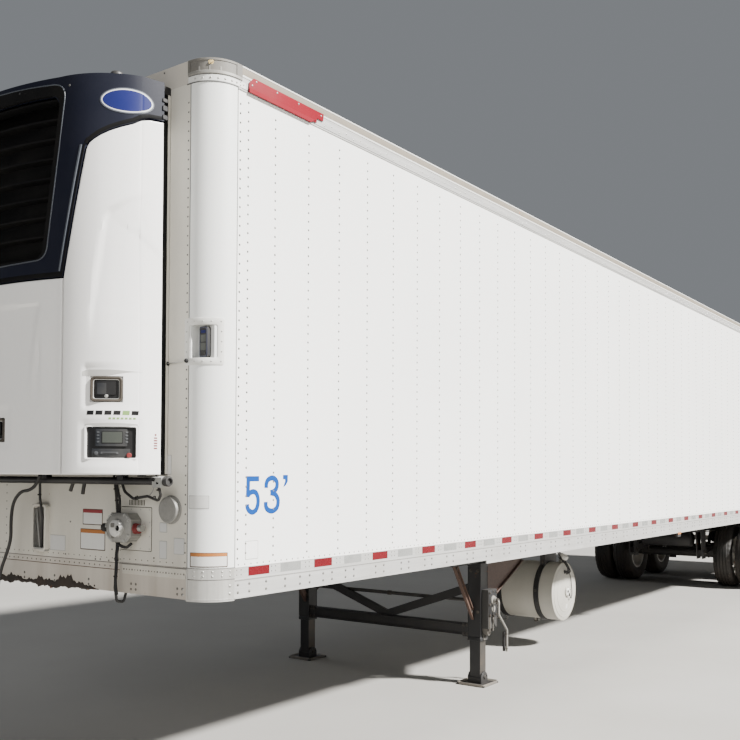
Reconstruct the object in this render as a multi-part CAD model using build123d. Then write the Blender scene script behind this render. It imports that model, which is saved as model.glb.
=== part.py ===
from build123d import *
from math import pi, radians, sqrt, tan
import os

# A refrigerated van semi-trailer of 53 feet, parked on its landing legs.
# X runs forward, Y to the trailer's left, Z up; the ground is Z = 0.
# Places along the trailer are given as distances behind the nose wall's
# outer face, and at() turns such a distance into an X of the frame.

# Body: overall sizes
BODY_LENGTH = 16154.0
BODY_WIDTH = 2590.8
BODY_TOP = 4064.0
UNIT_DEPTH = 535.0

# Body: levels above the ground
RAIL_BOTTOM = 1110.0
RAIL_LIP = 26.0
SHEET_BOTTOM = 1281.0
TOP_RAIL_HEIGHT = 137.0
FRONT_RAIL_HEIGHT = 128.0
CROSSMEMBER_HEIGHT = 101.6
RAIL_FLANGE = 6.0
FLOOR_THICKNESS = 158.0
ROOF_BOTTOM_DROP = 84.0
ROOF_EDGE_DROP = 18.0
ROOF_CROWN = 12.0

# Body: walls
RAIL_WEB = 8.0
SHEET_INSET = 5.4
WALL_THICKNESS = 52.0
NOSE_THICKNESS = 90.0
CORNER_RADIUS = 180.0
CASTING_LAP = 8.0
RAIL_STEP_AT = 3050.0
RAIL_FLANGE_WIDTH = 50.0

# Rear frame and doors
REAR_PROUD = 70.0
REAR_FRAME_DEPTH = 120.0
DOOR_THICKNESS = 80.0
DOOR_GAP = 8.0
HINGE_BACK = 57.0
HINGE_INSET = 12.4
HINGE_PIN_RADIUS = 7.0
HINGE_COUNT = 4
ROD_RADIUS = 13.5
ROD_STAND_OFF = 24.0
RUNNING_GAP = 0.05

# Crossmembers
FIRST_CROSSMEMBER_AT = 500.0
POST_PITCH = 304.8
CROSSMEMBER_FLANGE = 60.0
CROSSMEMBER_WEB = 5.0
CROSSMEMBER_FLANGE_THICKNESS = 6.0

# Coupler
KINGPIN_AT = 914.4
COUPLER_START_AT = 120.0
COUPLER_END_AT = 1750.0
COUPLER_HALF_WIDTH = 610.0
COUPLER_PLATE = 12.0
KINGPIN_COLLAR_RADIUS = 36.5
KINGPIN_COLLAR_LENGTH = 35.0
KINGPIN_NECK_RADIUS = 25.4
KINGPIN_NECK_LENGTH = 30.0
KINGPIN_FOOT_RADIUS = 35.7
KINGPIN_FOOT_LENGTH = 19.0

# Status display in the left front corner
DISPLAY_LOW = 2410.0
DISPLAY_HIGH = 2610.0
DISPLAY_FROM_SEAM = 14.6
DISPLAY_FROM_SIDE = 42.0
DISPLAY_DEPTH = 60.0
DISPLAY_MARGIN = 30.7
DISPLAY_HEIGHT = 170.0

# Landing gear
LEG_AT = 3537.0
LEG_Y = 944.0
LEG_TUBE = 120.0
LEG_INNER = 100.0
LEG_TUBE_BOTTOM = 379.0
FOOT_SIZE = 260.0
FOOT_PLATE = 12.0
FOOT_BLOCK_HEIGHT = 48.0
MOUNT_DEPTH = 80.0
MOUNT_WIDTH = 90.0
MOUNT_AHEAD = 500.0
MOUNT_BEHIND = 850.0
GUSSET_DROP = 405.0
GUSSET_TIP = 38.0
GUSSET_SHORT = 20.0
GUSSET_THICKNESS = 10.0
BEAM_BOTTOM = 411.0
BEAM_HEIGHT = 92.0
BEAM_DEPTH = 70.0
BRACE_WIDTH = 78.0
BRACE_DEPTH = 30.0
BRACE_TOP = 860.0
STRUT_WIDTH = 60.0
STRUT_DEPTH = 14.0
STRUT_FOOT = 545.0
STRUT_AHEAD = 330.0
GEARBOX_SIZE = (150.0, 64.0, 330.0)
GEARBOX_BOTTOM = 480.0
CRANK_RADIUS = 10.0
SHAFT_RADIUS = 16.0
SHAFT_LEVEL = 700.0
SHAFT_BEHIND = 36.0

# Fuel tank
TANK_AT = 5575.0
TANK_RADIUS = 300.0
TANK_LEVEL = 575.0
TANK_LEFT = 840.0
TANK_RIGHT = 200.0
TANK_DOME = 35.0
STRAP_THICKNESS = 6.0
STRAP_WIDTH = 55.0
STRAP_INSET = 178.0
STRAP_INSET_RIGHT = 36.0
HANGER_WIDTH = 70.0
SENDER_RADIUS = 38.0
SENDER_PROUD = 12.0
FILLER_INSET = 60.0
FILLER_LEAN = 30.0
FILLER_HEIGHT = 35.0
FILLER_RADIUS = 30.0
FILLER_CAP_RADIUS = 42.0

# Running gear
FRONT_AXLE_AT = 12150.0
AXLE_SPACING = 1245.0
TYRE_RADIUS = 508.0
TYRE_WIDTH = 280.0
TYRE_CROWN = 12.0
TYRE_SHOULDER = 42.0
DUAL_SPACING = 337.0
DUAL_CENTRE_Y = 984.0
RIM_RADIUS = 286.0
RIM_WIDTH = 210.0
RIM_THICKNESS = 12.0
RIM_LIP = 16.0
DISC_THICKNESS = 12.0
HAND_HOLES = 10
HAND_HOLE_RADIUS = 24.0
HAND_HOLE_PITCH_RADIUS = 236.0
HUB_RADIUS = 110.0
HUB_OUTER_LENGTH = 170.0
HUB_CAP_RADIUS = 78.0
HUB_CAP_LENGTH = 30.0
DRUM_RADIUS = 212.0
DRUM_WIDTH = 190.0
DRUM_WALL = 16.0
SPINDLE_RADIUS = 44.0
AXLE_RADIUS = 63.5

# Slider and suspension
FRAME_Y = 545.0
SLIDE_RAIL_START_AT = 10000.0
SLIDE_RAIL_END_AT = 15700.0
SLIDE_RAIL_HEIGHT = 86.0
SLIDE_RAIL_WIDTH = 100.0
BOGIE_START_AT = 11100.0
BOGIE_END_AT = 14250.0
BOGIE_HEIGHT = 125.0
BOGIE_WIDTH = 90.0
BOGIE_CROSS_DEPTH = 100.0
PIVOT_AHEAD = 620.0
PIVOT_LEVEL = 560.0
HANGER_BOTTOM = 470.0
HANGER_TOP_LENGTH = 320.0
HANGER_FOOT_LENGTH = 170.0
HANGER_PLATE = 14.0
ARM_WIDTH = 66.0
ARM_HEIGHT = 96.0
ARM_TAIL = 470.0
SEAT_LENGTH = 190.0
SPRING_BEHIND = 340.0
SPRING_RADIUS = 130.0
SPRING_PLATE = 10.0

# Brake chambers and air tank
CHAMBER_Y = 380.0
CHAMBER_BEHIND = 110.0
CHAMBER_LENGTH = 210.0
CHAMBER_RADIUS = 78.0
CHAMBER_LEVEL = 600.0
AIR_TANK_AT = 11560.0
AIR_TANK_RADIUS = 120.0
AIR_TANK_HALF = 430.0
AIR_TANK_DROP = 15.0

# Lamps
MARKER_AT = 8000.0
REAR_MARKER_AHEAD = 420.0
MARKER_SIZE = (120.0, 26.0, 48.0)
TAIL_LAMP_RADIUS = 52.0
TAIL_LAMP_COUNT = 3
TAIL_LAMP_PITCH = 140.0
TAIL_LAMP_FROM_BUMPER = 110.0
TAIL_LAMP_PROUD = 18.0
TAIL_LAMP_LEVEL = 1185.0
TOP_LAMP_Y = (-150.0, 0.0, 150.0, -1130.0, 1130.0)
TOP_LAMP_SIZE = (16.0, 110.0, 32.0)

# Nose fittings, on the left of the nose below the cooling unit
NOSE_BOX_FROM_SEAM = 387.4
NOSE_BOX_WIDTH = 165.0
NOSE_BOX_LEVELS = (1418.0, 1558.0)
NOSE_BOX_DEPTH = 90.0
NOSE_BOX_LID_RADIUS = 46.0
NOSE_CAP_FROM_SEAM = 125.4
NOSE_CAP_LEVEL = 1595.0
NOSE_CAP_RADIUS = 72.0
NOSE_CAP_DEPTH = 30.0
HOLDER_Y = (-235.0, -105.0)
HOLDER_LEVELS = (1312.0, 1599.0)
HOLDER_DEPTH = 34.0
LEAD_RADIUS = 8.0
HOSE_RADIUS = 10.0
HOSE_ROUTE = [
    # ahead of the nose wall, y, z
    (150.0, 5.0, 1780.0), (143.0, -38.0, 1722.0), (134.0, -122.0, 1688.0), (126.0, -226.0, 1680.0),
    (121.0, -312.0, 1610.0), (120.0, -332.0, 1496.0), (118.0, -330.0, 1382.0), (115.0, -384.0, 1282.0),
    (112.0, -446.0, 1184.0), (108.0, -478.0, 1090.0),
]
LEAD_ROUTES = [
    # bend radius, places ahead of the nose wall, y, z
    (60.0, [(60.0, 575.0, 1784.4), (56.0, 590.0, 1680.0), (50.0, 598.0, 1559.0)]),
    (35.0, [(60.0, 625.0, 1782.9), (52.0, 660.0, 1690.0), (50.0, 730.0, 1652.0), (50.0, 850.0, 1668.0),
            (56.0, 945.0, 1645.0), (80.0, 992.0, 1680.0), (100.0, 994.0, 1727.6)]),
    (22.0, [(52.0, 600.0, 1417.0), (50.0, 590.0, 1290.0), (40.0, 568.0, 1140.0), (22.0, 564.0, 1060.0),
            (-30.0, 560.0, 1050.0), (-52.0, 556.0, 1106.6)]),
    (60.0, [(60.0, -125.0, 1784.6), (48.0, -139.0, 1640.0), (36.0, -128.0, 1520.0), (21.0, -160.0, 1334.0)]),
]

# Rear guard and mud flaps
GUARD_TUBE = 100.0
GUARD_BOTTOM = 455.0
GUARD_HALF_WIDTH = 1200.0
GUARD_POST_Y = 480.0
FLAP_BEHIND = 270.0
FLAP_BOTTOM = 230.0
FLAP_THICKNESS = 8.0
FLAP_BAR = 50.0
BUMPER_FROM_SIDE = 65.4
BUMPER_WIDTH = 280.0
BUMPER_HEIGHT = 150.0
BUMPER_DROP = 60.0
BUMPER_BACK = 10.0

# Refrigeration unit
UNIT_REAR = 75.0
UNIT_HALF_WIDTH = 985.0
UNIT_BOTTOM = 1786.0
UNIT_BELOW_TOP = 120.0
UNIT_SKIN = 30.0
UNIT_CORNER_X = 200.0
UNIT_CORNER_Y = 950.0
UNIT_CORNER_BULGE = (352.0, 812.0)
UNIT_FRONT_X = 452.0
UNIT_FRONT_Y = 576.0
UNIT_BACK_PLATE = 45.0
UNIT_BACK_HALF_WIDTH = 955.0
UNIT_GAP = 8.0
FRONT_DOOR_HALF_WIDTH = 606.0
FRONT_DOOR_BELOW = 1098.0
SIDE_DOOR_REAR_BELOW = 222.0
SIDE_DOOR_LEVEL_Y = 956.0
# y and distance below the unit's top, along the upper edge of a side door
SIDE_DOOR_EDGE = [(925.0, 264.0), (885.0, 286.0), (842.0, 309.0), (800.0, 335.0), (771.0, 357.0)]
SIDE_DOOR_FRONT_BELOW = 388.0
SIDE_DOOR_TOP_Y = 740.0
GRILLE_BELOW = 94.0
GRILLE_HEIGHT = 890.0
GRILLE_TOP_HALF = 585.0
GRILLE_BOTTOM_HALF = 470.0
GRILLE_CORNER = 70.0
GRILLE_CUT_FROM = 275.0
LOUVRE_COUNT = 8
LOUVRE_BELOW = 104.0
LOUVRE_PITCH = 106.5
LOUVRE_DEPTH = 60.0
LOUVRE_THICKNESS = 10.0
LOUVRE_LAP = 20.0
LOUVRE_SEAT = 0.2
COIL_FRONT = 330.0
COIL_HALF_WIDTH = 560.0
COIL_BOTTOM_BELOW = 1044.0
COIL_BELOW_TOP = 44.0
COIL_THICKNESS = 60.0
COIL_SIDE = 12.0
POCKET_DEPTH = 18.0
LATCH_POCKET = (263.0, 771.0, (2174.0, 2312.0))
DISPLAY_POCKET = (193.0, 758.0, (1874.0, 2045.0))
FRONT_LATCH_POCKET = ((30.0, 210.0), (1965.0, 2100.0))
PIVOT_PIN_RADIUS = 5.0
PIVOT_PIN_LENGTH = 18.0
BASE_TRAY = 40.0
BASE_TUBE_RADIUS = 21.0
BASE_TUBE_LEVEL = 1752.0
BASE_TUBE_X = 100.0
BASE_TUBE_HALF = 1010.0
BASE_BRACKET_Y = 700.0
ENGINE_SIZE = (300.0, 1000.0, 640.0)

# Derived places
HALF_WIDTH = BODY_WIDTH / 2
X_NOSE = (BODY_LENGTH - UNIT_DEPTH) / 2
SHEET_Y = HALF_WIDTH - SHEET_INSET
INSIDE_Y = SHEET_Y - WALL_THICKNESS
WEB_Y = HALF_WIDTH - RAIL_WEB
CROSSMEMBER_BOTTOM = RAIL_BOTTOM + RAIL_FLANGE
FLOOR_BOTTOM = CROSSMEMBER_BOTTOM + CROSSMEMBER_HEIGHT
FLOOR_TOP = FLOOR_BOTTOM + FLOOR_THICKNESS
TOP_RAIL_BOTTOM = BODY_TOP - TOP_RAIL_HEIGHT
FRONT_RAIL_BOTTOM = BODY_TOP - FRONT_RAIL_HEIGHT
REAR_AT = BODY_LENGTH - REAR_PROUD
REAR_FRAME_AT = REAR_AT - REAR_FRAME_DEPTH
UNIT_TOP = BODY_TOP - UNIT_BELOW_TOP
COIL_TOP = UNIT_TOP - COIL_BELOW_TOP
COIL_BOTTOM = UNIT_TOP - COIL_BOTTOM_BELOW
FRONT_DOOR_TOP = UNIT_TOP - FRONT_DOOR_BELOW
SIDE_DOOR_TOP_REAR = UNIT_TOP - SIDE_DOOR_REAR_BELOW
SIDE_DOOR_TOP_FRONT = UNIT_TOP - SIDE_DOOR_FRONT_BELOW
GRILLE_TOP = UNIT_TOP - GRILLE_BELOW
GRILLE_BOTTOM = GRILLE_TOP - GRILLE_HEIGHT
LOUVRE_TOP = UNIT_TOP - LOUVRE_BELOW
SEAM_Y = HALF_WIDTH - CORNER_RADIUS
DISPLAY_Y = (SEAM_Y + DISPLAY_FROM_SEAM, HALF_WIDTH - DISPLAY_FROM_SIDE)
NOSE_BOX_Y = (SEAM_Y - NOSE_BOX_FROM_SEAM - NOSE_BOX_WIDTH, SEAM_Y - NOSE_BOX_FROM_SEAM)
NOSE_CAP_Y = SEAM_Y - NOSE_CAP_FROM_SEAM
BUMPER_INNER_Y = HALF_WIDTH - BUMPER_FROM_SIDE - BUMPER_WIDTH
TAIL_LAMP_Y = [BUMPER_INNER_Y - TAIL_LAMP_FROM_BUMPER - TAIL_LAMP_PITCH * index for index in reversed(range(TAIL_LAMP_COUNT))]
LEG_TOP = CROSSMEMBER_BOTTOM - MOUNT_DEPTH
AXLES_AT = (FRONT_AXLE_AT, FRONT_AXLE_AT + AXLE_SPACING)
SIDES = {"left": 1, "right": -1}


def at(distance):
    return X_NOSE - distance


def block(x_pair, y_pair, z_pair):
    low = [min(pair) for pair in (x_pair, y_pair, z_pair)]
    high = [max(pair) for pair in (x_pair, y_pair, z_pair)]
    size = [b - a for a, b in zip(low, high)]
    centre = [(a + b) / 2 for a, b in zip(low, high)]
    return Pos(*centre) * Box(*size)


def mirror_y(shape):
    return shape.mirror(Plane.XZ)


def both_sides(shape):
    return [shape, mirror_y(shape)]


def prism(points, plane, length):
    face = make_face(Polyline(*points, close=True))
    return extrude(plane * face, amount=length)


def prism_x(points_yz, x_low, x_high):
    plane = Plane(origin=(x_low, 0, 0), x_dir=(0, 1, 0), z_dir=(1, 0, 0))
    return prism(points_yz, plane, x_high - x_low)


def prism_y(points_xz, y_low, y_high):
    plane = Plane(origin=(0, y_high, 0), x_dir=(1, 0, 0), z_dir=(0, -1, 0))
    return prism(points_xz, plane, y_high - y_low)


def prism_z(points_xy, z_low, z_high):
    return prism(points_xy, Plane(origin=(0, 0, z_low)), z_high - z_low)


def rod(start, end, radius):
    start, end = Vector(*start), Vector(*end)
    plane = Plane(origin=start, z_dir=end - start)
    return extrude(plane * Circle(radius), amount=(end - start).length)


def bar_points(start, end, width):
    run = (end[0] - start[0], end[1] - start[1])
    length = sqrt(run[0] ** 2 + run[1] ** 2)
    side = (-run[1] / length * width / 2, run[0] / length * width / 2)
    return [(start[0] + side[0], start[1] + side[1]), (end[0] + side[0], end[1] + side[1]),
            (end[0] - side[0], end[1] - side[1]), (start[0] - side[0], start[1] - side[1])]


def turned(profile_ry, x, z):
    # A profile of (radius, y) points turned about the wheel's axis along Y.
    plane = Plane(origin=(x, 0, z), x_dir=(1, 0, 0), z_dir=(0, 0, 1))
    face = plane * make_face(Polyline(*profile_ry, close=True))
    return revolve(face, axis=Axis((x, 0, z), (0, 1, 0)))


def save(node, *shapes):
    solids = [solid for shape in shapes for solid in shape.solids()]
    export_step(Compound(children=solids), f"parts/{node}.step")


def floor():
    deck = block((at(NOSE_THICKNESS), at(REAR_FRAME_AT)), (-INSIDE_Y, INSIDE_Y), (FLOOR_BOTTOM, FLOOR_TOP))
    ledge = block((at(CORNER_RADIUS), at(REAR_FRAME_AT)), (INSIDE_Y, WEB_Y), (FLOOR_BOTTOM, SHEET_BOTTOM))
    save("floor", deck + ledge + mirror_y(ledge))


def crossmembers():
    half, web = CROSSMEMBER_FLANGE / 2, CROSSMEMBER_WEB / 2
    low, high = CROSSMEMBER_BOTTOM, FLOOR_BOTTOM
    flange = CROSSMEMBER_FLANGE_THICKNESS
    count = int((REAR_FRAME_AT - half - FIRST_CROSSMEMBER_AT) / POST_PITCH) + 1
    beams = []
    for index in range(count):
        x = at(FIRST_CROSSMEMBER_AT + index * POST_PITCH)
        outline = [(x - half, low), (x + half, low), (x + half, low + flange), (x + web, low + flange),
                   (x + web, high - flange), (x + half, high - flange), (x + half, high), (x - half, high),
                   (x - half, high - flange), (x - web, high - flange), (x - web, low + flange),
                   (x - half, low + flange)]
        beams.append(prism_y(outline, -WEB_Y, WEB_Y))
    save("crossmembers", *beams)


def side_rails():
    stretches = [
        # from, to, bottom of the web
        (CORNER_RADIUS, RAIL_STEP_AT, RAIL_BOTTOM),
        (RAIL_STEP_AT, REAR_FRAME_AT, RAIL_BOTTOM - RAIL_LIP),
    ]
    rail = None
    for start, end, bottom in stretches:
        web = block((at(start), at(end)), (WEB_Y, HALF_WIDTH), (bottom, SHEET_BOTTOM))
        rail = web if rail is None else rail + web
    flange = block((at(CORNER_RADIUS), at(REAR_FRAME_AT)), (WEB_Y - RAIL_FLANGE_WIDTH, WEB_Y),
                   (RAIL_BOTTOM, CROSSMEMBER_BOTTOM))
    save("side_rails", *both_sides(rail + flange))


def side_walls():
    wall = block((at(CORNER_RADIUS), at(REAR_FRAME_AT)), (INSIDE_Y, SHEET_Y), (SHEET_BOTTOM, TOP_RAIL_BOTTOM))
    save("side_walls", *both_sides(wall))


def top_rails():
    edge = 14.0
    outline = [(INSIDE_Y, TOP_RAIL_BOTTOM), (HALF_WIDTH, TOP_RAIL_BOTTOM), (HALF_WIDTH, BODY_TOP - edge),
               (HALF_WIDTH - edge, BODY_TOP), (INSIDE_Y, BODY_TOP)]
    save("top_rails", *both_sides(prism_x(outline, at(REAR_FRAME_AT), at(CORNER_RADIUS))))


def roof():
    low, edge = BODY_TOP - ROOF_BOTTOM_DROP, BODY_TOP - ROOF_EDGE_DROP
    outline = [(-INSIDE_Y, low), (INSIDE_Y, low), (INSIDE_Y, edge), (0, edge + ROOF_CROWN), (-INSIDE_Y, edge)]
    save("roof", prism_x(outline, at(REAR_FRAME_AT), at(NOSE_THICKNESS)))


def nose_wall():
    save("nose_wall", block((at(NOSE_THICKNESS), at(0)), (-SEAM_Y, SEAM_Y), (SHEET_BOTTOM, FRONT_RAIL_BOTTOM)))


def corner_outline(lap):
    # Plan of one front corner: a round outside and a square inside.
    inner = SEAM_Y - lap
    middle = CORNER_RADIUS * (1 - sqrt(0.5))
    arc = ThreePointArc((at(0), SEAM_Y), (at(middle), HALF_WIDTH - middle), (at(CORNER_RADIUS), HALF_WIDTH))
    points = [(at(CORNER_RADIUS), HALF_WIDTH), (at(CORNER_RADIUS), INSIDE_Y), (at(NOSE_THICKNESS), INSIDE_Y),
              (at(NOSE_THICKNESS), inner), (at(0), inner)]
    if lap > 0:
        points.append((at(0), SEAM_Y))
    return make_face([arc, Polyline(*points)])


def corner(z_low, z_high, lap):
    return extrude(Plane(origin=(0, 0, z_low)) * corner_outline(lap), amount=z_high - z_low)


def display_recess():
    # A pocket that opens forwards and outwards, through the left corner's round face.
    x_back = at(DISPLAY_DEPTH)
    return block((x_back, at(-1)), DISPLAY_Y, (DISPLAY_LOW, DISPLAY_HIGH))


def corner_posts():
    left = corner(SHEET_BOTTOM, FRONT_RAIL_BOTTOM, 0.0)
    right = mirror_y(left)
    save("corner_posts", left - display_recess(), right)
    z_middle = (DISPLAY_LOW + DISPLAY_HIGH) / 2
    body = block((at(DISPLAY_DEPTH), at(DISPLAY_DEPTH - 26)), (DISPLAY_Y[0] + DISPLAY_MARGIN, DISPLAY_Y[1] - DISPLAY_MARGIN),
                 (z_middle - DISPLAY_HEIGHT / 2, z_middle + DISPLAY_HEIGHT / 2))
    save("status_display", fillet(body.edges().filter_by(Axis.X), 12))


def corner_castings():
    lower = corner(RAIL_BOTTOM - CASTING_LAP, SHEET_BOTTOM, CASTING_LAP)
    upper = corner(FRONT_RAIL_BOTTOM, BODY_TOP, CASTING_LAP)
    save("corner_castings", *both_sides(lower), *both_sides(upper))


def front_rails():
    half = SEAM_Y - CASTING_LAP
    sill = block((at(NOSE_THICKNESS), at(0)), (-half, half), (RAIL_BOTTOM, SHEET_BOTTOM))
    header = block((at(NOSE_THICKNESS), at(0)), (-half, half), (FRONT_RAIL_BOTTOM, BODY_TOP))
    save("front_rails", sill, header)


DOOR_LOW = FLOOR_TOP + DOOR_GAP
DOOR_HIGH = TOP_RAIL_BOTTOM - DOOR_GAP
DOOR_EDGE_Y = INSIDE_Y - DOOR_GAP
HINGE_X = at(REAR_AT + HINGE_BACK)
HINGE_Y = HALF_WIDTH - HINGE_INSET
HINGE_LEVELS = [DOOR_LOW + (DOOR_HIGH - DOOR_LOW) * (index + 0.5) / HINGE_COUNT for index in range(HINGE_COUNT)]
KNUCKLE_HEIGHT = 60.0
KNUCKLE_WALL = 5.0
LUG_HEIGHT = 24.0
LUG_GAP = 2.0
STRAP_THICK = 10.0
STRAP_REACH = 240.0


def rear_frame():
    x_pair = (at(REAR_AT), at(REAR_FRAME_AT))
    frame = block(x_pair, (-HALF_WIDTH, HALF_WIDTH), (RAIL_BOTTOM, BODY_TOP))
    frame -= block(x_pair, (-INSIDE_Y, INSIDE_Y), (FLOOR_TOP, TOP_RAIL_BOTTOM))
    for level in HINGE_LEVELS:
        reach = KNUCKLE_HEIGHT / 2 + LUG_GAP
        hinge = rod((HINGE_X, HINGE_Y, level - reach - LUG_HEIGHT),
                    (HINGE_X, HINGE_Y, level + reach + LUG_HEIGHT), HINGE_PIN_RADIUS)
        for low in (level - reach - LUG_HEIGHT, level + reach):
            hinge += block((HINGE_X - HINGE_INSET, at(REAR_AT)), (HINGE_Y - 12, HALF_WIDTH), (low, low + LUG_HEIGHT))
        frame += hinge
        frame += mirror_y(hinge)
    save("rear_frame", frame)


def rear_door():
    return block((at(REAR_AT), at(REAR_AT - DOOR_THICKNESS)), (DOOR_GAP, DOOR_EDGE_Y), (DOOR_LOW, DOOR_HIGH))


def door_hardware():
    x_face = at(REAR_AT)
    pieces = []
    for level in HINGE_LEVELS:
        low, high = level - KNUCKLE_HEIGHT / 2, level + KNUCKLE_HEIGHT / 2
        web_end = (x_face - STRAP_THICK / 2, DOOR_EDGE_Y - 20)
        strap = prism_z(bar_points((HINGE_X, HINGE_Y), web_end, STRAP_THICK), low, high)
        strap += block((x_face - STRAP_THICK, x_face), (DOOR_EDGE_Y - STRAP_REACH, web_end[1] + 8), (low, high))
        strap += rod((HINGE_X, HINGE_Y, low), (HINGE_X, HINGE_Y, high), HINGE_PIN_RADIUS + KNUCKLE_WALL)
        strap -= rod((HINGE_X, HINGE_Y, low), (HINGE_X, HINGE_Y, high), HINGE_PIN_RADIUS + RUNNING_GAP)
        pieces.append(strap)
    x_rod = x_face - ROD_STAND_OFF
    margin = 20.0
    for y in (160.0, 620.0):
        lock = rod((x_rod, y, DOOR_LOW + margin), (x_rod, y, DOOR_HIGH - margin), ROD_RADIUS)
        for share in (0.03, 0.27, 0.5, 0.73, 0.97):
            level = DOOR_LOW + (DOOR_HIGH - DOOR_LOW) * share
            lock += block((x_rod - ROD_RADIUS, x_face), (y - 30, y + 30), (level - 30, level + 30))
        handle_level = FLOOR_TOP + 330.0
        lock += block((x_rod - ROD_RADIUS, x_rod + 2), (y, y + 330), (handle_level - 14, handle_level + 14))
        pieces.append(lock)
    return pieces


def coupler():
    plate = block((at(COUPLER_START_AT), at(COUPLER_END_AT)), (-COUPLER_HALF_WIDTH, COUPLER_HALF_WIDTH),
                  (CROSSMEMBER_BOTTOM - COUPLER_PLATE, CROSSMEMBER_BOTTOM))
    stretches = [
        # radius, length
        (KINGPIN_COLLAR_RADIUS, KINGPIN_COLLAR_LENGTH),
        (KINGPIN_NECK_RADIUS, KINGPIN_NECK_LENGTH),
        (KINGPIN_FOOT_RADIUS, KINGPIN_FOOT_LENGTH),
    ]
    level = CROSSMEMBER_BOTTOM - COUPLER_PLATE
    for radius, length in stretches:
        plate += rod((at(KINGPIN_AT), 0, level), (at(KINGPIN_AT), 0, level - length), radius)
        level -= length
    save("coupler", plate)


def landing_gear():
    half = LEG_TUBE / 2
    mount = block((at(LEG_AT - MOUNT_AHEAD), at(LEG_AT + MOUNT_BEHIND)),
                  (LEG_Y - MOUNT_WIDTH / 2, LEG_Y + MOUNT_WIDTH / 2), (LEG_TOP, CROSSMEMBER_BOTTOM))
    rear_face = at(LEG_AT + half)
    tip_x = at(LEG_AT + MOUNT_BEHIND - GUSSET_SHORT)
    gusset = prism_y([(rear_face, LEG_TOP), (tip_x, LEG_TOP), (tip_x, LEG_TOP - GUSSET_TIP),
                      (rear_face, LEG_TOP - GUSSET_DROP)], LEG_Y - GUSSET_THICKNESS / 2, LEG_Y + GUSSET_THICKNESS / 2)
    mounts = both_sides(mount + gusset)

    inner = LEG_INNER / 2
    outer_tube = block((at(LEG_AT - half), rear_face), (LEG_Y - half, LEG_Y + half), (LEG_TUBE_BOTTOM, LEG_TOP))
    inner_tube = block((at(LEG_AT - inner), at(LEG_AT + inner)), (LEG_Y - inner, LEG_Y + inner),
                       (FOOT_PLATE + FOOT_BLOCK_HEIGHT, LEG_TUBE_BOTTOM))
    foot_block = block((at(LEG_AT - half), rear_face), (LEG_Y - half, LEG_Y + half),
                       (FOOT_PLATE, FOOT_PLATE + FOOT_BLOCK_HEIGHT))
    foot = block((at(LEG_AT - FOOT_SIZE / 2), at(LEG_AT + FOOT_SIZE / 2)),
                 (LEG_Y - FOOT_SIZE / 2, LEG_Y + FOOT_SIZE / 2), (0, FOOT_PLATE))
    save("landing_legs", *both_sides(outer_tube + inner_tube + foot_block + foot))

    reach = LEG_Y - half
    beam_top = BEAM_BOTTOM + BEAM_HEIGHT
    beam = block((at(LEG_AT - BEAM_DEPTH / 2), at(LEG_AT + BEAM_DEPTH / 2)), (-reach, reach), (BEAM_BOTTOM, beam_top))
    drop = BRACE_WIDTH
    brace = prism_x([(0, beam_top), (0, beam_top + drop * 0.6), (reach, BRACE_TOP), (reach, BRACE_TOP - drop),
                     (drop, beam_top)], at(LEG_AT + BRACE_DEPTH / 2), at(LEG_AT - BRACE_DEPTH / 2))
    front_face = at(LEG_AT - half)
    strut = prism_y([(front_face, STRUT_FOOT), (front_face, STRUT_FOOT + STRUT_WIDTH * 1.6),
                     (at(LEG_AT - STRUT_AHEAD), LEG_TOP), (at(LEG_AT - STRUT_AHEAD - STRUT_WIDTH), LEG_TOP)],
                    LEG_Y - STRUT_WIDTH / 2, LEG_Y - STRUT_WIDTH / 2 + STRUT_DEPTH)
    save("landing_gear_frame", beam + brace + mirror_y(brace),
         *[piece + leg_brace for piece, leg_brace in zip(mounts, both_sides(strut))])

    depth, width, height = GEARBOX_SIZE
    y_face = LEG_Y + half
    x_box = at(LEG_AT + 35)
    gearbox = block((x_box - depth / 2, x_box + depth / 2), (y_face, y_face + width),
                    (GEARBOX_BOTTOM, GEARBOX_BOTTOM + height))
    x_shaft = at(LEG_AT + SHAFT_BEHIND)
    shaft = rod((x_shaft, reach, SHAFT_LEVEL), (x_shaft, -reach, SHAFT_LEVEL), SHAFT_RADIUS)
    y_crank = y_face + width + 60
    route = [(x_box, y_face + width, 720.0), (x_box, y_crank, 720.0), (x_box, y_crank, 600.0),
             (x_box - 150, y_crank, 450.0), (x_box - 150, y_crank, 265.0)]
    path = FilletPolyline(*route, radius=[CRANK_RADIUS * 2] * 3)
    crank = sweep(Plane(origin=route[0], z_dir=(0, 1, 0)) * Circle(CRANK_RADIUS), path=path)
    save("landing_gear_drive", gearbox + crank, shaft)


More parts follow.
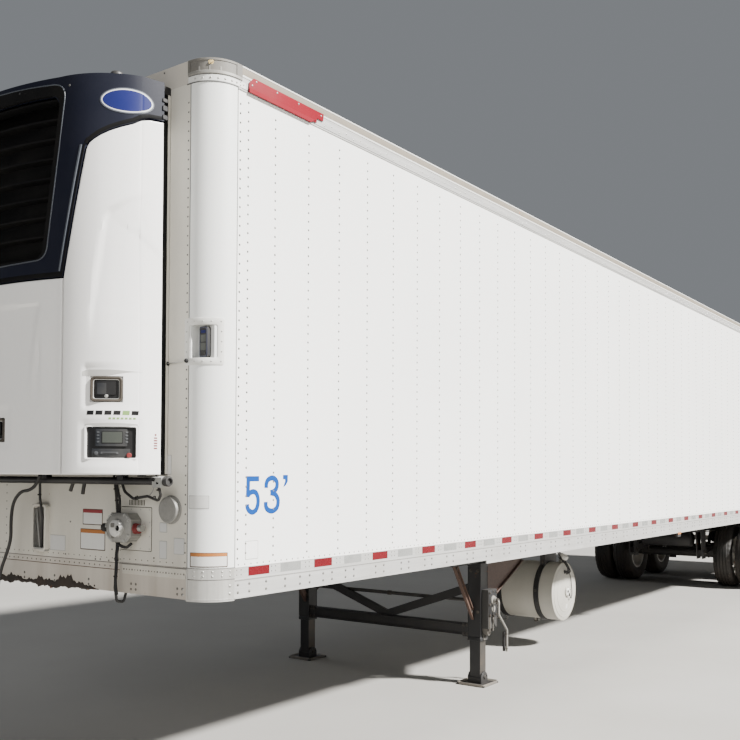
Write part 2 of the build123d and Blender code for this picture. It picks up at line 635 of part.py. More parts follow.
def fuel_tank():
    x, z = at(TANK_AT), TANK_LEVEL
    curve = (TANK_RADIUS ** 2 + TANK_DOME ** 2) / (2 * TANK_DOME)
    half_way = TANK_RADIUS / 2
    rise = sqrt(curve ** 2 - half_way ** 2) - curve + TANK_DOME
    edges = [
        Polyline((0, TANK_RIGHT - TANK_DOME), (0, TANK_LEFT + TANK_DOME)),
        ThreePointArc((0, TANK_LEFT + TANK_DOME), (half_way, TANK_LEFT + rise), (TANK_RADIUS, TANK_LEFT)),
        Polyline((TANK_RADIUS, TANK_LEFT), (TANK_RADIUS, TANK_RIGHT)),
        ThreePointArc((TANK_RADIUS, TANK_RIGHT), (half_way, TANK_RIGHT - rise), (0, TANK_RIGHT - TANK_DOME)),
    ]
    plane = Plane(origin=(x, 0, z), x_dir=(1, 0, 0), z_dir=(0, 0, 1))
    tank = revolve(plane * make_face(edges), axis=Axis((x, 0, z), (0, 1, 0)))
    sender = rod((x, TANK_LEFT, z), (x, TANK_LEFT + TANK_DOME + SENDER_PROUD, z), SENDER_RADIUS)
    y_filler = TANK_LEFT - FILLER_INSET
    filler = rod((x - FILLER_LEAN, y_filler, z + TANK_RADIUS * 0.8),
                 (x - FILLER_LEAN, y_filler + FILLER_LEAN, z + TANK_RADIUS + FILLER_HEIGHT), FILLER_RADIUS)
    cap = rod((x - FILLER_LEAN, y_filler + FILLER_LEAN, z + TANK_RADIUS + FILLER_HEIGHT),
              (x - FILLER_LEAN, y_filler + FILLER_LEAN + 22, z + TANK_RADIUS + FILLER_HEIGHT + 40), FILLER_CAP_RADIUS)
    y_drain = (TANK_LEFT + TANK_RIGHT) / 2
    drain = rod((x, y_drain, z - TANK_RADIUS + 10), (x, y_drain, z - TANK_RADIUS - 30), 16)
    save("fuel_tank", tank + sender + filler + cap + drain)
    hangers = []
    for y in (TANK_LEFT - STRAP_INSET, TANK_RIGHT + STRAP_INSET_RIGHT):
        band = rod((x, y - STRAP_WIDTH / 2, z), (x, y + STRAP_WIDTH / 2, z), TANK_RADIUS + STRAP_THICKNESS)
        band += block((x - HANGER_WIDTH * 2, x + HANGER_WIDTH * 2), (y - STRAP_WIDTH / 2, y + STRAP_WIDTH / 2),
                      (z + TANK_RADIUS * 0.8, CROSSMEMBER_BOTTOM))
        hangers.append(band - rod((x, y - STRAP_WIDTH, z), (x, y + STRAP_WIDTH, z), TANK_RADIUS))
    save("tank_hangers", *hangers)


def wheel_rims(axle_at):
    # Two rims back to back on one hub, with the brake drum inside the inner one.
    x, z = at(axle_at), TYRE_RADIUS
    wheel = None
    for side in (1, -1):
        centre = DUAL_CENTRE_Y + side * DUAL_SPACING / 2
        half = RIM_WIDTH / 2
        inner_radius = RIM_RADIUS - RIM_THICKNESS
        barrel = turned([(inner_radius, centre - half), (RIM_RADIUS, centre - half),
                         (RIM_RADIUS, centre + half), (inner_radius, centre + half)], x, z)
        for edge in (centre - half, centre + half):
            lip = RIM_THICKNESS if edge > centre else -RIM_THICKNESS
            barrel += turned([(inner_radius, edge), (RIM_RADIUS + RIM_LIP, edge),
                              (RIM_RADIUS + RIM_LIP, edge + lip), (inner_radius, edge + lip)], x, z)
        near = DUAL_CENTRE_Y
        far = DUAL_CENTRE_Y + side * DISC_THICKNESS
        root = centre - side * half * 0.7
        disc = turned([(HUB_RADIUS * 0.6, near), (HUB_RADIUS * 1.8, near), (inner_radius + 1, root),
                       (inner_radius + 1, root + side * DISC_THICKNESS), (HUB_RADIUS * 1.75, far),
                       (HUB_RADIUS * 0.6, far)], x, z)
        for index in range(HAND_HOLES):
            turn = Rot(0, index * 360 / HAND_HOLES, 0)
            reach = turn * Pos(0, 0, HAND_HOLE_PITCH_RADIUS)
            disc -= Pos(x, near, z) * reach * Rot(90, 0, 0) * Cylinder(HAND_HOLE_RADIUS, 240)
        wheel = barrel + disc if wheel is None else wheel + barrel + disc
    hub_end = DUAL_CENTRE_Y + HUB_OUTER_LENGTH
    bore = SPINDLE_RADIUS + RUNNING_GAP
    hub_start = DUAL_CENTRE_Y - 150.0
    hub = turned([(bore, hub_start), (HUB_RADIUS, hub_start), (HUB_RADIUS, hub_end), (bore, hub_end)], x, z)
    cap = turned([(0, hub_end), (HUB_CAP_RADIUS, hub_end), (HUB_CAP_RADIUS * 0.8, hub_end + HUB_CAP_LENGTH),
                  (0, hub_end + HUB_CAP_LENGTH)], x, z)
    drum_end = DUAL_CENTRE_Y
    drum_start = drum_end - DISC_THICKNESS - DRUM_WIDTH
    drum = turned([(DRUM_RADIUS - DRUM_WALL, drum_start), (DRUM_RADIUS, drum_start), (DRUM_RADIUS * 0.9, drum_end - 20),
                   (HUB_RADIUS, drum_end - 14), (HUB_RADIUS, drum_end - 34), (DRUM_RADIUS - DRUM_WALL - 8, drum_end - 40)],
                  x, z)
    return wheel + hub + cap + drum


def tyre(axle_at, centre_y):
    x, z = at(axle_at), TYRE_RADIUS
    half = TYRE_WIDTH / 2
    tread = half - TYRE_SHOULDER
    bead = RIM_WIDTH / 2
    shoulder = TYRE_RADIUS - TYRE_CROWN
    wall_radius = (TYRE_RADIUS + RIM_RADIUS) / 2
    seat = RIM_RADIUS + RIM_LIP
    profile = [(RIM_RADIUS, centre_y - bead), (seat, centre_y - bead), (seat, centre_y - bead - RIM_THICKNESS),
               (seat + 24, centre_y - half + 8), (wall_radius, centre_y - half),
               (shoulder - 30, centre_y - half + 6), (shoulder, centre_y - tread), (TYRE_RADIUS, centre_y - tread * 0.6),
               (TYRE_RADIUS, centre_y + tread * 0.6), (shoulder, centre_y + tread), (shoulder - 30, centre_y + half - 6),
               (wall_radius, centre_y + half), (seat + 24, centre_y + half - 8),
               (seat, centre_y + bead + RIM_THICKNESS), (seat, centre_y + bead), (RIM_RADIUS, centre_y + bead)]
    return turned(profile, x, z)


def wheels():
    for name, axle_at in zip(("front", "rear"), AXLES_AT):
        tyres = [tyre(axle_at, DUAL_CENTRE_Y + sign * DUAL_SPACING / 2) for sign in (1, -1)]
        rims = wheel_rims(axle_at)
        for side, sign in SIDES.items():
            keep = (lambda shape: shape) if sign > 0 else mirror_y
            save(f"tyres_{name}_{side}", *[keep(shape) for shape in tyres])
            save(f"wheel_{name}_{side}", keep(rims))


def axles():
    beams = []
    spindle_start = DUAL_CENTRE_Y - 260.0
    spindle_end = DUAL_CENTRE_Y + HUB_OUTER_LENGTH - 10
    for axle_at in AXLES_AT:
        x, z = at(axle_at), TYRE_RADIUS
        beam = rod((x, -spindle_start, z), (x, spindle_start, z), AXLE_RADIUS)
        beam += rod((x, -spindle_end, z), (x, spindle_end, z), SPINDLE_RADIUS)
        beams.append(beam)
    return beams


ARM_BOTTOM = TYRE_RADIUS + AXLE_RADIUS + 14.0
BOGIE_TOP = CROSSMEMBER_BOTTOM - SLIDE_RAIL_HEIGHT
BOGIE_BOTTOM = BOGIE_TOP - BOGIE_HEIGHT


def slider():
    half = SLIDE_RAIL_WIDTH / 2
    rail = block((at(SLIDE_RAIL_START_AT), at(SLIDE_RAIL_END_AT)), (FRAME_Y - half, FRAME_Y + half),
                 (BOGIE_TOP, CROSSMEMBER_BOTTOM))
    save("slider_rails", *both_sides(rail))
    half = BOGIE_WIDTH / 2
    beam = block((at(BOGIE_START_AT), at(BOGIE_END_AT)), (FRAME_Y - half, FRAME_Y + half), (BOGIE_BOTTOM, BOGIE_TOP))
    beam += flap_arm()
    frame = beam + mirror_y(beam)
    inner = FRAME_Y - half
    for place in (BOGIE_START_AT + 60, AXLES_AT[0] - PIVOT_AHEAD, AXLES_AT[1] - PIVOT_AHEAD, AXLES_AT[1] + 40,
                  BOGIE_END_AT - 60):
        frame += block((at(place - BOGIE_CROSS_DEPTH / 2), at(place + BOGIE_CROSS_DEPTH / 2)), (-inner, inner),
                       (BOGIE_BOTTOM, BOGIE_TOP - 20))
    save("bogie_frame", frame)


def suspension():
    hangers, springs, moving = [], [], []
    arm_low, arm_high = ARM_BOTTOM, ARM_BOTTOM + ARM_HEIGHT
    for axle_at, beam in zip(AXLES_AT, axles()):
        pivot = at(axle_at - PIVOT_AHEAD)
        top, foot = HANGER_TOP_LENGTH / 2, HANGER_FOOT_LENGTH / 2
        outline = [(pivot - foot, HANGER_BOTTOM), (pivot + foot, HANGER_BOTTOM), (pivot + top, BOGIE_BOTTOM),
                   (pivot - foot, BOGIE_BOTTOM)]
        for y in (FRAME_Y - ARM_WIDTH / 2 - HANGER_PLATE, FRAME_Y + ARM_WIDTH / 2):
            hangers += both_sides(prism_y(outline, y, y + HANGER_PLATE))
        x_axle, x_tail = at(axle_at), at(axle_at + ARM_TAIL)
        arm = prism_y([(pivot + 50, PIVOT_LEVEL - 45), (pivot + 50, PIVOT_LEVEL + 45), (x_axle + 120, arm_high),
                       (x_tail, arm_high), (x_tail, arm_high - 50), (x_axle - 130, arm_low), (x_axle + 110, arm_low)],
                      FRAME_Y - ARM_WIDTH / 2, FRAME_Y + ARM_WIDTH / 2)
        seat = block((x_axle - SEAT_LENGTH / 2, x_axle + SEAT_LENGTH / 2),
                     (FRAME_Y - ARM_WIDTH / 2, FRAME_Y + ARM_WIDTH / 2), (TYRE_RADIUS, arm_low))
        seat -= rod((x_axle, 0, TYRE_RADIUS), (x_axle, HALF_WIDTH, TYRE_RADIUS), AXLE_RADIUS)
        beam += arm + seat
        beam += mirror_y(arm + seat)
        for sign in SIDES.values():
            y = sign * CHAMBER_Y
            start = x_axle - CHAMBER_BEHIND
            chamber = rod((start, y, CHAMBER_LEVEL), (start - CHAMBER_LENGTH, y, CHAMBER_LEVEL), CHAMBER_RADIUS)
            chamber += rod((start - CHAMBER_LENGTH * 0.45, y, CHAMBER_LEVEL),
                           (start - CHAMBER_LENGTH * 0.55, y, CHAMBER_LEVEL), CHAMBER_RADIUS + 9)
            chamber += rod((start + 1, y, CHAMBER_LEVEL), (x_axle - 30, y, CHAMBER_LEVEL), 11)
            chamber += block((start - 8, start + 4), (y - 40, y + 40), (TYRE_RADIUS - 20, CHAMBER_LEVEL))
            chamber += block((x_axle - 30, start), (y - 40, y + 40), (TYRE_RADIUS - 30, TYRE_RADIUS + 20))
            chamber += block((x_axle - 42, x_axle - 28), (y - 14, y + 14), (TYRE_RADIUS, CHAMBER_LEVEL + 18))
            beam += chamber
        moving.append(beam)
        x_spring = at(axle_at + SPRING_BEHIND)
        waist = (arm_high + SPRING_PLATE + BOGIE_BOTTOM) / 2
        profile = [(0, arm_high), (SPRING_RADIUS * 0.75, arm_high), (SPRING_RADIUS * 0.75, arm_high + SPRING_PLATE),
                   (SPRING_RADIUS, arm_high + 40), (SPRING_RADIUS, waist + 20), (SPRING_RADIUS * 0.8, BOGIE_BOTTOM),
                   (0, BOGIE_BOTTOM)]
        plane = Plane(origin=(x_spring, FRAME_Y, 0), x_dir=(1, 0, 0), z_dir=(0, -1, 0))
        spring = revolve(plane * make_face(Polyline(*profile, close=True)),
                         axis=Axis((x_spring, FRAME_Y, 0), (0, 0, 1)))
        springs += both_sides(spring)
    save("suspension_hangers", *hangers)
    save("axles", *moving)
    save("air_springs", *springs)


def rear_guard():
    x_pair = (at(BODY_LENGTH), at(BODY_LENGTH - GUARD_TUBE))
    bar = block(x_pair, (-GUARD_HALF_WIDTH, GUARD_HALF_WIDTH), (GUARD_BOTTOM, GUARD_BOTTOM + GUARD_TUBE))
    post_x = (at(REAR_AT), at(BODY_LENGTH - GUARD_TUBE))
    post = block((post_x[0], post_x[1]), (GUARD_POST_Y - 45, GUARD_POST_Y + 45),
                 (GUARD_BOTTOM + GUARD_TUBE, RAIL_BOTTOM))
    save("rear_guard", bar + post + mirror_y(post))
    y_outer, z_top = HALF_WIDTH - BUMPER_FROM_SIDE, FLOOR_TOP - BUMPER_DROP
    bumper = block((at(BODY_LENGTH - BUMPER_BACK), at(REAR_AT)), (y_outer - BUMPER_WIDTH, y_outer),
                   (z_top - BUMPER_HEIGHT, z_top))
    save("dock_bumpers", *both_sides(bumper))


def flap_arm():
    x = at(AXLES_AT[1] + TYRE_RADIUS + FLAP_BEHIND)
    return block((x, x + FLAP_BAR), (FRAME_Y + BOGIE_WIDTH / 2 - 1, HALF_WIDTH - 20),
                 (BOGIE_BOTTOM, BOGIE_BOTTOM + FLAP_BAR))


def mud_flaps():
    x = at(AXLES_AT[1] + TYRE_RADIUS + FLAP_BEHIND)
    low = DUAL_CENTRE_Y - DUAL_SPACING / 2 - TYRE_WIDTH / 2
    flap = block((x - FLAP_THICKNESS, x), (low, HALF_WIDTH - 25), (FLAP_BOTTOM, BOGIE_BOTTOM + FLAP_BAR))
    save("mud_flaps", *both_sides(flap))


def lamp_set():
    # Side markers, round rear lamps in the sill and small lamps on the header.
    length, depth, height = MARKER_SIZE
    lamps = []
    marker_top = RAIL_BOTTOM - RAIL_LIP
    for distance in (MARKER_AT, REAR_AT - REAR_MARKER_AHEAD):
        x = at(distance)
        lamps += both_sides(block((x - length / 2, x + length / 2), (HALF_WIDTH - depth - 4, HALF_WIDTH - 4),
                                  (marker_top - height, marker_top)))
    x_face = at(REAR_AT)
    for y in TAIL_LAMP_Y:
        lamps += both_sides(rod((x_face, y, TAIL_LAMP_LEVEL), (x_face - TAIL_LAMP_PROUD, y, TAIL_LAMP_LEVEL),
                                TAIL_LAMP_RADIUS))
    depth, width, height = TOP_LAMP_SIZE
    level = (TOP_RAIL_BOTTOM + BODY_TOP) / 2
    for y in TOP_LAMP_Y:
        lamps.append(block((x_face - depth, x_face), (y - width / 2, y + width / 2), (level - height / 2, level + height / 2)))
    save("lamps", *lamps)


def tube_along(points, bend, radius):
    path = FilletPolyline(*points, radius=[bend] * (len(points) - 2))
    start = Plane(origin=points[0], z_dir=Vector(*points[1]) - Vector(*points[0]))
    return sweep(start * Circle(radius), path=path)


def nose_fittings():
    y_low, y_high = NOSE_BOX_Y
    z_low, z_high = NOSE_BOX_LEVELS
    x_face = at(-NOSE_BOX_DEPTH)
    box = block((at(0), x_face), NOSE_BOX_Y, NOSE_BOX_LEVELS)
    box = fillet(box.edges().filter_by(Axis.X), 14)
    middle = ((y_low + y_high) / 2, (z_low + z_high) / 2)
    box += rod((x_face, *middle), (x_face + 22, *middle), NOSE_BOX_LID_RADIUS)
    box += rod((x_face - 45, y_low - 70, middle[1]), (x_face - 45, y_high + 80, middle[1]), 20)
    cap = rod((at(0), NOSE_CAP_Y, NOSE_CAP_LEVEL), (at(-NOSE_CAP_DEPTH), NOSE_CAP_Y, NOSE_CAP_LEVEL), NOSE_CAP_RADIUS)
    holder = block((at(0), at(-HOLDER_DEPTH)), HOLDER_Y, HOLDER_LEVELS)
    holder -= block((at(-6), at(-HOLDER_DEPTH)), (HOLDER_Y[0] + 12, HOLDER_Y[1] - 12), (HOLDER_LEVELS[0] + 20, HOLDER_LEVELS[1] + 1))
    save("nose_fittings", box, cap, holder)


def hose_and_leads():
    # The drain hose hangs freely from under the cooling unit; the leads are held at both ends.
    route = [(at(-along), y, z) for along, y, z in HOSE_ROUTE]
    points = [Vector(*point) for point in route]
    runs = [end - start for start, end in zip(points, points[1:])]
    radii = [0.45 * min(one.length, two.length) / tan(radians(one.get_angle(two) / 2))
             for one, two in zip(runs, runs[1:])]
    print("hose bends:", [round(radius) for radius in radii])
    path = FilletPolyline(*route, radius=radii)
    hose = sweep(Plane(origin=route[0], z_dir=runs[0]) * Circle(HOSE_RADIUS), path=path)
    print("hose volume / section x length:", round(hose.volume / (path.length * pi * HOSE_RADIUS ** 2), 4))
    save("drain_hose", hose)
    leads = []
    for bend, places in LEAD_ROUTES:
        leads.append(tube_along([(at(-along), y, z) for along, y, z in places], bend, LEAD_RADIUS))
    save("nose_leads", *leads)


def air_tank():
    x, z = at(AIR_TANK_AT), BOGIE_BOTTOM - AIR_TANK_RADIUS - AIR_TANK_DROP
    dome = AIR_TANK_RADIUS * 0.35
    profile = [(0, -AIR_TANK_HALF), (AIR_TANK_RADIUS * 0.7, -AIR_TANK_HALF + dome * 0.35),
               (AIR_TANK_RADIUS, -AIR_TANK_HALF + dome), (AIR_TANK_RADIUS, AIR_TANK_HALF - dome),
               (AIR_TANK_RADIUS * 0.7, AIR_TANK_HALF - dome * 0.35), (0, AIR_TANK_HALF)]
    tank = turned(profile, x, z)
    for y in (-AIR_TANK_HALF * 0.6, AIR_TANK_HALF * 0.6):
        tank += block((x - 20, x + 20), (y - 20, y + 20), (z, BOGIE_BOTTOM))
    save("air_tank", tank)


def unit_outline(inset):
    # Plan of the refrigeration unit's outside, shrunk inwards by inset.
    half = UNIT_HALF_WIDTH - inset
    front = UNIT_DEPTH - inset
    shift = inset * 0.75
    corner_side = (at(-UNIT_CORNER_X + shift * 0.3), UNIT_CORNER_Y - inset)
    bulge = (at(-UNIT_CORNER_BULGE[0] + shift), UNIT_CORNER_BULGE[1] - shift)
    corner_front = (at(-UNIT_FRONT_X + inset), UNIT_FRONT_Y - inset * 0.3)
    rear = at(-UNIT_REAR)

    def flip(point):
        return (point[0], -point[1])

    edges = [
        Polyline((rear, half), corner_side),
        ThreePointArc(corner_side, bulge, corner_front),
        ThreePointArc(corner_front, (at(-front), 0), flip(corner_front)),
        ThreePointArc(flip(corner_front), flip(bulge), flip(corner_side)),
        Polyline(flip(corner_side), (rear, -half)),
        Polyline((rear, -half), (rear, half)),
    ]
    return make_face(edges)


def unit_shell(z_low, z_high, skin):
    outer = extrude(Plane(origin=(0, 0, z_low)) * unit_outline(0.0), amount=z_high - z_low)
    inner = extrude(Plane(origin=(0, 0, z_low)) * unit_outline(skin), amount=z_high - z_low)
    return outer - inner


def side_door_zone(grow):
    # Outline of one side door seen from the front, in Y and Z.
    front_y = FRONT_DOOR_HALF_WIDTH + UNIT_GAP
    wide = UNIT_HALF_WIDTH + 50
    return [(wide, UNIT_BOTTOM - 1), (wide, SIDE_DOOR_TOP_REAR + grow), (SIDE_DOOR_LEVEL_Y - 2 * grow, SIDE_DOOR_TOP_REAR + grow),
            *[(y, UNIT_TOP - below + grow) for y, below in SIDE_DOOR_EDGE],
            (SIDE_DOOR_TOP_Y - grow, SIDE_DOOR_TOP_FRONT + grow),
            (front_y - grow, FRONT_DOOR_TOP), (front_y - grow, UNIT_BOTTOM - 1)]


SIDE_PIVOT = (at(-UNIT_REAR - 16.0), UNIT_HALF_WIDTH - 20.0)
FRONT_PIVOT = (at(-440.0), -(FRONT_DOOR_HALF_WIDTH - 10.0))
TRAY_TOP = UNIT_BOTTOM + BASE_TRAY
TRAY_HALF_WIDTH = UNIT_BACK_HALF_WIDTH - 35.0
LUG_PLATE = 6.0
LUG_CLEARANCE = 5.0


def lug_with_pin(place, reach_to, level):
    # A plate under a door's corner, carrying the pin on which the door turns.
    x, y = place
    top = level - LUG_CLEARANCE
    plate = prism_z(bar_points(place, reach_to, 34.0), top - LUG_PLATE, top)
    plate += rod((x, y, top - LUG_PLATE), (x, y, top), 17.0)
    return plate + rod((x, y, top - LUG_PLATE), (x, y, level + PIVOT_PIN_LENGTH), PIVOT_PIN_RADIUS)


def refrigeration_unit():
    x_low, x_high = at(-UNIT_REAR), at(-UNIT_DEPTH - 10)
    wall = unit_shell(UNIT_BOTTOM, UNIT_TOP, UNIT_SKIN)
    door_zone = prism_x(side_door_zone(0.0), x_low, x_high)
    shroud_zone = prism_x(side_door_zone(UNIT_GAP), x_low - 1, x_high)
    latch_zone = block((x_low, x_high), *FRONT_LATCH_POCKET)
    front_zone = block((x_low, x_high), (-FRONT_DOOR_HALF_WIDTH, FRONT_DOOR_HALF_WIDTH),
                       (UNIT_BOTTOM - 1, FRONT_DOOR_TOP))
    clear = PIVOT_PIN_RADIUS + RUNNING_GAP
    end_gap = 2.0

    def bore(place, z_low, z_high):
        return rod((*place, z_low), (*place, z_high), clear)

    side_pin_end = SIDE_DOOR_TOP_REAR - PIVOT_PIN_LENGTH
    door_left = wall & door_zone
    door_left -= bore(SIDE_PIVOT, UNIT_BOTTOM - 1, UNIT_BOTTOM + PIVOT_PIN_LENGTH + end_gap)
    door_left -= bore(SIDE_PIVOT, side_pin_end - end_gap, SIDE_DOOR_TOP_REAR + 1)
    save("unit_door_right", mirror_y(door_left))
    for ahead, y_low, z_pair in (LATCH_POCKET, DISPLAY_POCKET):
        pocket = block((at(-ahead), x_high), (y_low, UNIT_HALF_WIDTH), z_pair)
        door_left -= pocket & unit_shell(UNIT_BOTTOM, UNIT_TOP, POCKET_DEPTH)
    save("unit_door_left", door_left)
    door_front = wall & front_zone
    door_front -= bore(FRONT_PIVOT, UNIT_BOTTOM - 1, UNIT_BOTTOM + PIVOT_PIN_LENGTH + end_gap)
    door_front -= bore(FRONT_PIVOT, FRONT_DOOR_TOP - PIVOT_PIN_LENGTH - end_gap, FRONT_DOOR_TOP + 1)
    door_front -= latch_zone & unit_shell(UNIT_BOTTOM, UNIT_TOP, POCKET_DEPTH)
    save("unit_door_front", door_front)

    cap = extrude(Plane(origin=(0, 0, UNIT_TOP - UNIT_SKIN)) * unit_outline(0.0), amount=UNIT_SKIN)
    lower_zone = block((x_low - 1, x_high), (-FRONT_DOOR_HALF_WIDTH - 200, FRONT_DOOR_HALF_WIDTH + 200),
                       (UNIT_BOTTOM - 1, FRONT_DOOR_TOP + UNIT_GAP))
    opening = prism_x([(-GRILLE_TOP_HALF, GRILLE_TOP), (GRILLE_TOP_HALF, GRILLE_TOP),
                       (GRILLE_BOTTOM_HALF, GRILLE_BOTTOM), (-GRILLE_BOTTOM_HALF, GRILLE_BOTTOM)],
                      at(-GRILLE_CUT_FROM), x_high)
    opening = fillet(opening.edges().filter_by(Axis.X), GRILLE_CORNER)
    side_pin = rod((*SIDE_PIVOT, side_pin_end), (*SIDE_PIVOT, SIDE_DOOR_TOP_REAR + 2 * UNIT_GAP), PIVOT_PIN_RADIUS)
    front_pin = rod((*FRONT_PIVOT, FRONT_DOOR_TOP - PIVOT_PIN_LENGTH),
                    (*FRONT_PIVOT, FRONT_DOOR_TOP + 2 * UNIT_GAP), PIVOT_PIN_RADIUS)
    shroud = wall + cap - shroud_zone - mirror_y(shroud_zone) - lower_zone - opening
    shroud += side_pin
    shroud += mirror_y(side_pin)
    shroud += front_pin
    save("unit_shroud", shroud)

    louvre_face = unit_outline(UNIT_SKIN + LOUVRE_SEAT)
    louvre_back = unit_outline(UNIT_SKIN + LOUVRE_SEAT + LOUVRE_DEPTH)
    louvres = []
    for index in range(LOUVRE_COUNT):
        level = LOUVRE_TOP - index * LOUVRE_PITCH - LOUVRE_THICKNESS
        share = (level - GRILLE_BOTTOM) / (GRILLE_TOP - GRILLE_BOTTOM)
        half = GRILLE_BOTTOM_HALF + (GRILLE_TOP_HALF - GRILLE_BOTTOM_HALF) * share + LOUVRE_LAP
        plane = Plane(origin=(0, 0, level))
        slat = extrude(plane * louvre_face, amount=LOUVRE_THICKNESS) - extrude(plane * louvre_back, amount=LOUVRE_THICKNESS)
        louvres.append(slat & block((at(-GRILLE_CUT_FROM), x_high), (-half, half), (level, level + LOUVRE_THICKNESS)))
    save("unit_grille", *louvres)

    back = block((at(0), at(-UNIT_BACK_PLATE)), (-UNIT_BACK_HALF_WIDTH, UNIT_BACK_HALF_WIDTH), (UNIT_BOTTOM, UNIT_TOP))
    back += block((at(-UNIT_BACK_PLATE), at(-UNIT_REAR)), (-UNIT_BACK_HALF_WIDTH, UNIT_BACK_HALF_WIDTH),
                  (UNIT_TOP - UNIT_SKIN, UNIT_TOP))
    tray = extrude(Plane(origin=(0, 0, UNIT_BOTTOM)) * unit_outline(UNIT_SKIN + 12), amount=BASE_TRAY)
    tray &= block((x_low, x_high), (-TRAY_HALF_WIDTH, TRAY_HALF_WIDTH), (UNIT_BOTTOM, TRAY_TOP))
    tray += block((at(-UNIT_BACK_PLATE), x_low), (-TRAY_HALF_WIDTH, TRAY_HALF_WIDTH), (UNIT_BOTTOM, TRAY_TOP))
    lug_top = UNIT_BOTTOM - LUG_CLEARANCE
    side_lug = lug_with_pin(SIDE_PIVOT, (SIDE_PIVOT[0] + 10, TRAY_HALF_WIDTH - 60), UNIT_BOTTOM)
    side_lug += block((SIDE_PIVOT[0] - 7, SIDE_PIVOT[0] + 27), (TRAY_HALF_WIDTH - 78, TRAY_HALF_WIDTH - 44),
                      (lug_top - LUG_PLATE, UNIT_BOTTOM))
    front_lug = lug_with_pin(FRONT_PIVOT, (FRONT_PIVOT[0] - 90, FRONT_PIVOT[1] + 10), UNIT_BOTTOM)
    front_lug += block((FRONT_PIVOT[0] - 107, FRONT_PIVOT[0] - 73), (FRONT_PIVOT[1] - 7, FRONT_PIVOT[1] + 27),
                       (lug_top - LUG_PLATE, UNIT_BOTTOM))
    tube = rod((at(-BASE_TUBE_X), -BASE_TUBE_HALF, BASE_TUBE_LEVEL), (at(-BASE_TUBE_X), BASE_TUBE_HALF, BASE_TUBE_LEVEL),
               BASE_TUBE_RADIUS)
    for y in (-BASE_BRACKET_Y, 0.0, BASE_BRACKET_Y):
        tube += block((at(-BASE_TUBE_X + 20), at(-BASE_TUBE_X - 20)), (y - 25, y + 25), (BASE_TUBE_LEVEL, UNIT_BOTTOM))
    frame = back + tray + tube
    for piece in (side_lug, mirror_y(side_lug), front_lug):
        frame += piece
    save("unit_frame", frame)
    depth, width, height = ENGINE_SIZE
    engine = block((at(-UNIT_BACK_PLATE), at(-UNIT_BACK_PLATE - depth)), (-width / 2, width / 2),
                   (TRAY_TOP, TRAY_TOP + height))
    save("unit_engine", engine)
    coil = block((at(-UNIT_BACK_PLATE), at(-COIL_FRONT)), (-COIL_HALF_WIDTH, COIL_HALF_WIDTH), (COIL_BOTTOM, COIL_TOP))
    coil -= block((at(-UNIT_BACK_PLATE), at(-COIL_FRONT + COIL_THICKNESS)),
                  (-COIL_HALF_WIDTH + COIL_SIDE, COIL_HALF_WIDTH - COIL_SIDE), (COIL_BOTTOM, COIL_TOP))
    save("unit_condenser", coil)


def main():
    os.makedirs("parts", exist_ok=True)
    floor()
    crossmembers()
    side_rails()
    side_walls()
    top_rails()
    roof()
    nose_wall()
    corner_posts()
    corner_castings()
    front_rails()
    rear_frame()
    door = rear_door()
    hardware = door_hardware()
    save("door_left", door)
    save("door_right", mirror_y(door))
    save("door_hardware_left", *hardware)
    save("door_hardware_right", *[mirror_y(piece) for piece in hardware])
    coupler()
    landing_gear()
    fuel_tank()
    wheels()
    axles()
    slider()
    suspension()
    rear_guard()
    mud_flaps()
    air_tank()
    lamp_set()
    nose_fittings()
    hose_and_leads()
    refrigeration_unit()


main()
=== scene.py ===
# %% [markdown]
# # A refrigerated semi-trailer, dressed over its CAD frame
# The solids of the trailer come from CAD and hold every main size. This script
# adds what a CAD solid leaves out: rivets, tape, seals, tread, dirt and paint.
# Each step first says what the real piece is, and why it is made this way.
# All lengths are metres; X runs to the nose, Y to the trailer's left, Z up.

import bpy
import bmesh
import math
from mathutils import Matrix, Vector


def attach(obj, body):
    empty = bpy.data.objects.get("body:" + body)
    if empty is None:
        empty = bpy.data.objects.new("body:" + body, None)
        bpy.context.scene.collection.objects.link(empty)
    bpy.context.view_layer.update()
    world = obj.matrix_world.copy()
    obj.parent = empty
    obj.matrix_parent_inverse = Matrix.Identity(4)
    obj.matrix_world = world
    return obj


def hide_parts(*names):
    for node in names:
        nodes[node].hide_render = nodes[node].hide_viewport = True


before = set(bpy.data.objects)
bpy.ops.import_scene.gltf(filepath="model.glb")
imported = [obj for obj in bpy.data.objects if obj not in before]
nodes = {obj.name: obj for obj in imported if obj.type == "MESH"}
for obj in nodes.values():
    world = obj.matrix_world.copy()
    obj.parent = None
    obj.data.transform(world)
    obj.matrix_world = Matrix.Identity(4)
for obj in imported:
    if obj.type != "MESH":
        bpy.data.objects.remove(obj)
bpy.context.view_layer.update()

# %% [markdown]
# ## The camera
# The photograph was taken from the trailer's left, a few steps ahead of its
# nose, with a slightly long lens held at eye height. The picture is a crop out
# of a larger one, so its optical axis lies below the middle: a lens shift says
# so, while a tilt would make the rivet columns lean.

# %% Camera
EYE = Vector((11.318, 4.8461, 1.798))
LOOK = Vector((-0.8122, -0.58286, 0.02468))
RIGHT = Vector((-0.58296, 0.81249, 0.00376))
UP = Vector((0.02224, 0.01133, 0.99969))
FOCAL_PIXELS, PICTURE = 925.35, 740.0
OPTICAL_AXIS = (369.42, 450.72)

